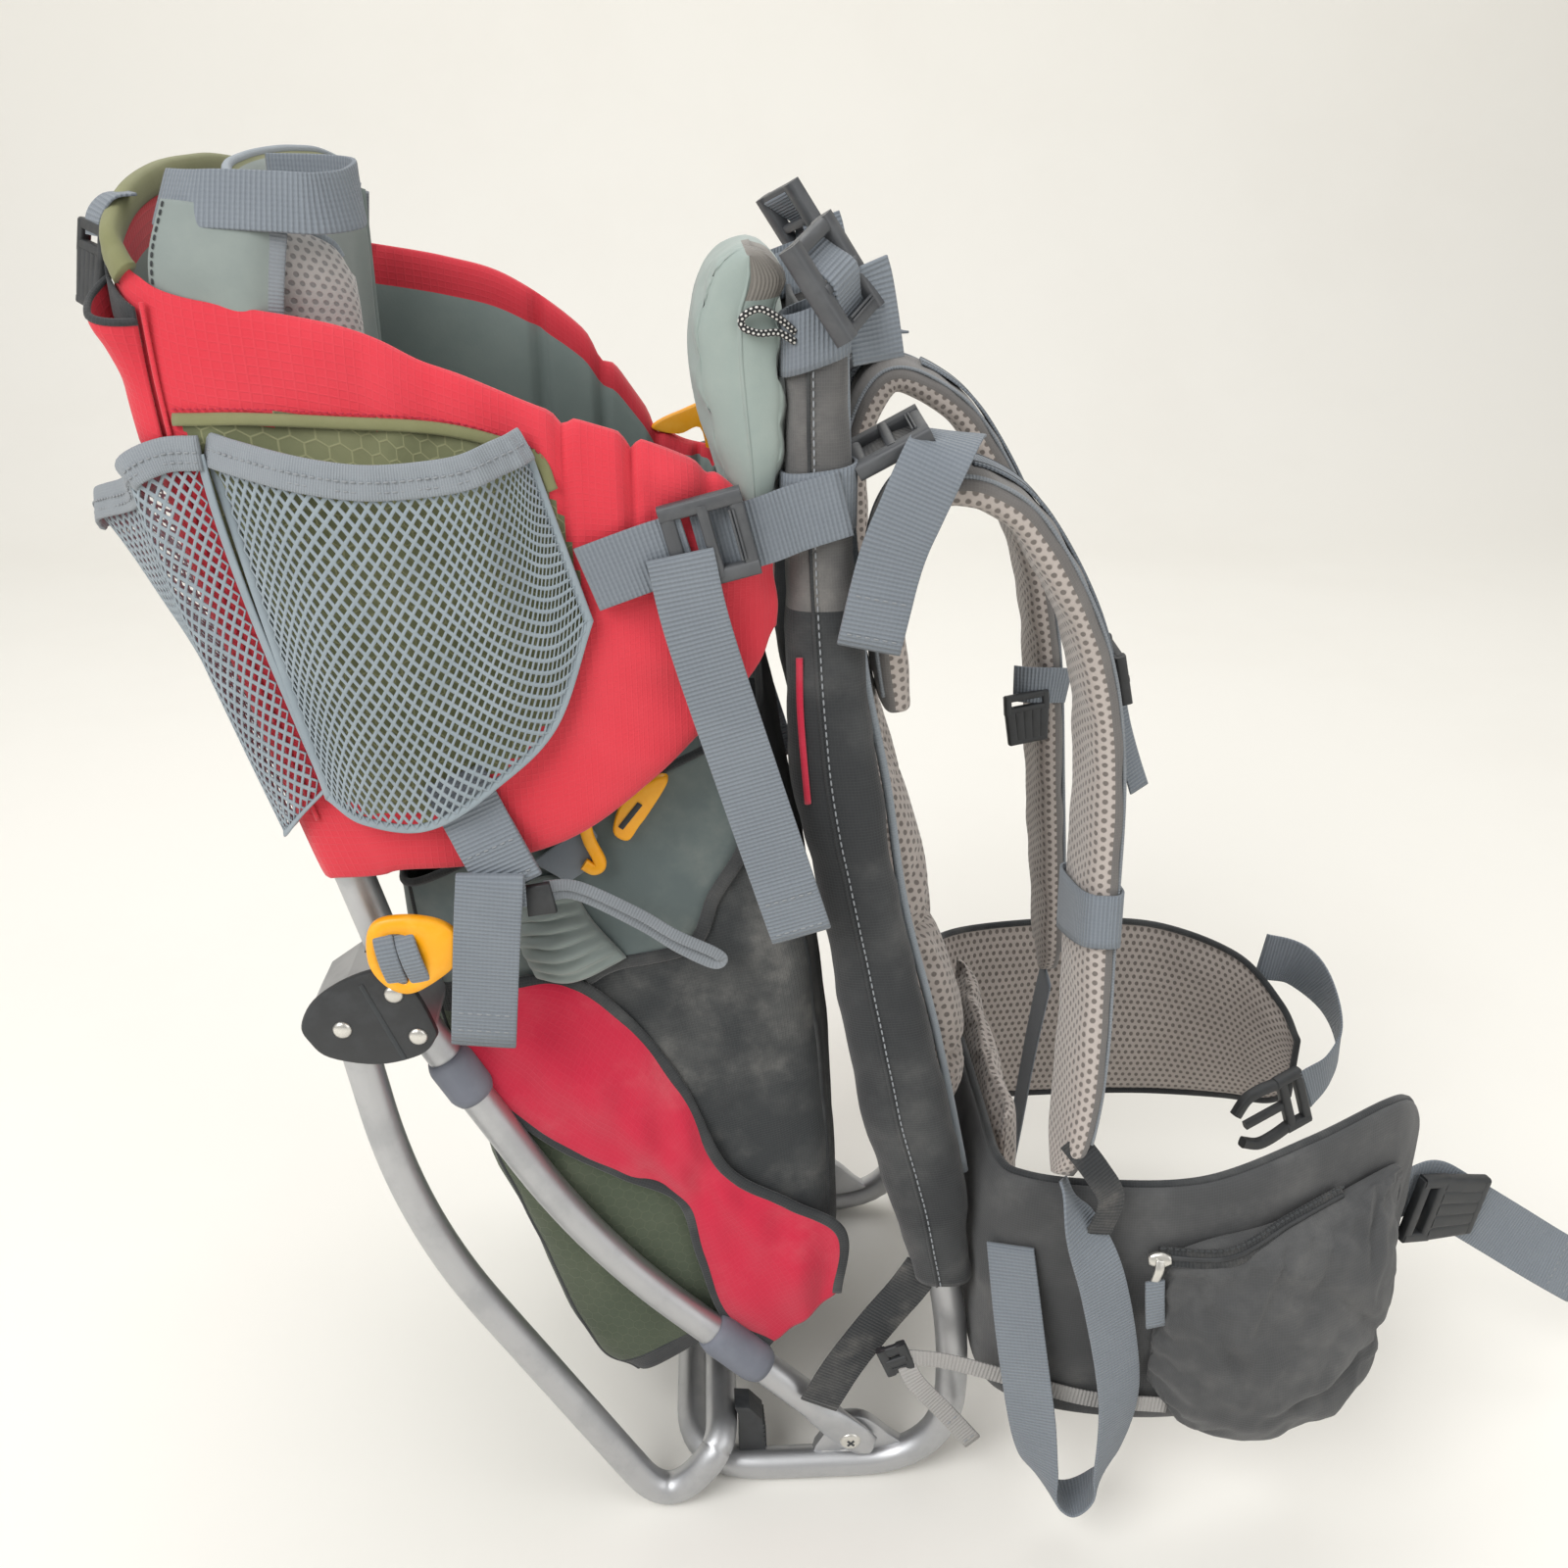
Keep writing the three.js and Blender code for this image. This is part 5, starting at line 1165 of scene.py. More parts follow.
def make_child_seat():
    """The child's back rest and seat: one long cushion, quilted across."""
    line = smooth([(x, 0, z) for x, z in CHILD_SEAT], 90)
    far = line_length(line)
    far = far / far[-1]
    y = (eased(40) * 2 - 1) * 104
    middle = line[:, None] + joined(0, y, 0)
    normal = facing(grid_normals(middle), middle, (-40, 0, 560))
    quilt = 1 - 0.45 * sum(bump_at(far, at, 0.02) for at in (0.22, 0.42, 0.6, 0.8))
    body = cushion(middle, normal, 8 * quilt[:, None], 7, 8, 8, 1)
    made = piece("child_seat_pad", [body, rim_cord(middle, 2.0, 2)], [LINING, BLACK, BINDING],
                 "fabric_grey", ["child_seat"])


# Netting

NET_WIDE = 5.4
NET_HIGH = 7.4
NET_HOLE = 0.66
NET_WALL = 0.7
WELD_DISTANCE = 0.05


def net(surface, long, high):
    """Diamond netting over a surface given as a function of two lengths: staggered cells, each a ring of
    eight quads
    between a diamond and a rounded hole."""
    column, row = np.meshgrid(np.arange(1, int(long / NET_WIDE)), np.arange(1, int(2 * high / NET_HIGH)),
                              indexing="ij")
    centre = np.stack([(column + 0.5 * (row % 2)) * NET_WIDE, row * NET_HIGH / 2], -1).reshape(-1, 2)
    turn = np.arange(8) * TURN / 8
    diamond = np.stack([np.cos(turn), np.sin(turn)], -1)
    diamond /= np.abs(diamond).sum(1, keepdims=True)
    round_hole = np.stack([np.cos(turn), np.sin(turn)], -1) * NET_HOLE
    round_hole[1::2] *= 0.72
    cell = np.stack([diamond, round_hole]) * [NET_WIDE / 2, NET_HIGH / 2]
    place = centre[:, None, None] + cell[None]
    points = surface(place[..., 0].ravel(), place[..., 1].ravel())
    first = np.arange(len(centre))[:, None, None] * 16
    k = np.arange(8)[None, :, None]
    quads = np.concatenate([first + k, first + (k + 1) % 8, first + 8 + (k + 1) % 8, first + 8 + k],
                           -1).reshape(-1, 4)
    uv = place.reshape(-1, 2)[quads.ravel()] * MM
    return {"points": points, "quads": quads, "caps": [], "uv": uv, "finish": np.zeros(len(quads), int),
            "cap_finish": 0}


def hang_net(name, node, surface, long, high):
    """A net pocket of a length and a height, as one hanging sheet."""
    made = piece(name, [net(surface, long, high)], [NET], "mesh_grey", [node], wall=NET_WALL, outward=False)
    weld(made)


def net_edges(surface, long, high, along):
    """Lines up the first end, along the foot and up the last end of a net."""
    t = np.linspace(0, high, 60)
    return [surface(np.full(60, 0.5), t), surface(along, np.full(len(along), 1.0)),
            surface(np.full(60, long - 0.5), t)]


def weld(made):
    """Joins points of a piece that lie together."""
    joined = bmesh.new()
    joined.from_mesh(made.data)
    bmesh.ops.remove_doubles(joined, verts=joined.verts, dist=WELD_DISTANCE * MM)
    joined.to_mesh(made.data)
    joined.free()


# Pieces to blow up: object, held points, pressure, growth, cap in millimetres.
SOFT = []
FILL_FRAMES = 20


def fill_soft():
    """Blows up the soft pieces by cloth simulation, held at their seams, each point moved no further than
    its cap."""
    running = []
    for made, held, pressure, grow, cap in SOFT:
        group = made.vertex_groups.new(name="held")
        group.add(np.flatnonzero(held).tolist(), 1.0, "REPLACE")
        cloth_run = made.modifiers.new("fill", "CLOTH")
        settings = cloth_run.settings
        settings.vertex_group_mass = "held"
        settings.quality = 5
        settings.use_pressure = True
        settings.uniform_pressure_force = pressure
        settings.shrink_min = -grow
        settings.tension_stiffness = 20
        settings.compression_stiffness = 20
        settings.bending_stiffness = 0.3
        settings.effector_weights.gravity = 0
        cloth_run.collision_settings.use_collision = False
        running.append((made, cloth_run, cap * MM))
    for number in range(1, FILL_FRAMES + 1):
        bpy.context.scene.frame_set(number)
    graph = bpy.context.evaluated_depsgraph_get()
    results = []
    for made, _, _ in running:
        filled = made.evaluated_get(graph).data
        moved = np.empty(len(filled.vertices) * 3, np.float32)
        filled.vertices.foreach_get("co", moved)
        results.append(moved.reshape(-1, 3))
    for (made, cloth_run, cap), moved in zip(running, results):
        rest = np.empty(len(made.data.vertices) * 3, np.float32)
        made.data.vertices.foreach_get("co", rest)
        step = moved - rest.reshape(-1, 3)
        far = np.linalg.norm(step, axis=1, keepdims=True)
        step *= cap * np.tanh(far / cap) / np.maximum(far, 1e-9)
        made.data.vertices.foreach_set("co", (rest + step.ravel()).astype(np.float32))
        made.modifiers.remove(cloth_run)
        made.vertex_groups.clear()
        made.data.update()
    bpy.context.scene.frame_set(1)


# Side pocket columns from the rear forward: low x, low z, high x, high z, belly.
SIDE_POCKET = [(-157, 480, -190, 642, 0), (-140, 470, -160, 638, 0.7), (-112, 467, -120, 633, 1),
               (-80, 488, -86, 635, 0.9), (-50, 517, -64, 641, 0.6), (-31, 567, -54, 644, 0)]
POCKET_ROWS = 6


def side_pocket_table(side):
    """Points of a side pocket's net: columns of the table, bellied out from the cabin wall, with slack
    folds."""
    share = np.linspace(0, 1, POCKET_ROWS)
    columns = []
    for k, (low_x, low_z, high_x, high_z, belly) in enumerate(SIDE_POCKET):
        x = low_x + (high_x - low_x) * share
        z = low_z + (high_z - low_z) * share
        wall = np.interp(x, [-205, -190, -175, -130, -90, -45, -5],
                         [131, 139, 144, 147.5, 149.5, 150.5, 150.5])
        out = 3.2 + 17 * belly * np.sin((0.1 + 0.5 * share) * np.pi) + 2.2 * belly * (k % 2)
        columns.append(np.stack([x, side * (wall + out), z], -1))
    return np.array(columns)


def make_side_pocket(name, side):
    """A net pocket with its elastic hem and its sewn edge."""
    table = side_pocket_table(side)
    columns, rows = table.shape[:2]
    long, high = 168.0, 150.0

    def surface(s, t):
        u = np.clip(s / long, 0, 1) * (columns - 1)
        v = np.clip(t / high, 0, 1)
        points = on_patch(table, u, v * (rows - 1))
        slack = np.sin(np.pi * np.clip(s / long, 0, 1)) * np.sin(np.pi * np.clip(0.12 + 0.72 * v, 0, 1))
        fold = 3.6 * np.sin(s / 8.6 + 1.2 * v + 0.9 * np.sin(s / 21)) * ramp(v, 0.15, 0.8)
        points[:, 1] += side * slack * (fold + 2.4 * rumple(points * [1, 1, 0.5], 31, 34))
        return points

    hang_net(f"pocket_net_{name}", f"side_pocket_{name}", surface, long, high)
    s = np.linspace(0, long, 90)
    top = surface(s, np.full(90, high * 0.985))
    hem = bar(top + [0, side * 0.6, 3], (0, side, 0.15), 7.5, 1.3 + 0.3 * np.sin(s / 2.6), 14, 4.0)
    line = [stitches(top + [0, side * 2.2, 3 + at], (0, side, 0), 3.4, 2.2, finish=1) for at in (-3.6, 0.6)]
    made = piece(f"pocket_hem_{name}", [hem, *line], [HEM, THREAD], "webbing_grey")
    metres(top)
    edges = net_edges(surface, long, high, s)
    seams = [bar(edge - [0, side * 0.5, 0], (0, side, 0.1), 2.2, 0.8, 10, 3.0) for edge in edges]
    piece(f"pocket_binding_{name}", seams, [NET], "mesh_grey")


# Rear pocket columns from the right to the left: y, low edge, high edge, belly.
REAR_POCKET = [(-92, 448, 606, 0.62), (-50, 446, 590, 0.93), (0, 446, 586, 1), (50, 446, 590, 0.93),
               (92, 448, 606, 0.62)]
REAR_ROWS = 8
# Rear pocket columns round the cabin's corner: station of the wall, low edge, high edge, distance from it.
REAR_CORNER = [(7.1, 484, 641, 3.5), (8, 470, 640, 5), (9, 460, 634, 6.5), (10, 454, 622, 8)]


def make_rear_pocket():
    """The net pocket behind the seat, bellied backward and round both corners, with its hem, seams and a
    small tab."""
    share = np.linspace(0, 1, REAR_ROWS)
    columns, far_columns = [], []
    for station, low, high, out in REAR_CORNER:
        z = low + (high - low) * share
        place = np.full(REAR_ROWS, station)
        lift = out + 7 * share * (station > 8)
        columns.append(collar_point(place, collar_share(place, z), lift))
        far_columns.append(collar_point(LAST_COLLAR - place, collar_share(place, z), lift))
    for y, low, high, belly in REAR_POCKET:
        z = low + (high - low) * share
        columns.append(joined(stay_x(z) - 22 - 60 * belly * share**1.2, y, z))
    table = np.array(columns + far_columns[::-1])
    far = line_length(table[:, 4])
    long, high = float(far[-1]), 170.0

    def surface(s, t):
        u = np.interp(s, far, np.arange(len(table)))
        v = np.clip(t / high, 0, 1)
        points = on_patch(table, u, v * (REAR_ROWS - 1))
        slack = np.sin(np.pi * np.clip(s / long, 0, 1))
        fold = 3.0 * np.sin(s / 10 + 0.9 * np.sin(s / 29)) * ramp(v, 0.2, 1)
        points[:, 0] -= slack**2 * (fold + 2.4 * rumple(points * [1, 1, 0.6], 32, 46) * v)
        return points

    hang_net("rear_net", "rear_pocket", surface, long, high)
    s = np.linspace(0, long, 140)
    top = surface(s, np.full(140, high * 0.985))
    face = np.stack([-np.ones(140), np.linspace(-1.6, 1.6, 140) ** 3, 0.2 * np.ones(140)], -1)
    hem = bar(top + unit(face) * 0.6 + [0, 0, 3], face, 7.5, 1.3 + 0.3 * np.sin(s / 2.6), 14, 4.0)
    line = [stitches(top + unit(face) * 2.2 + [0, 0, 3 + at], face, 3.4, 2.2, finish=1)
            for at in (-3.6, 0.6)]
    tab = top[70] + np.array([[-1.5, 0, 9], [-2.2, 0, -4], [-2.0, 0, -14]])
    made = piece("rear_hem", [hem, *line, bar(smooth(tab, 14), (-1, 0, 0), 5.5, 0.9, 12, 5.0)],
                 [HEM, THREAD], "webbing_grey")
    metres(top)
    edges = net_edges(surface, long, high, s)
    faces = [(-0.4, -0.9, 0), (-1, 0, 0), (-0.4, 0.9, 0)]
    piece("rear_binding", [bar(e, f, 2.2, 0.8, 10, 3.0) for e, f in zip(edges, faces)], [NET], "mesh_grey")


make_collar()
for side_name, side_sign in SIDES.items():
    make_tunnel(side_name, side_sign)
make_headrest()
for side_name, side_sign in SIDES.items():
    make_side_panel(side_name, side_sign)
webbing("headrest_loop", HANDLE, 24, ["headrest_handle"], thick=2.4)
make_child_seat()
for side_name, side_sign in SIDES.items():
    make_side_pocket(side_name, side_sign)
make_rear_pocket()


# Side flap rows: rear x and z, front x and z, swell.
FLAP = [(-120, 318, -106, 353, 0), (-103, 289, -60, 358, 4), (-70, 255, -30, 336, 7), (-33, 231, 0, 290, 6),
        (-1, 212, 24, 232, 2), (10, 170, 60, 206, 4), (24, 124, 90, 184, 7), (50, 103, 88, 140, 2)]
# Bag levels: rear x and z, front x and z, half width.
BAG = [(-36, 62, 80, 142, 102), (-67, 102, 90, 172, 108), (-121, 280, 80, 330, 113),
       (-138, 365, 64, 420, 113), (-142, 408, 47, 500, 113)]
BAG_GREY_EDGE = [(-46, 356), (-30, 365), (9, 375), (22, 404), (35, 426), (40, 440)]
BAG_BASE_ROWS = 9


def make_bag():
    """The open-topped lower bag: rounded box rings up its levels, slack between its seams."""
    count_u, count_v = 80, 160
    levels = smooth(BAG, count_u)
    ring = np.stack(section(4000, 9.0), -1)
    wide, deep = even(np.concatenate([ring, ring[:1]]), count_v + 1)[:-1].T
    rear, front, half = levels[:, :2], levels[:, 2:4], levels[:, 4]
    centre, reach = (rear + front) / 2, (front - rear) / 2
    x, z = (centre[:, k:k + 1] + reach[:, k:k + 1] * wide for k in (0, 1))
    grid = joined(x, half[:, None] * deep, z)
    height = np.linspace(0, 1, count_u)[:, None]
    slack = 1.6 * rumple(grid, 41, 80) + 1.0 * rumple(grid * [1.6, 1, 0.7], 42, 34)
    slack = np.sin(np.pi * height) ** 0.6 * slack
    out = unit(np.stack([wide**5, deep**5, 0 * deep], -1))
    grid = grid + out * slack[..., None]
    spot = (grid[:-1] + grid[1:]) / 2
    spot = (spot + np.roll(spot, -1, axis=1)) / 2
    flap = np.array(FLAP, float)
    flap_middle = (flap[:, :2] + flap[:, 2:4]) / 2
    edge = np.array(BAG_GREY_EDGE, float)
    finish = np.zeros(spot.shape[:2], int)
    side_wall = np.abs(spot[..., 1]) > 96
    finish[side_wall & (spot[..., 2] > np.interp(spot[..., 0], edge[:, 0], edge[:, 1]))] = 1
    olive_top = np.interp(spot[..., 0], flap_middle[:, 0], flap_middle[:, 1])
    finish[side_wall & (spot[..., 2] < olive_top)] = 2
    finish[~side_wall & (spot[..., 0] < centre[:-1, :1])] = 2
    finish[np.arange(count_u - 1) < BAG_BASE_ROWS] = 3
    finish[~side_wall & (spot[..., 0] > centre[:-1, :1])] = 3
    rings = skin(grid, round_v=True, finish=finish)
    rings["caps"] = [np.arange(count_v)[::-1].tolist()]
    rings["cap_finish"] = 3
    made = piece("lower_bag", [rings], [DUSTY, BAG_GREY, BAG_OLIVE, BLACK], "fabric_grey", ["cargo_bag"],
                 wall=2.0)
    corners = [np.argmax(wide + deep), np.argmax(wide - deep), np.argmin(wide + deep),
               np.argmin(wide - deep)]
    pipes = [bar(grid[:, k], (0.1, 0.9, 0.2), 1.8, 1.8, 10) for k in corners]
    for side in SIDES.values():
        run = smooth(joined(edge[:, 0], side * 115.4, edge[:, 1]), 50)
        pipes.append(stitches(run, (0, side, 0), 3.6, 2.6, 0.45, finish=1))
        pipes.append(bar(run + [-0.6, -side * 0.6, 0.6], (0, side, 0), 3.8, 1.2, 10))
    piece("bag_piping", [*pipes, closed_bar(grid[-1], 2.2), closed_bar(grid[BAG_BASE_ROWS], 1.6)],
          [BLACK, THREAD], "fabric_black")


def make_flap(name, side):
    """A loose red flap on the bag's side, narrow at its waist, with folds running from the waist and bound
    edges."""
    rows = smooth(FLAP, 120)
    v = np.linspace(0, 1, 40)[None, :]
    x = rows[:, :1] * (1 - v) + rows[:, 2:3] * v
    z = rows[:, 1:2] * (1 - v) + rows[:, 3:4] * v
    wide = np.hypot(rows[:, 2] - rows[:, 0], rows[:, 3] - rows[:, 1])[:, None]
    grid = np.stack([x, 0 * x, z], -1)
    run = np.linspace(0, 7, 120)[:, None]
    fade = np.sin(np.pi * v) ** 0.5
    fold = np.sin(v * 13 + 1.1 * run + 0.8 * np.sin(run * 1.7)) * ramp(wide, 10, 60) * 1.5 * fade
    fold += 1.6 * rumple(grid * [1.3, 1, 0.6], 51, 26) * fade
    grid[..., 1] = side * (117 + rows[:, 4:5] * np.sin(np.pi * v) + fold)
    made = piece(f"flap_{name}", [skin(grid)], [LOW_RED], "fabric_red", [f"side_flap_{name}"], wall=1.4,
                 outward=False)
    edges = [bar(grid[:, k], (0, side, 0.2), 3.2, 1.5, 12, 3.0) for k in (0, -1)]
    made = piece(f"flap_binding_{name}", edges, [BLACK], "fabric_black")
    2 * metres(grid[:, 0])


make_bag()
for side_name, side_sign in SIDES.items():
    make_flap(side_name, side_sign)


# Back panel and pads

UPRIGHT_RUN = bent(side_path(UPRIGHT[:4], 0), UPRIGHT_BENDS[:2], 30)[::-1]


def upright_x(z):
    """X of the uprights' middle at a height."""
    return np.interp(z, UPRIGHT_RUN[:, 2], UPRIGHT_RUN[:, 0])


# Cover levels: z, rear x, front x.
COVER = [(685, 57, 84), (640, 57, 86), (573, 57, 90.5), (474, 61, 104), (391, 78, 119), (320, 90, 137),
         (268, 100, 149), (215, 116, 160), (158, 132, 165)]
COVER_HALF_WIDTH = 13.5
COVER_DUSTY_ABOVE = 565
# The red slit and the light piping of a cover in the side view, and how far out the piping lies.
COVER_SLIT = [(63.5, 541), (64, 515), (66, 488), (68, 466)]
COVER_PIPING = [(84, 675), (86.5, 620), (92, 566), (97, 522), (109, 464), (120, 396), (140, 317),
                (160, 223)]
COVER_PIPING_Y = 113


def make_cover(name, side):
    """A black sleeve over an upright, with a seam down its side, a red slit and light piping in front."""
    levels = smooth(COVER, 130)
    wide, deep = section(40, 2.6)
    z, rear, front = levels[:, :1], levels[:, 1:2], levels[:, 2:3]
    x = (rear + front) / 2 + (front - rear) / 2 * wide
    y = side * (FRAME_HALF_WIDTH + COVER_HALF_WIDTH * deep)
    grid = joined(x, y, z)
    out = unit(np.stack([wide, side * deep, 0 * deep], -1))[None]
    grid = grid + out * (0.9 * rumple(grid, 61, 60) + 0.7 * rumple(grid * [1, 1, 1.8], 62, 26))[..., None]
    crease = 1.5 * bump_at(levels[:, :1], 430, 14) + 1.2 * bump_at(levels[:, :1], 300, 10)
    grid = grid - out * crease[..., None]
    finish = np.where(levels[:-1, :1] > COVER_DUSTY_ABOVE, 1, 0) + np.zeros((129, 40), int)
    skins = [skin(grid, round_v=True, ends=True, finish=finish)]
    k = int(np.argmin(np.abs(wide + 0.15) + 10 * (deep < 0)))
    seam = grid[:, k] + [0, side * 0.5, 0]
    skins.append(stitches(seam, (0, side, 0), 4.2, 3.0, 0.4, finish=2))
    skins.append(bar(seam + [-2.2, -side * 0.5, 0], (0, side, 0), 0.9, 0.7, 8, finish=0))
    slit = side_path(COVER_SLIT, -side * (FRAME_HALF_WIDTH + COVER_HALF_WIDTH - 0.6))
    skins.append(bar(smooth(slit, 20), (0, side, 0), 1.7, 1.1, 10, finish=3))
    pipe = smooth(side_path(COVER_PIPING, -side * COVER_PIPING_Y), 70)
    skins.append(bar(pipe, (1, 0, 0), 2.3, 2.3, 10, finish=4))
    made = piece(f"cover_{name}", skins, [BLACK, WORN, THREAD, LOW_RED, PIPING], "fabric_black",
                 [f"upright_cover_{name}"])


def cover_band(name, side, middle_z, height, tilt):
    """Webbing wrapped round an upright's cover: a closed oval band, lower toward the rear by its tilt."""
    levels = np.array(COVER[::-1], float)
    rear = np.interp(middle_z, levels[:, 0], levels[:, 1])
    front = np.interp(middle_z, levels[:, 0], levels[:, 2])
    wide, deep = section(48, 2.6)
    rise = np.linspace(-0.5, 0.5, 7)[:, None] * height
    x = (rear + front) / 2 + ((front - rear) / 2 + 1.6) * wide
    y = side * (FRAME_HALF_WIDTH + (COVER_HALF_WIDTH + 1.6) * deep)
    grid = np.swapaxes(joined(x, y, middle_z + rise + tilt * (x - (rear + front) / 2)), 0, 1)
    made = piece(name, [skin(grid, round_u=True)], [WEBBING], "webbing_grey", wall=1.6, outward=False)


PANEL_HALF_WIDTH = 108.8


def make_panel():
    """The back panel between the uprights: a stretched sheet, gently rumpled away from its sides."""
    z = np.linspace(165, 680, 110)[:, None]
    y = np.linspace(-1, 1, 50)[None] * PANEL_HALF_WIDTH
    grid = joined(upright_x(z), y, z)
    grid[..., 0] += 1.0 * rumple(grid, 71, 60) * (1 - (y / PANEL_HALF_WIDTH) ** 4)
    made = piece("panel_cloth", [skin(grid)], [BLACK], "fabric_black", ["back_panel"], wall=2.6,
                 outward=False)


# Back pad levels: z, front x, share of full width.
BACK_PAD = [(545, 88, 0.8), (528, 100, 0.95), (505, 105, 1), (470, 112, 0.95), (440, 121, 1), (400, 134, 1),
            (368, 137, 0.95), (340, 149, 1), (300, 161, 1), (272, 166, 0.95), (250, 164, 0.85)]
BACK_PAD_Y = 68
BACK_PAD_HALF = 37
BACK_PAD_SEAMS = [470, 368, 290]
FORWARD = np.array([1.0, 0, 0])


def make_back_pad(name, side):
    """A mesh pad beside the spine, pinched into plump segments by seams across it."""
    table = np.array(BACK_PAD, float)
    count_u, count_v = 120, 44
    rows = along_rows(table, eased(count_u) * (len(table) - 1))
    z, front, wide = rows[:, :1], rows[:, 1:2], rows[:, 2:3]
    y = (eased(count_v) * 2 - 1)[None] * BACK_PAD_HALF * wide
    rear = upright_x(z) + 3
    depth = (front - rear) / 2
    pinch = 1 - 0.5 * sum(bump_at(z, at, 5) for at in BACK_PAD_SEAMS)
    middle = joined((front + rear) / 2, side * BACK_PAD_Y + y, z)
    puff = depth * pinch * (1 + 0.05 * rumple(middle, 81, 34))
    body = cushion(middle, FORWARD, puff, depth, 4, 3.2, 1)
    made = piece(f"back_pad_mesh_{name}", [body], [SPACER, BLACK], "fabric_beige_mesh",
                 [f"back_pad_{name}"])
    near_seam = np.min(np.abs(z - np.array([BACK_PAD_SEAMS])), axis=1) < 3.2
    ring = 2 * count_v - 2
    rear_half = np.tile(np.arange(ring) >= count_v, count_u)
    SOFT.append((made, np.repeat(near_seam, ring) | rear_half, 4.0, 0.03, 6.0))


# Chin pad stations: y, share of depth, share of height, rise of its middle.
CHIN_PAD = [(-136, 0.9, 0.9, 6), (-126, 1, 0.98, 4), (-90, 1, 1, 2), (-40, 1, 1, 0), (0, 1, 0.97, -4),
            (60, 1, 0.92, -10), (118, 0.9, 0.85, -14), (133, 0.5, 0.62, -10)]
CHIN_FRONT, CHIN_REAR, CHIN_Z, CHIN_HALF_HEIGHT = 56.6, 19, 658, 61


def make_chin_pad():
    """The padded bar in front of the child: a cushion across, fuller at its top, gathered into wrinkles at
    both ends."""
    table = np.array(CHIN_PAD, float)
    count_u, count_v = 140, 46
    rows = along_rows(table, eased(count_u) * (len(table) - 1))
    y, depth, tall, rise = (rows[:, k:k + 1] for k in range(4))
    v = (eased(count_v) * 2 - 1)[None]
    rear = CHIN_REAR + 11 * ramp(-v, -0.4, 1)
    front = CHIN_FRONT + 8 * ramp(v, 0.55, 0.85)
    middle = joined((front + rear) / 2, y, CHIN_Z + rise + CHIN_HALF_HEIGHT * tall * v)
    half = (front - rear) / 2 * depth
    gather = ramp(np.abs(y), 60, 128)
    wrinkle = gather * 0.035 * np.sin(v * 15 + y / 14 + 1.3 * np.sin(y / 17))
    wrinkle = wrinkle + 0.03 * rumple(middle, 91, 45)
    body = cushion(middle, FORWARD, half * (1 + wrinkle), half * (1.08 + wrinkle[:, ::-1]), 7, 3.0, 0)
    faces = body["finish"].reshape(count_u - 1, -1)
    ends = np.abs(y[:-1, 0]) > 104
    faces[np.ix_(ends, np.flatnonzero(v[0] > 0.62))] = 1
    body["finish"] = faces.ravel()
    made = piece("chin_cushion", [body], [CHIN_GREY, GATHER], "fabric_grey", ["chin_pad"])
    held = np.abs(np.repeat(y[:, 0], 2 * count_v - 2)) > 131
    SOFT.append((made, held, 2.0, 0.03, 4.0))


LUMBAR_X, LUMBAR_Z, LUMBAR_HALF_WIDTH, LUMBAR_HALF_HEIGHT, LUMBAR_SEAM = 188, 170, 94, 70, 34
LUMBAR_FRONT, LUMBAR_REAR, LUMBAR_HELD_X = 10.5, 8.0, 182


def make_lumbar():
    """The pad across the hips: a mesh cushion, dimpled along two seams."""
    count_u, count_v = 90, 50
    y = (eased(count_u) * 2 - 1)[:, None] * LUMBAR_HALF_WIDTH
    z = LUMBAR_Z + (eased(count_v) * 2 - 1)[None] * LUMBAR_HALF_HEIGHT
    middle = joined(LUMBAR_X, y, z)
    dip = 1 - 0.35 * (bump_at(y, -LUMBAR_SEAM, 6) + bump_at(y, LUMBAR_SEAM, 6))
    front = LUMBAR_FRONT * dip * (1 + 0.08 * rumple(middle, 92, 40))
    body = cushion(middle, FORWARD, front, LUMBAR_REAR, 5, 4, 1)
    made = piece("lumbar_mesh", [body], [SPACER, SPACER], "fabric_beige_mesh", ["lumbar_pad"])
    seams = np.repeat(np.abs(np.abs(y[:, 0]) - LUMBAR_SEAM) < 2.5, 2 * count_v - 2)
    SOFT.append((made, seams | (body["points"][:, 0] < LUMBAR_HELD_X), 4.0, 0.02, 5.0))


make_panel()
make_chin_pad()
make_lumbar()
for side_name, side_sign in SIDES.items():
    make_cover(side_name, side_sign)
    cover_band(f"top_wrap_{side_name}", side_sign, 686, 26, 0.35)
    cover_band(f"side_wrap_{side_name}", side_sign, 614, 29, 0.12)
    make_back_pad(side_name, side_sign)


# Hip belt

# Hip fin stations: x, half width, low edge, high edge.
HIP_FIN = {"right": [(171.4, 2, 92, 236), (172.9, 70, 90, 236), (174.4, 122, 86, 238), (188, 143, 82, 241),
                     (228, 155, 78, 243), (285, 158, 76, 246), (345, 145, 78, 260), (398, 117, 94, 262),
                     (424, 92, 110, 246), (436, 82, 128, 226)],
           "left": [(171.4, 2, 92, 232), (172.9, 70, 90, 232), (174.4, 122, 86, 232), (188, 143, 82, 230),
                    (228, 155, 78, 229), (285, 160, 76, 228), (345, 153, 80, 226), (398, 131, 90, 212),
                    (424, 106, 102, 188), (436, 92, 116, 164)],}


def fin_surface(name, side, count_u, count_v):
    """The middle surface of a hip fin and its directions away from the wearer."""
    middle = wall_grid([(x, side * y, low, high) for x, y, low, high in HIP_FIN[name]], count_u, count_v)
    return middle, -facing(grid_normals(middle), middle, (300, 0, 160))


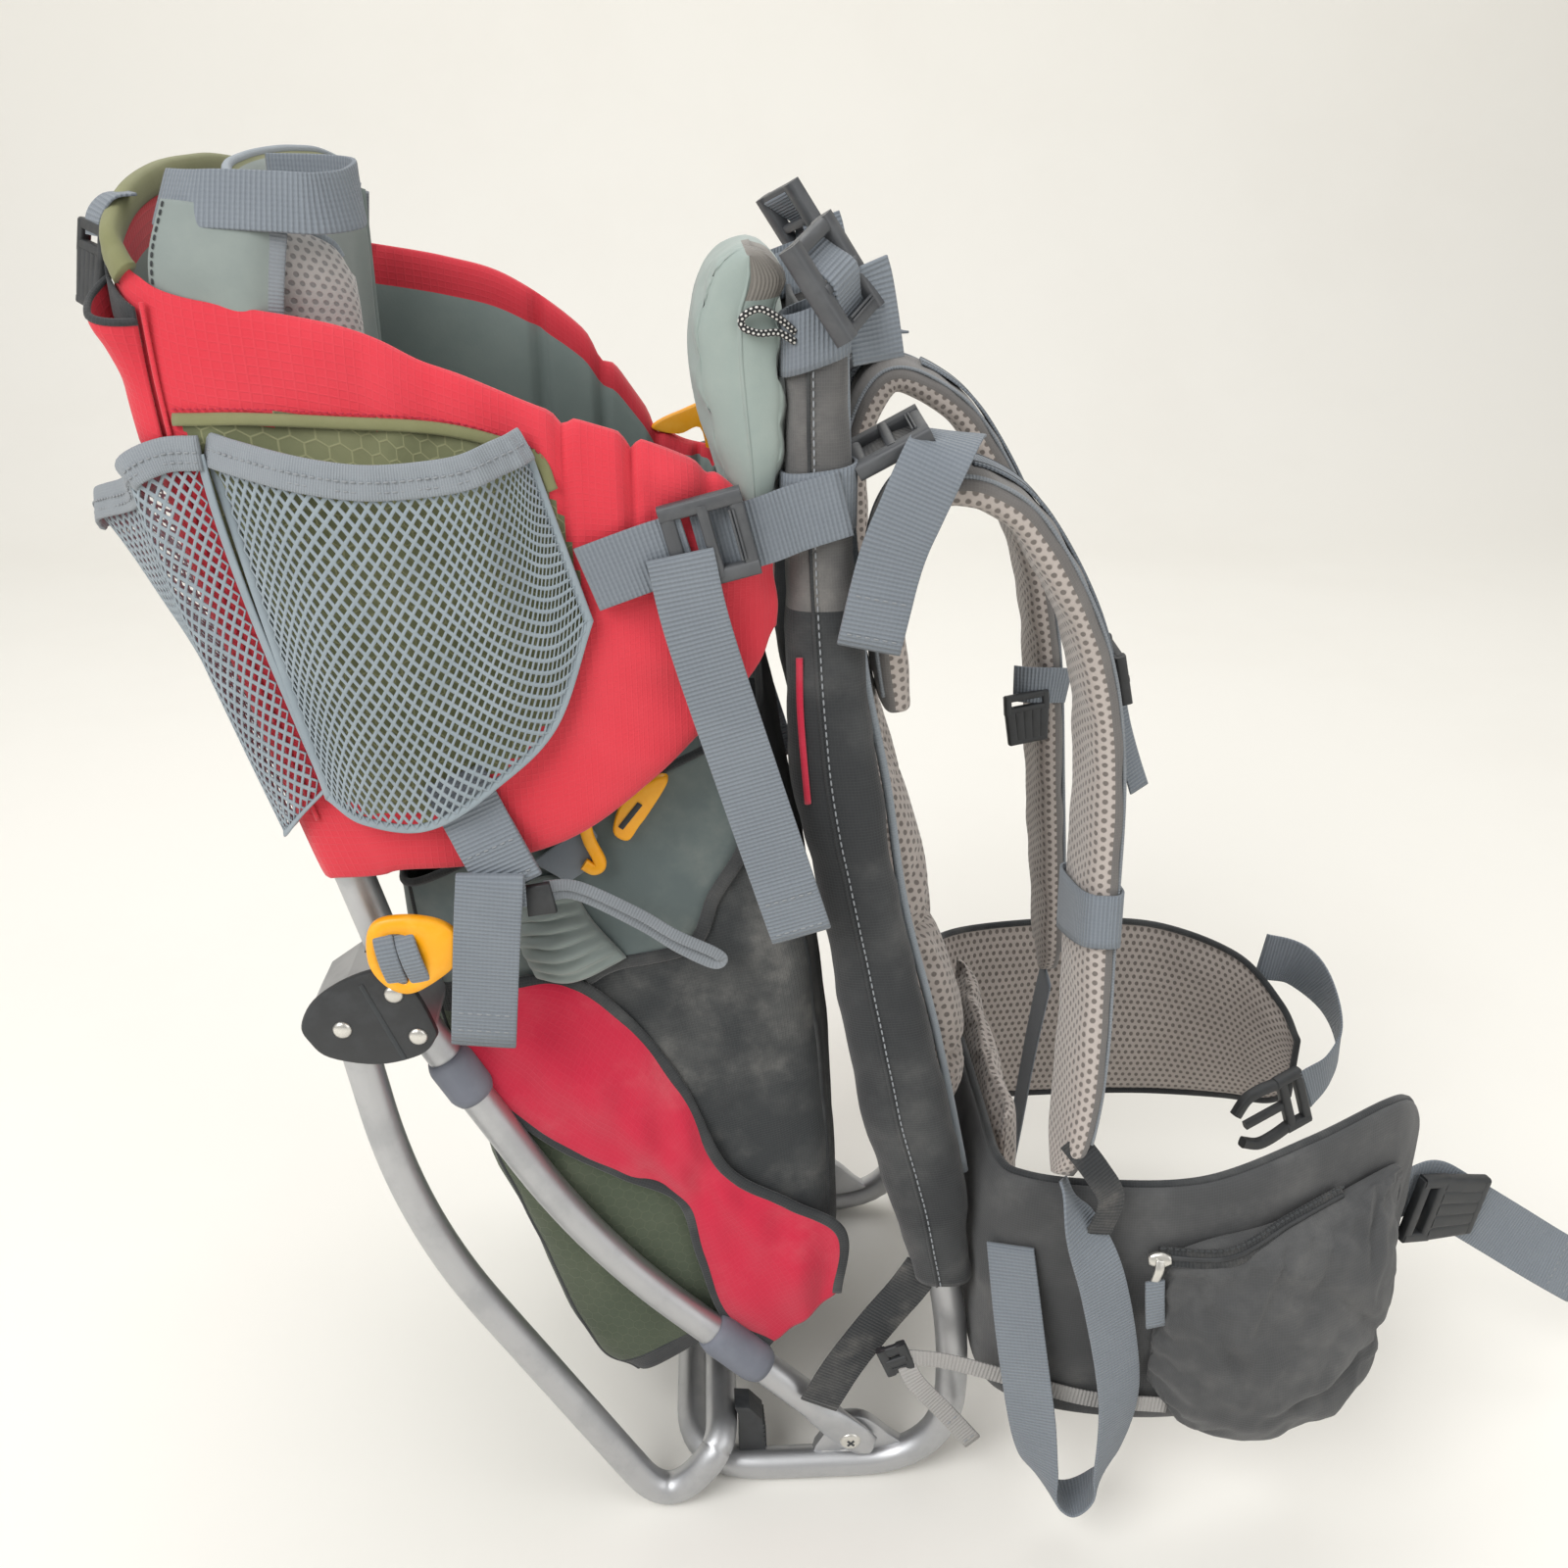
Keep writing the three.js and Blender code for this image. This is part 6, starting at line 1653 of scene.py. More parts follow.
def make_fin(name, side):
    """A padded wing of the hip belt: dark cloth outside, mesh inside, bound along its rims."""
    middle, out = fin_surface(name, side, 150, 40)
    puff = 1 + 0.1 * rumple(middle, 101, 50) + 0.08 * rumple(middle * [0.6, 1, 1], 102, 22)
    body = cushion(middle, out, 7.6 * puff, 8.6 * puff, 6, 4, 1, 1)
    cords = rim_cord(middle[:, 1:-1] - out[:, 1:-1] * 3.0, 2.4, 2)
    made = piece(f"fin_{name}", [body, cords], [CHARCOAL, SPACER, BLACK], "fabric_black",
                 [f"hip_fin_{name}"])


# Hip pocket stations: place along the fin's stations, low edge, high edge, depth.
HIP_POCKET = [(4.6, 116, 206, 9), (5, 84, 216, 24), (5.5, 74, 220, 30), (6, 74, 226, 31),
              (6.5, 82, 230, 26), (7, 98, 228, 15), (7.2, 116, 218, 7)]
POCKET_CREASES = [((277, 195), (317, 110)), ((317, 110), (385, 134)), ((345, 186), (385, 134))]


def crease_depth(x, z, start, end, width):
    """1 along a segment in the side view, falling off as a bell curve of the distance from it."""
    start, end = np.array(start, float), np.array(end, float)
    run = end - start
    t = np.clip(((x - start[0]) * run[0] + (z - start[1]) * run[1]) / (run @ run), 0, 1)
    far = np.hypot(x - start[0] - t * run[0], z - start[1] - t * run[1])
    return np.exp(-((far / width) ** 2)) * np.sin(np.pi * (0.08 + 0.84 * t))


ZIP = [(241, 216), (257, 211), (294, 211), (330, 222), (352, 246), (359, 262)]


def make_hip_pocket():
    """The zipped pocket on the right fin: a bellied pouch with sharp folds, a zip round its top, a slider
    and a pull."""
    table = np.array(HIP_POCKET, float)
    count_u, count_v = 110, 60
    rows = along_rows(table, eased(count_u) * (len(table) - 1))
    base = along_rows(np.array([(x, -y) for x, y, _, _ in HIP_FIN["right"]], float), rows[:, 0])
    slope = np.gradient(base, axis=0)
    out = unit(np.stack([slope[:, 1], -slope[:, 0], 0 * slope[:, 0]], -1))
    out *= np.sign((out * np.array([0, -1.0, 0])).sum(-1, keepdims=True))
    v = eased(count_v)
    z = rows[:, 1:2] * (1 - v) + rows[:, 2:3] * v
    middle = joined(base[:, :1], base[:, 1:], z) + out[:, None] * 9.5
    sag = 1.14 - 0.3 * v[None]
    folds = 1 + 0.08 * rumple(middle * [1, 1, 0.7], 111, 34) + 0.05 * rumple(middle, 112, 16)
    dent = sum(crease_depth(middle[..., 0], middle[..., 2], a, b, 4.5) for a, b in POCKET_CREASES)
    body = cushion(middle, out[:, None], rows[:, 3:] * sag * folds - 5.0 * dent, 1.0, 4, 2.6, 0)
    made = piece("hip_pouch", [body], [CHARCOAL], "fabric_black", ["hip_pocket"])
    front = body["points"].reshape(count_u, -1, 3)[:, :count_v].reshape(-1, 3)
    nearest = [np.argmin((front[:, 0] - x) ** 2 + (front[:, 2] - h) ** 2) for x, h in ZIP]
    line = smooth(front[nearest], 70) + [0, -1.6, 0.4]
    face = (0.25, -1, 0.35)
    trim = [bar(line, face, 5.5, 0.9, 12, 5.0), bar(line + [0, -1.0, 0.3], face, 1.5, 0.7, 10, finish=1)]
    trim += [stitches(line + shift, face, 3.2, 2.3, 0.4, finish=2)
             for shift in ([0, -0.9, 6.3], [0, -0.6, -6.2])]
    start = line[9] + np.array([0, -2.4, 0])
    slider = start + np.linspace(-6, 6, 8)[:, None] * unit(line[14] - line[6])
    ring = start + np.array([(0, -1.5, 1), (-1, -4, -4), (-2, -4, -9), (-2.5, -3, -13)])
    trim += [bar(slider, face, np.array([2.6, 3.6, 4.2, 4.4, 4.4, 4.0, 3.2, 2.4]), 2.2, 14, 3.0, finish=3),
             bar(smooth(ring, 16), (0, -1, 0), 2.6, 1.0, 12, 3.0, finish=3)]
    tab = start + np.array([(-2.4, -3.4, -12), (-1.5, -4.2, -24), (1.0, -3.6, -44)])
    trim.append(bar(smooth(tab, 20), (0.1, -1, 0), 5.4, 1.1, 14, 6.0, finish=4))
    piece("hip_zip", trim, [DARK_WEBBING, BLACK_PLASTIC, DARK_THREAD, STEEL, WEBBING], "fabric_black")
    ring = np.arange(2 * count_v - 2)
    bellied = np.tile((ring >= 4) & (ring < count_v - 5), count_u)
    points = body["points"]
    from_zip = np.hypot(points[:, None, 0] - line[None, ::4, 0],
                        points[:, None, 2] - line[None, ::4, 2]).min(1)
    SOFT.append((made, ~bellied | (from_zip < 8), 1.5, 0.06, 6.0))


for side_name, side_sign in SIDES.items():
    make_fin(side_name, side_sign)
make_hip_pocket()


# Shoulder straps

# Strap route: x, half width from the middle, z.
STRAP_ROUTE = {"right": [(113.4, 88, 506), (107, 93, 554), (110, 98, 592), (126, 100, 614), (150, 98, 613),
                         (176, 94, 592), (207, 88, 536), (221, 88, 470), (220, 104, 380), (214, 134, 310),
                         (204, 160, 257)],
               "left": [(113.4, 88, 506), (107, 93, 558), (110, 98, 602), (126, 100, 630), (152, 98, 624),
                        (178, 94, 600), (209, 86, 542), (224, 80, 474), (231, 72, 390), (237, 65, 310),
                        (241, 60, 250)],}
STRAP_HALF_WIDTH = [24, 28, 31, 31, 31, 31, 31, 31, 31, 29, 20]
STRAP_HALF_THICK = [8, 9, 9, 9, 9, 9, 9, 9, 9, 8.4, 6]


def strap_lines(name, side, count):
    """A shoulder strap's middle line, its outward directions, half widths and half thicknesses."""
    route = np.array([(x, side * y, z) for x, y, z in STRAP_ROUTE[name]], float)
    line = smooth(route, count)
    way = np.gradient(line, axis=0)
    out = np.stack([-way[:, 2], 0 * way[:, 1], way[:, 0]], -1)
    return line, unit(out), smooth(STRAP_HALF_WIDTH, count), smooth(STRAP_HALF_THICK, count)


def make_strap(name, side):
    """A padded shoulder strap: cloth on its outer side, mesh below and round its edges, webbing sewn along
    the middle."""
    line, out, wide, thick = strap_lines(name, side, 170)
    far = line_length(line)
    left = far[-1] - far
    wide = wide * np.sqrt(np.clip(1 - (1 - np.minimum(left / 26, 1)) ** 2, 0.06, 1))
    wobble = 1 + 0.07 * rumple(line, 121, 40)
    grid = strip_grid(line, out, wide, thick * wobble, 56, 3.2)
    across = section(56, 3.2)
    loft = 0.8 * rumple(grid, 122, 24)
    _, normal, side_way = frames_of(line, out)
    grid = grid + normal[:, None] * (loft * across[1][None])[..., None]
    finish = np.broadcast_to(np.where(across[1] > 0.0, 0, 1), (169, 56))
    skins = [skin(grid, round_v=True, ends=True, finish=finish)]
    for edge in (-1, 1):
        seam = line + side_way * (wide * 0.86 * edge)[:, None] + normal * (thick * 0.78)[:, None]
        skins.append(bar(seam[3:-6], normal[3:-6], 1.7, 1.1, 10, finish=2))
    made = piece(f"strap_{name}", skins, [TAUPE, SPACER, BINDING], "fabric_grey",
                 [f"shoulder_strap_{name}"])
    part = slice(62, 150)
    top = line[part] + normal[part] * (thick[part] + 1.2)[:, None]
    web = [bar(top, normal[part], 12.5, 0.9, 18, 7.0)]
    for edge in (-1, 1):
        web.append(bar(top + side_way[part] * edge * 9.6 + normal[part] * 0.8, normal[part], 0.8, 0.35, 8,
                       finish=1))
    made = piece(f"strap_webbing_{name}", web, [WEBBING, DARK_THREAD], "webbing_grey")
    metres(top)


for side_name, side_sign in SIDES.items():
    make_strap(side_name, side_sign)


# Webbing


def axes(along, face):
    """Unit directions along, out of and across a fitting."""
    along = unit(np.asarray(along, float))
    face = np.asarray(face, float)
    face = unit(face - (face @ along) * along)
    return along, face, np.cross(face, along)


def on_side(rows, side, sag=0.0):
    """Rows of place and face given for the left, put on a side."""
    rows = np.array(rows, float)
    return rows * [1, side, 1, 1, side, 1] - [0, 0, sag, 0, 0, 0]


# Straps as rows of place and face, given for the left unless they name a side.
BELT = {"right": [(431.9, -86.2, 172, 0.6, -0.8, 0), (452, -77, 170, 0.4, -0.9, 0),
                  (474, -74, 156, 0.2, -1, 0.1), (508, -72, 132, 0, -1, 0.3), (542, -71, 108, 0, -1, 0.5),
                  (570, -70, 89, 0, -1, 0.6)],
        "left": [(413, 127.3, 212, 0.6, 1, 0), (438, 119, 208, 0.8, 0.9, 0.1), (455, 99, 191, 1, 0.3, 0.3),
                 (458, 78, 172, 1, -0.2, 0.2), (446, 62, 158, 0.7, -0.6, 0), (428, 53, 148, 0.4, -0.9, 0)],}
LIFTER = [(90, 129, 714, 0.15, 1, 0.35), (92, 127.4, 707, 0.15, 1, 0.15), (95, 126.4, 692, 0.15, 1, 0),
          (98, 126, 674, 0.1, 1, 0.05)]
# Strap locks on the left: centre, direction along, face.
LOCKS = {"lifter": [(77, 139, 710), (0.55, 0, -0.83), (0.70, 0.52, 0.46)],
         "shoulder": [(112, 112, 639), (0.88, 0, 0.47), (-0.47, 0.1, 0.88)],
         "side": [(23, 153.8, 603), (0.97, 0, 0.25), (0, 1, 0)]}


def lifter_thread():
    """Rows of the webbing woven through a lifter lock on the left: under its end bars and over its middle
    one."""
    centre, along, face = LOCKS["lifter"]
    a, f, _ = axes(along, face)
    weave = np.array([(-19, -4), (-9, 1), (0.5, 5.5), (9, 1.5), (17, -3), (24, -7)], float)
    places = np.array(centre, float) + weave[:, :1] * a + weave[:, 1:] * f
    return np.concatenate([places, np.broadcast_to(f, places.shape)], axis=1)


SHOULDER_TAIL = {
    "right": [(136, 104, 638, 0, 0.1, 1), (131, 122, 641, 0, 0.4, 1), (123, 138, 634, -0.1, 1, 0.5),
              (113, 141, 612, 0, 1, 0.1), (104, 141, 588, 0, 1, 0), (95, 141, 547, 0, 1, 0)],
    "left": [(128, 106, 652.7, 0, 0.1, 1), (118, 125, 651.7, 0, 0.3, 1), (108, 141, 636, -0.1, 1, 0.5),
             (104, 141, 604, 0, 1, 0), (98, 141, 545, 0, 1, 0)],
}
# Dark webbing from the upright through the shoulder lock; the left one lies a little further forward and
# up.
SHOULDER_ANCHOR = [(76, 110, 619, -0.45, 0, 0.88), (86, 111, 625.5, -0.45, 0, 0.88),
                   (97, 112, 632, -0.47, 0, 0.88), (108, 111, 637.5, -0.4, 0, 0.9),
                   (120, 108, 641, -0.2, 0, 1)]
LEFT_LOCK_SHIFT = (7, 0, 3)
STRAP_LOOP = {"right": [(181, 149.5, 200, -0.6, 1, 0), (187, 163, 150, -0.4, 1, 0),
                        (195, 171, 98, -0.4, 0.9, 0), (201, 174, 62, -0.7, 0.7, -0.1),
                        (208, 175, 41, -0.75, 0.25, -0.6), (221, 175, 31, 0, 0.1, -1),
                        (234, 175.5, 41, 0.75, 0.25, -0.6), (241, 176, 62, 0.7, 0.7, -0.1),
                        (242, 179, 119, 0.4, 0.9, 0), (226, 181, 196, 0.4, 1, 0),
                        (211, 175, 236, 0.8, 0.7, 0), (203.8, 161, 254.4, 1, 0.4, 0)],
              "left": [(241, 60, 245, 1, 0, 0), (238, 74, 180, 1, 0, 0), (232, 92, 60, 1, 0, -0.2),
                       (222, 98, 16, 0.3, 0, -1), (206, 102, 40, -1, 0, -0.2), (200, 106, 120, -1, 0, 0),
                       (185.2, 109, 170, -1, 0, 0)],}
SIDE_STRAP = [(84, 137.4, 614.5, 0, 1, 0), (62, 141, 609, -0.2, 1, 0), (46, 147.5, 605, -0.2, 1, 0),
              (18, 149.6, 598, 0, 1, 0)]
SIDE_TAIL = [(10, 158.2, 598, 0, 1, 0), (18, 158.6, 560, 0, 1, 0), (40, 158, 485, 0, 1, 0),
             (64, 156, 405, 0, 1, 0)]
SEAT_STRAP = [(-84, 157, 425, 0, -1, 0), (-84, 157.4, 436, 0, -1, 0.3), (-84, 160, 444, 0, 0.1, 1),
              (-84.6, 162.8, 437, 0, 1, 0.3), (-88, 163, 408, 0, 1, 0), (-94.5, 160.5, 349, 0, 1, 0)]
LEFT_SAG = 42
SIDE_ANCHOR = [(14, 153, 601, 0, 1, 0), (-6, 154.5, 595, 0, 1, 0), (-31, 154.5, 586, 0, 1, 0)]
SEAT_STRAP_TOP = [(-99, 149.5, 491, 0, 1, 0), (-91, 152.5, 473, 0, 1, 0), (-80, 155.5, 449, 0, 1, 0),
                  (-74, 156.5, 436, 0, 1, 0)]
for side_name, side_sign in SIDES.items():
    sag = LEFT_SAG if side_sign > 0 else 0
    webbing(f"belt_web_{side_name}", BELT[side_name], 38, [f"belt_webbing_{side_name}"], sewn=side_sign < 0)
    webbing(f"lifter_web_{side_name}", on_side(LIFTER, side_sign), 23, [f"lifter_webbing_{side_name}"])
    webbing(f"lifter_thread_{side_name}", on_side(lifter_thread(), side_sign), 25)
    webbing(f"shoulder_web_{side_name}", on_side(SHOULDER_TAIL[side_name], side_sign), 30,
            [f"shoulder_tail_{side_name}"], sewn=True)
    shift = [*LEFT_LOCK_SHIFT, 0, 0, 0] if side_sign > 0 else [0] * 6
    webbing(f"shoulder_anchor_{side_name}", on_side(SHOULDER_ANCHOR, side_sign) + shift, 25,
            finish=DARK_WEBBING, slot="fabric_black")
    webbing(f"hanging_loop_{side_name}", on_side(STRAP_LOOP[side_name], side_sign), 28,
            [f"strap_loop_{side_name}"])
    webbing(f"side_web_{side_name}", on_side(SIDE_STRAP, side_sign, sag), 30, [f"side_strap_{side_name}"])
    webbing(f"side_web_tail_{side_name}", on_side(SIDE_TAIL, side_sign, sag), 30,
            [f"side_tail_{side_name}"], sewn=True)
    webbing(f"seat_web_{side_name}", on_side(SEAT_STRAP, side_sign), 32, [f"seat_strap_{side_name}"],
            sewn=True)
    webbing(f"seat_web_top_{side_name}", on_side(SEAT_STRAP_TOP, side_sign), 31, sewn=True)
    webbing(f"side_anchor_{side_name}", on_side(SIDE_ANCHOR, side_sign, sag), 30)


# Locks and buckles


def ladder_lock(centre, along, face, wide=40, long=37, thick=6, rail=3.0):
    """A strap lock: two side rails and three cross bars, the middle one raised."""
    a, f, s = axes(along, face)
    centre = np.asarray(centre, float)

    def rod(start, end, half_wide, half_thick):
        line = centre + np.linspace(np.asarray(start), np.asarray(end), 10) @ np.stack([a, s, f])
        return bar(line, f, half_wide, half_thick, 14, 4.0)

    edge = wide / 2 - rail
    tip = long / 2
    rails = [rod((-tip, k * edge, 0), (tip, k * edge, 0), rail, thick / 2) for k in (-1, 1)]
    bars = [rod((at, -edge, up), (at, edge, up), half, thick * 0.42)
            for at, up, half in ((-tip + 3.2, 0, 3.4), (0.5, 1.0, 2.6), (tip - 3, 0, 3.2))]
    reach, lift = edge * 0.7, thick * 0.45
    grip = [rod((at, -reach, lift), (at, reach, lift), 0.5, 0.6) for at in (tip - 5, tip - 5 - 1.6)]
    return rails + bars + grip


LOCK_SIZE = {"lifter": {"wide": 42, "long": 44, "thick": 9, "rail": 4.4},
             "shoulder": {"thick": 8, "rail": 4.2}, "side": {"thick": 7, "rail": 3.6}}


def buckle(centre, along, face, prongs, scale=1.0):
    """Half of a side-release buckle: a body with a webbing slot, and either two prongs and a guide or an
    open mouth."""
    a, f, s = axes(along, face)
    centre = np.asarray(centre, float)

    def rod(points, half_wide, half_thick):
        line = centre + smooth(np.asarray(points, float) * scale, 14) @ np.stack([a, s, f])
        return bar(line, f, half_wide * scale, half_thick * scale, 16, 4.0)

    made = [rod([(-25, -22, 0), (-25, 22, 0)], 3.4, 3.6), rod([(-12, -22, 0), (-12, 22, 0)], 3.4, 3.8)]
    made += [rod([(-27, k * 20, 0), (-8, k * 20, 0)], 3.6, 3.9) for k in (-1, 1)]
    if prongs:
        made += [rod([(-10, k * 19, 0), (4, k * 21, 0), (16, k * 20, 0), (27, k * 12, 0)], 3.6, 3.6)
                 for k in (-1, 1)]
        made.append(rod([(-10, 0, 0), (22, 0, 0)], 3.0, 2.6))
    else:
        made += [rod([(-10, y, 0), (24, y * 0.86, 0)], 5.2, 4.0) for y in (-18, -9, 0, 9, 18)]
        made.append(rod([(22, -19, 0), (22, 19, 0)], 3.0, 4.2))
    return made


# The yellow lock in the side view: its outline, its window and the middle of the window.
YELLOW_OUTLINE = [(-16, 17), (-2, 22), (17, 19), (27, 9), (24, -4), (10, -16), (-2, -21), (-13, -15),
                  (-19, -2)]
YELLOW_WINDOW = [(-10, 11), (0, 12), (3, 4), (0, -12), (-5, -13), (-12, -2)]
YELLOW_MIDDLE = np.array([-4.5, 0.5])
# A strap through the yellow lock: share of its tilt, distance out, height.
YELLOW_STRAP = [(0, 1.5, 13), (0.4, 4.6, 7), (1, 5.0, -3), (1.6, 1.5, -15)]


def yellow_lock(centre, side):
    """The yellow strap lock at the hinge: a rounded three-sided plate with a window, and two straps
    through it."""
    outline, hole = rounded(YELLOW_OUTLINE, 6), rounded(YELLOW_WINDOW, 9)
    outline, hole = (ring[np.argsort(np.arctan2(*(ring - YELLOW_MIDDLE).T[::-1]))]
                     for ring in (outline, hole))
    rings = []
    for at, shrink in ((-3.2, 1.0), (-1.6, 0.2), (1.6, 0.0), (3.2, 0.9)):
        full = outline * (1 - shrink / 20)
        rings.append(np.insert(full, 1, side * at, axis=1))
    for at, shrink in ((3.2, 0.9), (1.6, 0.0), (-1.6, 0.2), (-3.2, 1.0)):
        rings.append(np.insert(hole + (hole - YELLOW_MIDDLE) * shrink / 14, 1, side * at, axis=1))
    grid = np.stack(rings) + np.asarray(centre, float)
    body = skin(grid, round_u=True, round_v=True)
    straps = []
    for x0, tilt in ((-10.5, 3), (-0.5, 4)):
        line = [(x0 + tilt * lean, side * y, z) for lean, y, z in YELLOW_STRAP]
        straps.append(bar(smooth(line, 20) + np.asarray(centre, float), (0, side, 0), 5.0, 1.2, 14, 5.0,
                          finish=1))
    return [body, *straps]


# Rows of the gathered cuff in the side view.
CUFF = [[(-78, 412), (-80, 386), (-72, 360)], [(-66, 419), (-62, 392), (-52, 359)],
        [(-53, 419), (-42, 394), (-25, 371)]]


def make_cuff():
    """The gathered cuff beside the right seat strap: a sheet drawn up into folds that run along it."""
    grid = smooth_grid([[(x, -116.5, z) for x, z in row] for row in CUFF], 44, 110)
    u, v = np.meshgrid(np.linspace(0, 1, 44), np.linspace(0, 1, 110), indexing="ij")
    swell = np.sin(np.pi * u) ** 0.5 * np.sin(np.pi * v) ** 0.4
    fold = np.sin(v * TURN * 7.5 + 1.5 * np.sin(u * 4) + 0.8 * np.sin(u * 9))
    grid[..., 1] -= swell * (15.5 + 2.6 * fold + 1.4 * rumple(grid, 131, 18))
    made = piece("gathered_cuff", [skin(grid)], [PANEL_GREY], "fabric_grey", wall=1.2, outward=False)


# The pull loop along its route: x, z, distance to the right.
PULL_LOOP = [(-60, 434, 154), (-44.5, 429, 146), (-17, 411, 141), (2, 397, 140), (20, 386, 138),
             (25, 381, 137.5), (20, 379, 137.5), (3, 389, 138), (-15, 403, 139), (-44.5, 424, 145),
             (-59.5, 429, 154)]
# Elastic loop at the end of the chin pad: x, y, z along it.
ELASTIC = [(61, -135.5, 688), (54, -138, 694), (46, -139.5, 698), (39, -139.5, 695), (39, -139.5, 690.5),
           (46, -139, 688), (54, -137.5, 688), (61, -136, 684)]
ELASTIC_DIAMETER = 3.2


def make_elastic():
    """The speckled elastic loop: a round cord out from the cover and back to it."""
    line = even(smooth(ELASTIC, 60), 60)
    made = piece("elastic_loop",
                 [bar(line, (0.2, 0.9, 0.3), ELASTIC_DIAMETER / 2, ELASTIC_DIAMETER / 2, 12)], [SPECKLED],
                 "fabric_black")
    metres(line)


# Small straps as rows of place and face.
LIGHT_STRAP = [(121, -140.5, 112, 0, -1, 0), (150, -147, 113, 0, -1, 0), (190, -156, 106, -0.2, -1, 0),
               (230, -166, 100, -0.1, -1, 0), (274, -170, 97, 0, -1, 0)]
LIGHT_TAIL = [(126, -143, 110, 0, -1, 0), (133, -146, 96, 0.2, -1, 0), (150, -147, 74, 0.3, -1, 0.1),
              (168, -148, 50, 0.2, -1, 0)]
BAG_STRAP = [(138, -126, 166, 0, -1, 0), (127, -127, 148, 0, -1, 0), (112, -129, 128, 0, -1, 0),
             (92, -132, 98, 0, -1, 0), (77, -134, 69, 0, -1, 0)]
TONGUE = [(205, -166, 284, 0.3, -1, 0), (218, -173, 268, 0.4, -1, 0), (227, -174, 250, 0.3, -1, 0),
          (222, -174, 228, 0.2, -1, 0)]
STERNUM_WEB = [(203, 46, 457, 0, -1, 0.1), (211, 41.5, 457.5, 0, -1, 0.1), (223, 41.5, 457, 0, -1, 0.1),
               (236, 46, 455, 0.2, -1, 0)]
STERNUM_TAIL = [(226, -99, 501, 0.6, -0.8, 0.2), (230, -100, 486, 0.6, -0.8, 0.2),
                (235.5, -100, 469, 0.5, -0.85, 0.2), (241, -100, 454, 0.4, -0.9, 0.2)]
# Clips and tabs in the side view.
HOOK = [(-42, 457), (-40, 444), (-35, 431), (-38, 427), (-43, 430)]
CLIP_TAB = [(-28, 446), (-24, 460), (-16, 469), (-4, 476), (0, 473), (-10, 456), (-15, 449), (-21, 441)]
SEAT_BAR = [(-69, 435), (-57, 437), (-54, 421), (-68, 419)]
GREY_TAB = [(-69, 430), (-40, 451), (-36, 444), (-39, 427), (-52, 418)]
REAR_TAB = [(-216, -106, 742, -0.3, -0.2, 0.9), (-224, -111, 741, -0.6, -0.4, 0.6),
            (-230, -114, 734, -0.8, -0.6, 0.2), (-231.5, -115, 726, -0.8, -0.6, 0.1)]
FAR_CLIP = [(-12, 594), (4, 603), (30, 609), (34, 576), (24, 574), (18, 594), (4, 590)]
# Belt buckle halves: centre, direction along, face, and whether it has prongs.
BELT_BUCKLES = {"right": [(465.1, -82.5, 159), (1, 0.28, -0.2), (0.28, -1, 0), False],
                "left": [(402.9, 45, 137.1), (-0.9, -0.3, -0.3), (0.3, -0.9, 0.1), True]}


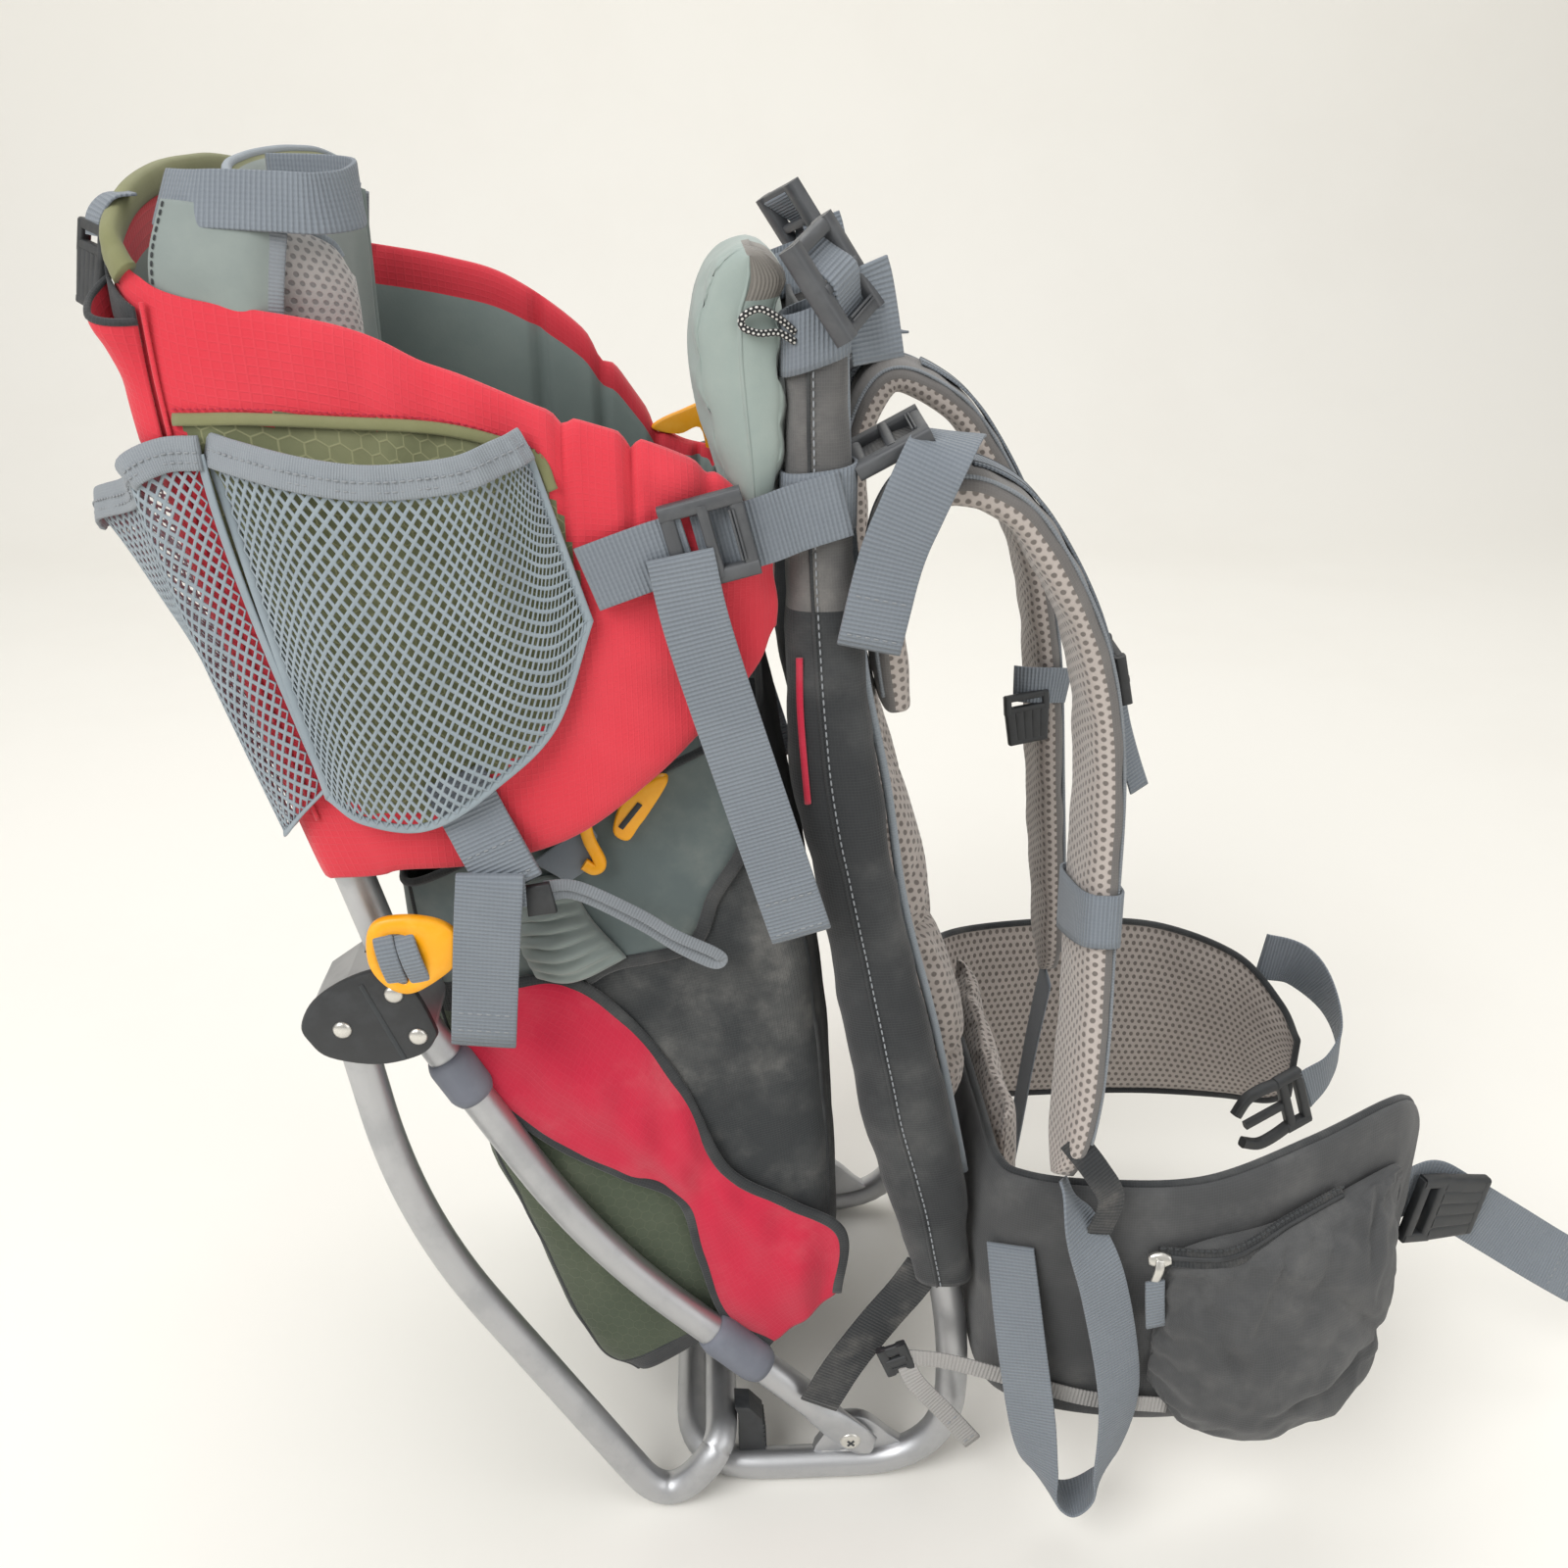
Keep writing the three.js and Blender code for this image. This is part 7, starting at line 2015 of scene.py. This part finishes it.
def make_small_parts():
    """Clips, tabs, narrow straps and slides that show in one place each."""
    loop = smooth([(x, -y, z) for x, z, y in PULL_LOOP], 80)
    made = piece("pull_loop", [bar(loop, (0.1, -1, 0.5), 2.9, 0.8, 12, 4.0)], [BINDING], "webbing_grey")
    metres(loop) * 0.75
    webbing("hip_light_strap", LIGHT_STRAP, 11, finish=LIGHT_WEBBING, thick=1.4)
    webbing("hip_light_tail", LIGHT_TAIL, 11, finish=LIGHT_WEBBING, thick=1.4, sewn=True)
    webbing("bag_strap", BAG_STRAP, 24, finish=DARK_WEBBING, slot="fabric_black")
    webbing("strap_tongue", TONGUE, 15, finish=DARK_WEBBING, slot="fabric_black")
    webbing("sternum_web", STERNUM_WEB, 22)
    webbing("sternum_tail", STERNUM_TAIL, 12, thick=1.4)
    black_piece("hip_small_lock", ladder_lock((121, -142.5, 112), (0.4, 0, -1), (0, -1, 0), 18, 20, 4.5))
    hook = smooth([(x, -124, z) for x, z in HOOK], 30)
    skins = [bar(hook, (0, -1, 0), 3.2, 2.2, 14, 3.0), slab(rounded(CLIP_TAB, 5), -117, -122.5, 1.4)]
    # A dark bar along the tab's slot: painted shade in the slot, in the dark thread finish.
    slot_shade_line = np.array([(-24, -123, 449), (-14, -123, 462)])
    skins.append(bar(even(slot_shade_line, 8), (0, -1, 0), 1.5, 0.6, 10, finish=1))
    piece("yellow_clips_right", skins, [YELLOW_PLASTIC, DARK_THREAD], "plastic_yellow", crease=50)
    piece("yellow_clip_left", [slab(rounded(FAR_CLIP, 5), 132, 138, 1.4)], [YELLOW_PLASTIC],
          "plastic_yellow", crease=50)
    black_piece("seat_bar", [slab(SEAT_BAR, -153.5, -157.5, 1.0)], crease=50)
    piece("grey_tab", [slab(GREY_TAB, -119.5, -121.5, 0.6)], [WEBBING], "webbing_grey", crease=50)
    body = buckle((-234, -115, 713), (-0.2, -0.05, -0.97), (-0.8, -0.6, 0.1), False, scale=0.66)
    webbing("rear_tab", REAR_TAB, 18, thick=1.4)
    black_piece("rear_buckle", body)
    black_piece("sternum_buckle", buckle((210.7, 38, 437), (0.1, 0, -1), (0.2, -1, 0.1), False, scale=0.6))
    line, out, wide, thick = strap_lines("right", -1, 170)
    _, normal, across = frames_of(line, out)
    at = int(np.argmin(np.abs(line[:, 2] - 512) + 999 * (line[:, 0] < 190)))
    slide = ladder_lock(line[at] + normal[at] * (thick[at] + 3.5), line[at + 1] - line[at], normal[at], 34,
                        26, 6)
    tail = np.stack([line[at] + normal[at] * out_by - [0, 0, down]
                     for out_by, down in ((14, 0), (16, 16), (13, 34))])
    black_piece("sternum_slide", [*slide, bar(smooth(tail, 16), across[at], 0.9, 5.5, 12, 4.0)])
    at = int(np.argmin(np.abs(line[:, 2] - 388) + 999 * (line[:, 0] < 190)))
    rings = slice(at - 3, at + 4)
    keeper = strip_grid(line[rings], out[rings], wide[rings] + 2.2, thick[rings] + 2.6, 48, 3.4)
    made = piece("strap_keeper", [skin(np.swapaxes(keeper, 0, 1), round_u=True)], [WEBBING], "webbing_grey",
                 wall=1.6, outward=False)


for side_name, side_sign in SIDES.items():
    sag = LEFT_SAG if side_sign > 0 else 0
    drops = {"lifter": 0, "shoulder": LEFT_LOCK_SHIFT if side_sign < 0 else 0, "side": (0, 0, sag)}
    for kind, rows in LOCKS.items():
        centre, along, face = np.array(rows) * [1, side_sign, 1]
        lock = ladder_lock(centre - drops[kind], along, face, **LOCK_SIZE[kind])
        piece(f"{kind}_slide_{side_name}", lock, [LOCK_PLASTIC], "plastic_black",
              [f"{kind}_lock_{side_name}"], crease=60)
    lock = yellow_lock((-127, side_sign * 159.5, 401), side_sign)
    piece(f"seat_slide_{side_name}", lock, [YELLOW_PLASTIC, WEBBING], "plastic_yellow",
          [f"seat_lock_{side_name}"])
for side_name, rows in BELT_BUCKLES.items():
    black_piece(f"belt_buckle_half_{side_name}", buckle(*rows), [f"belt_buckle_{side_name}"])
make_cuff()
make_elastic()
make_small_parts()
fill_soft()
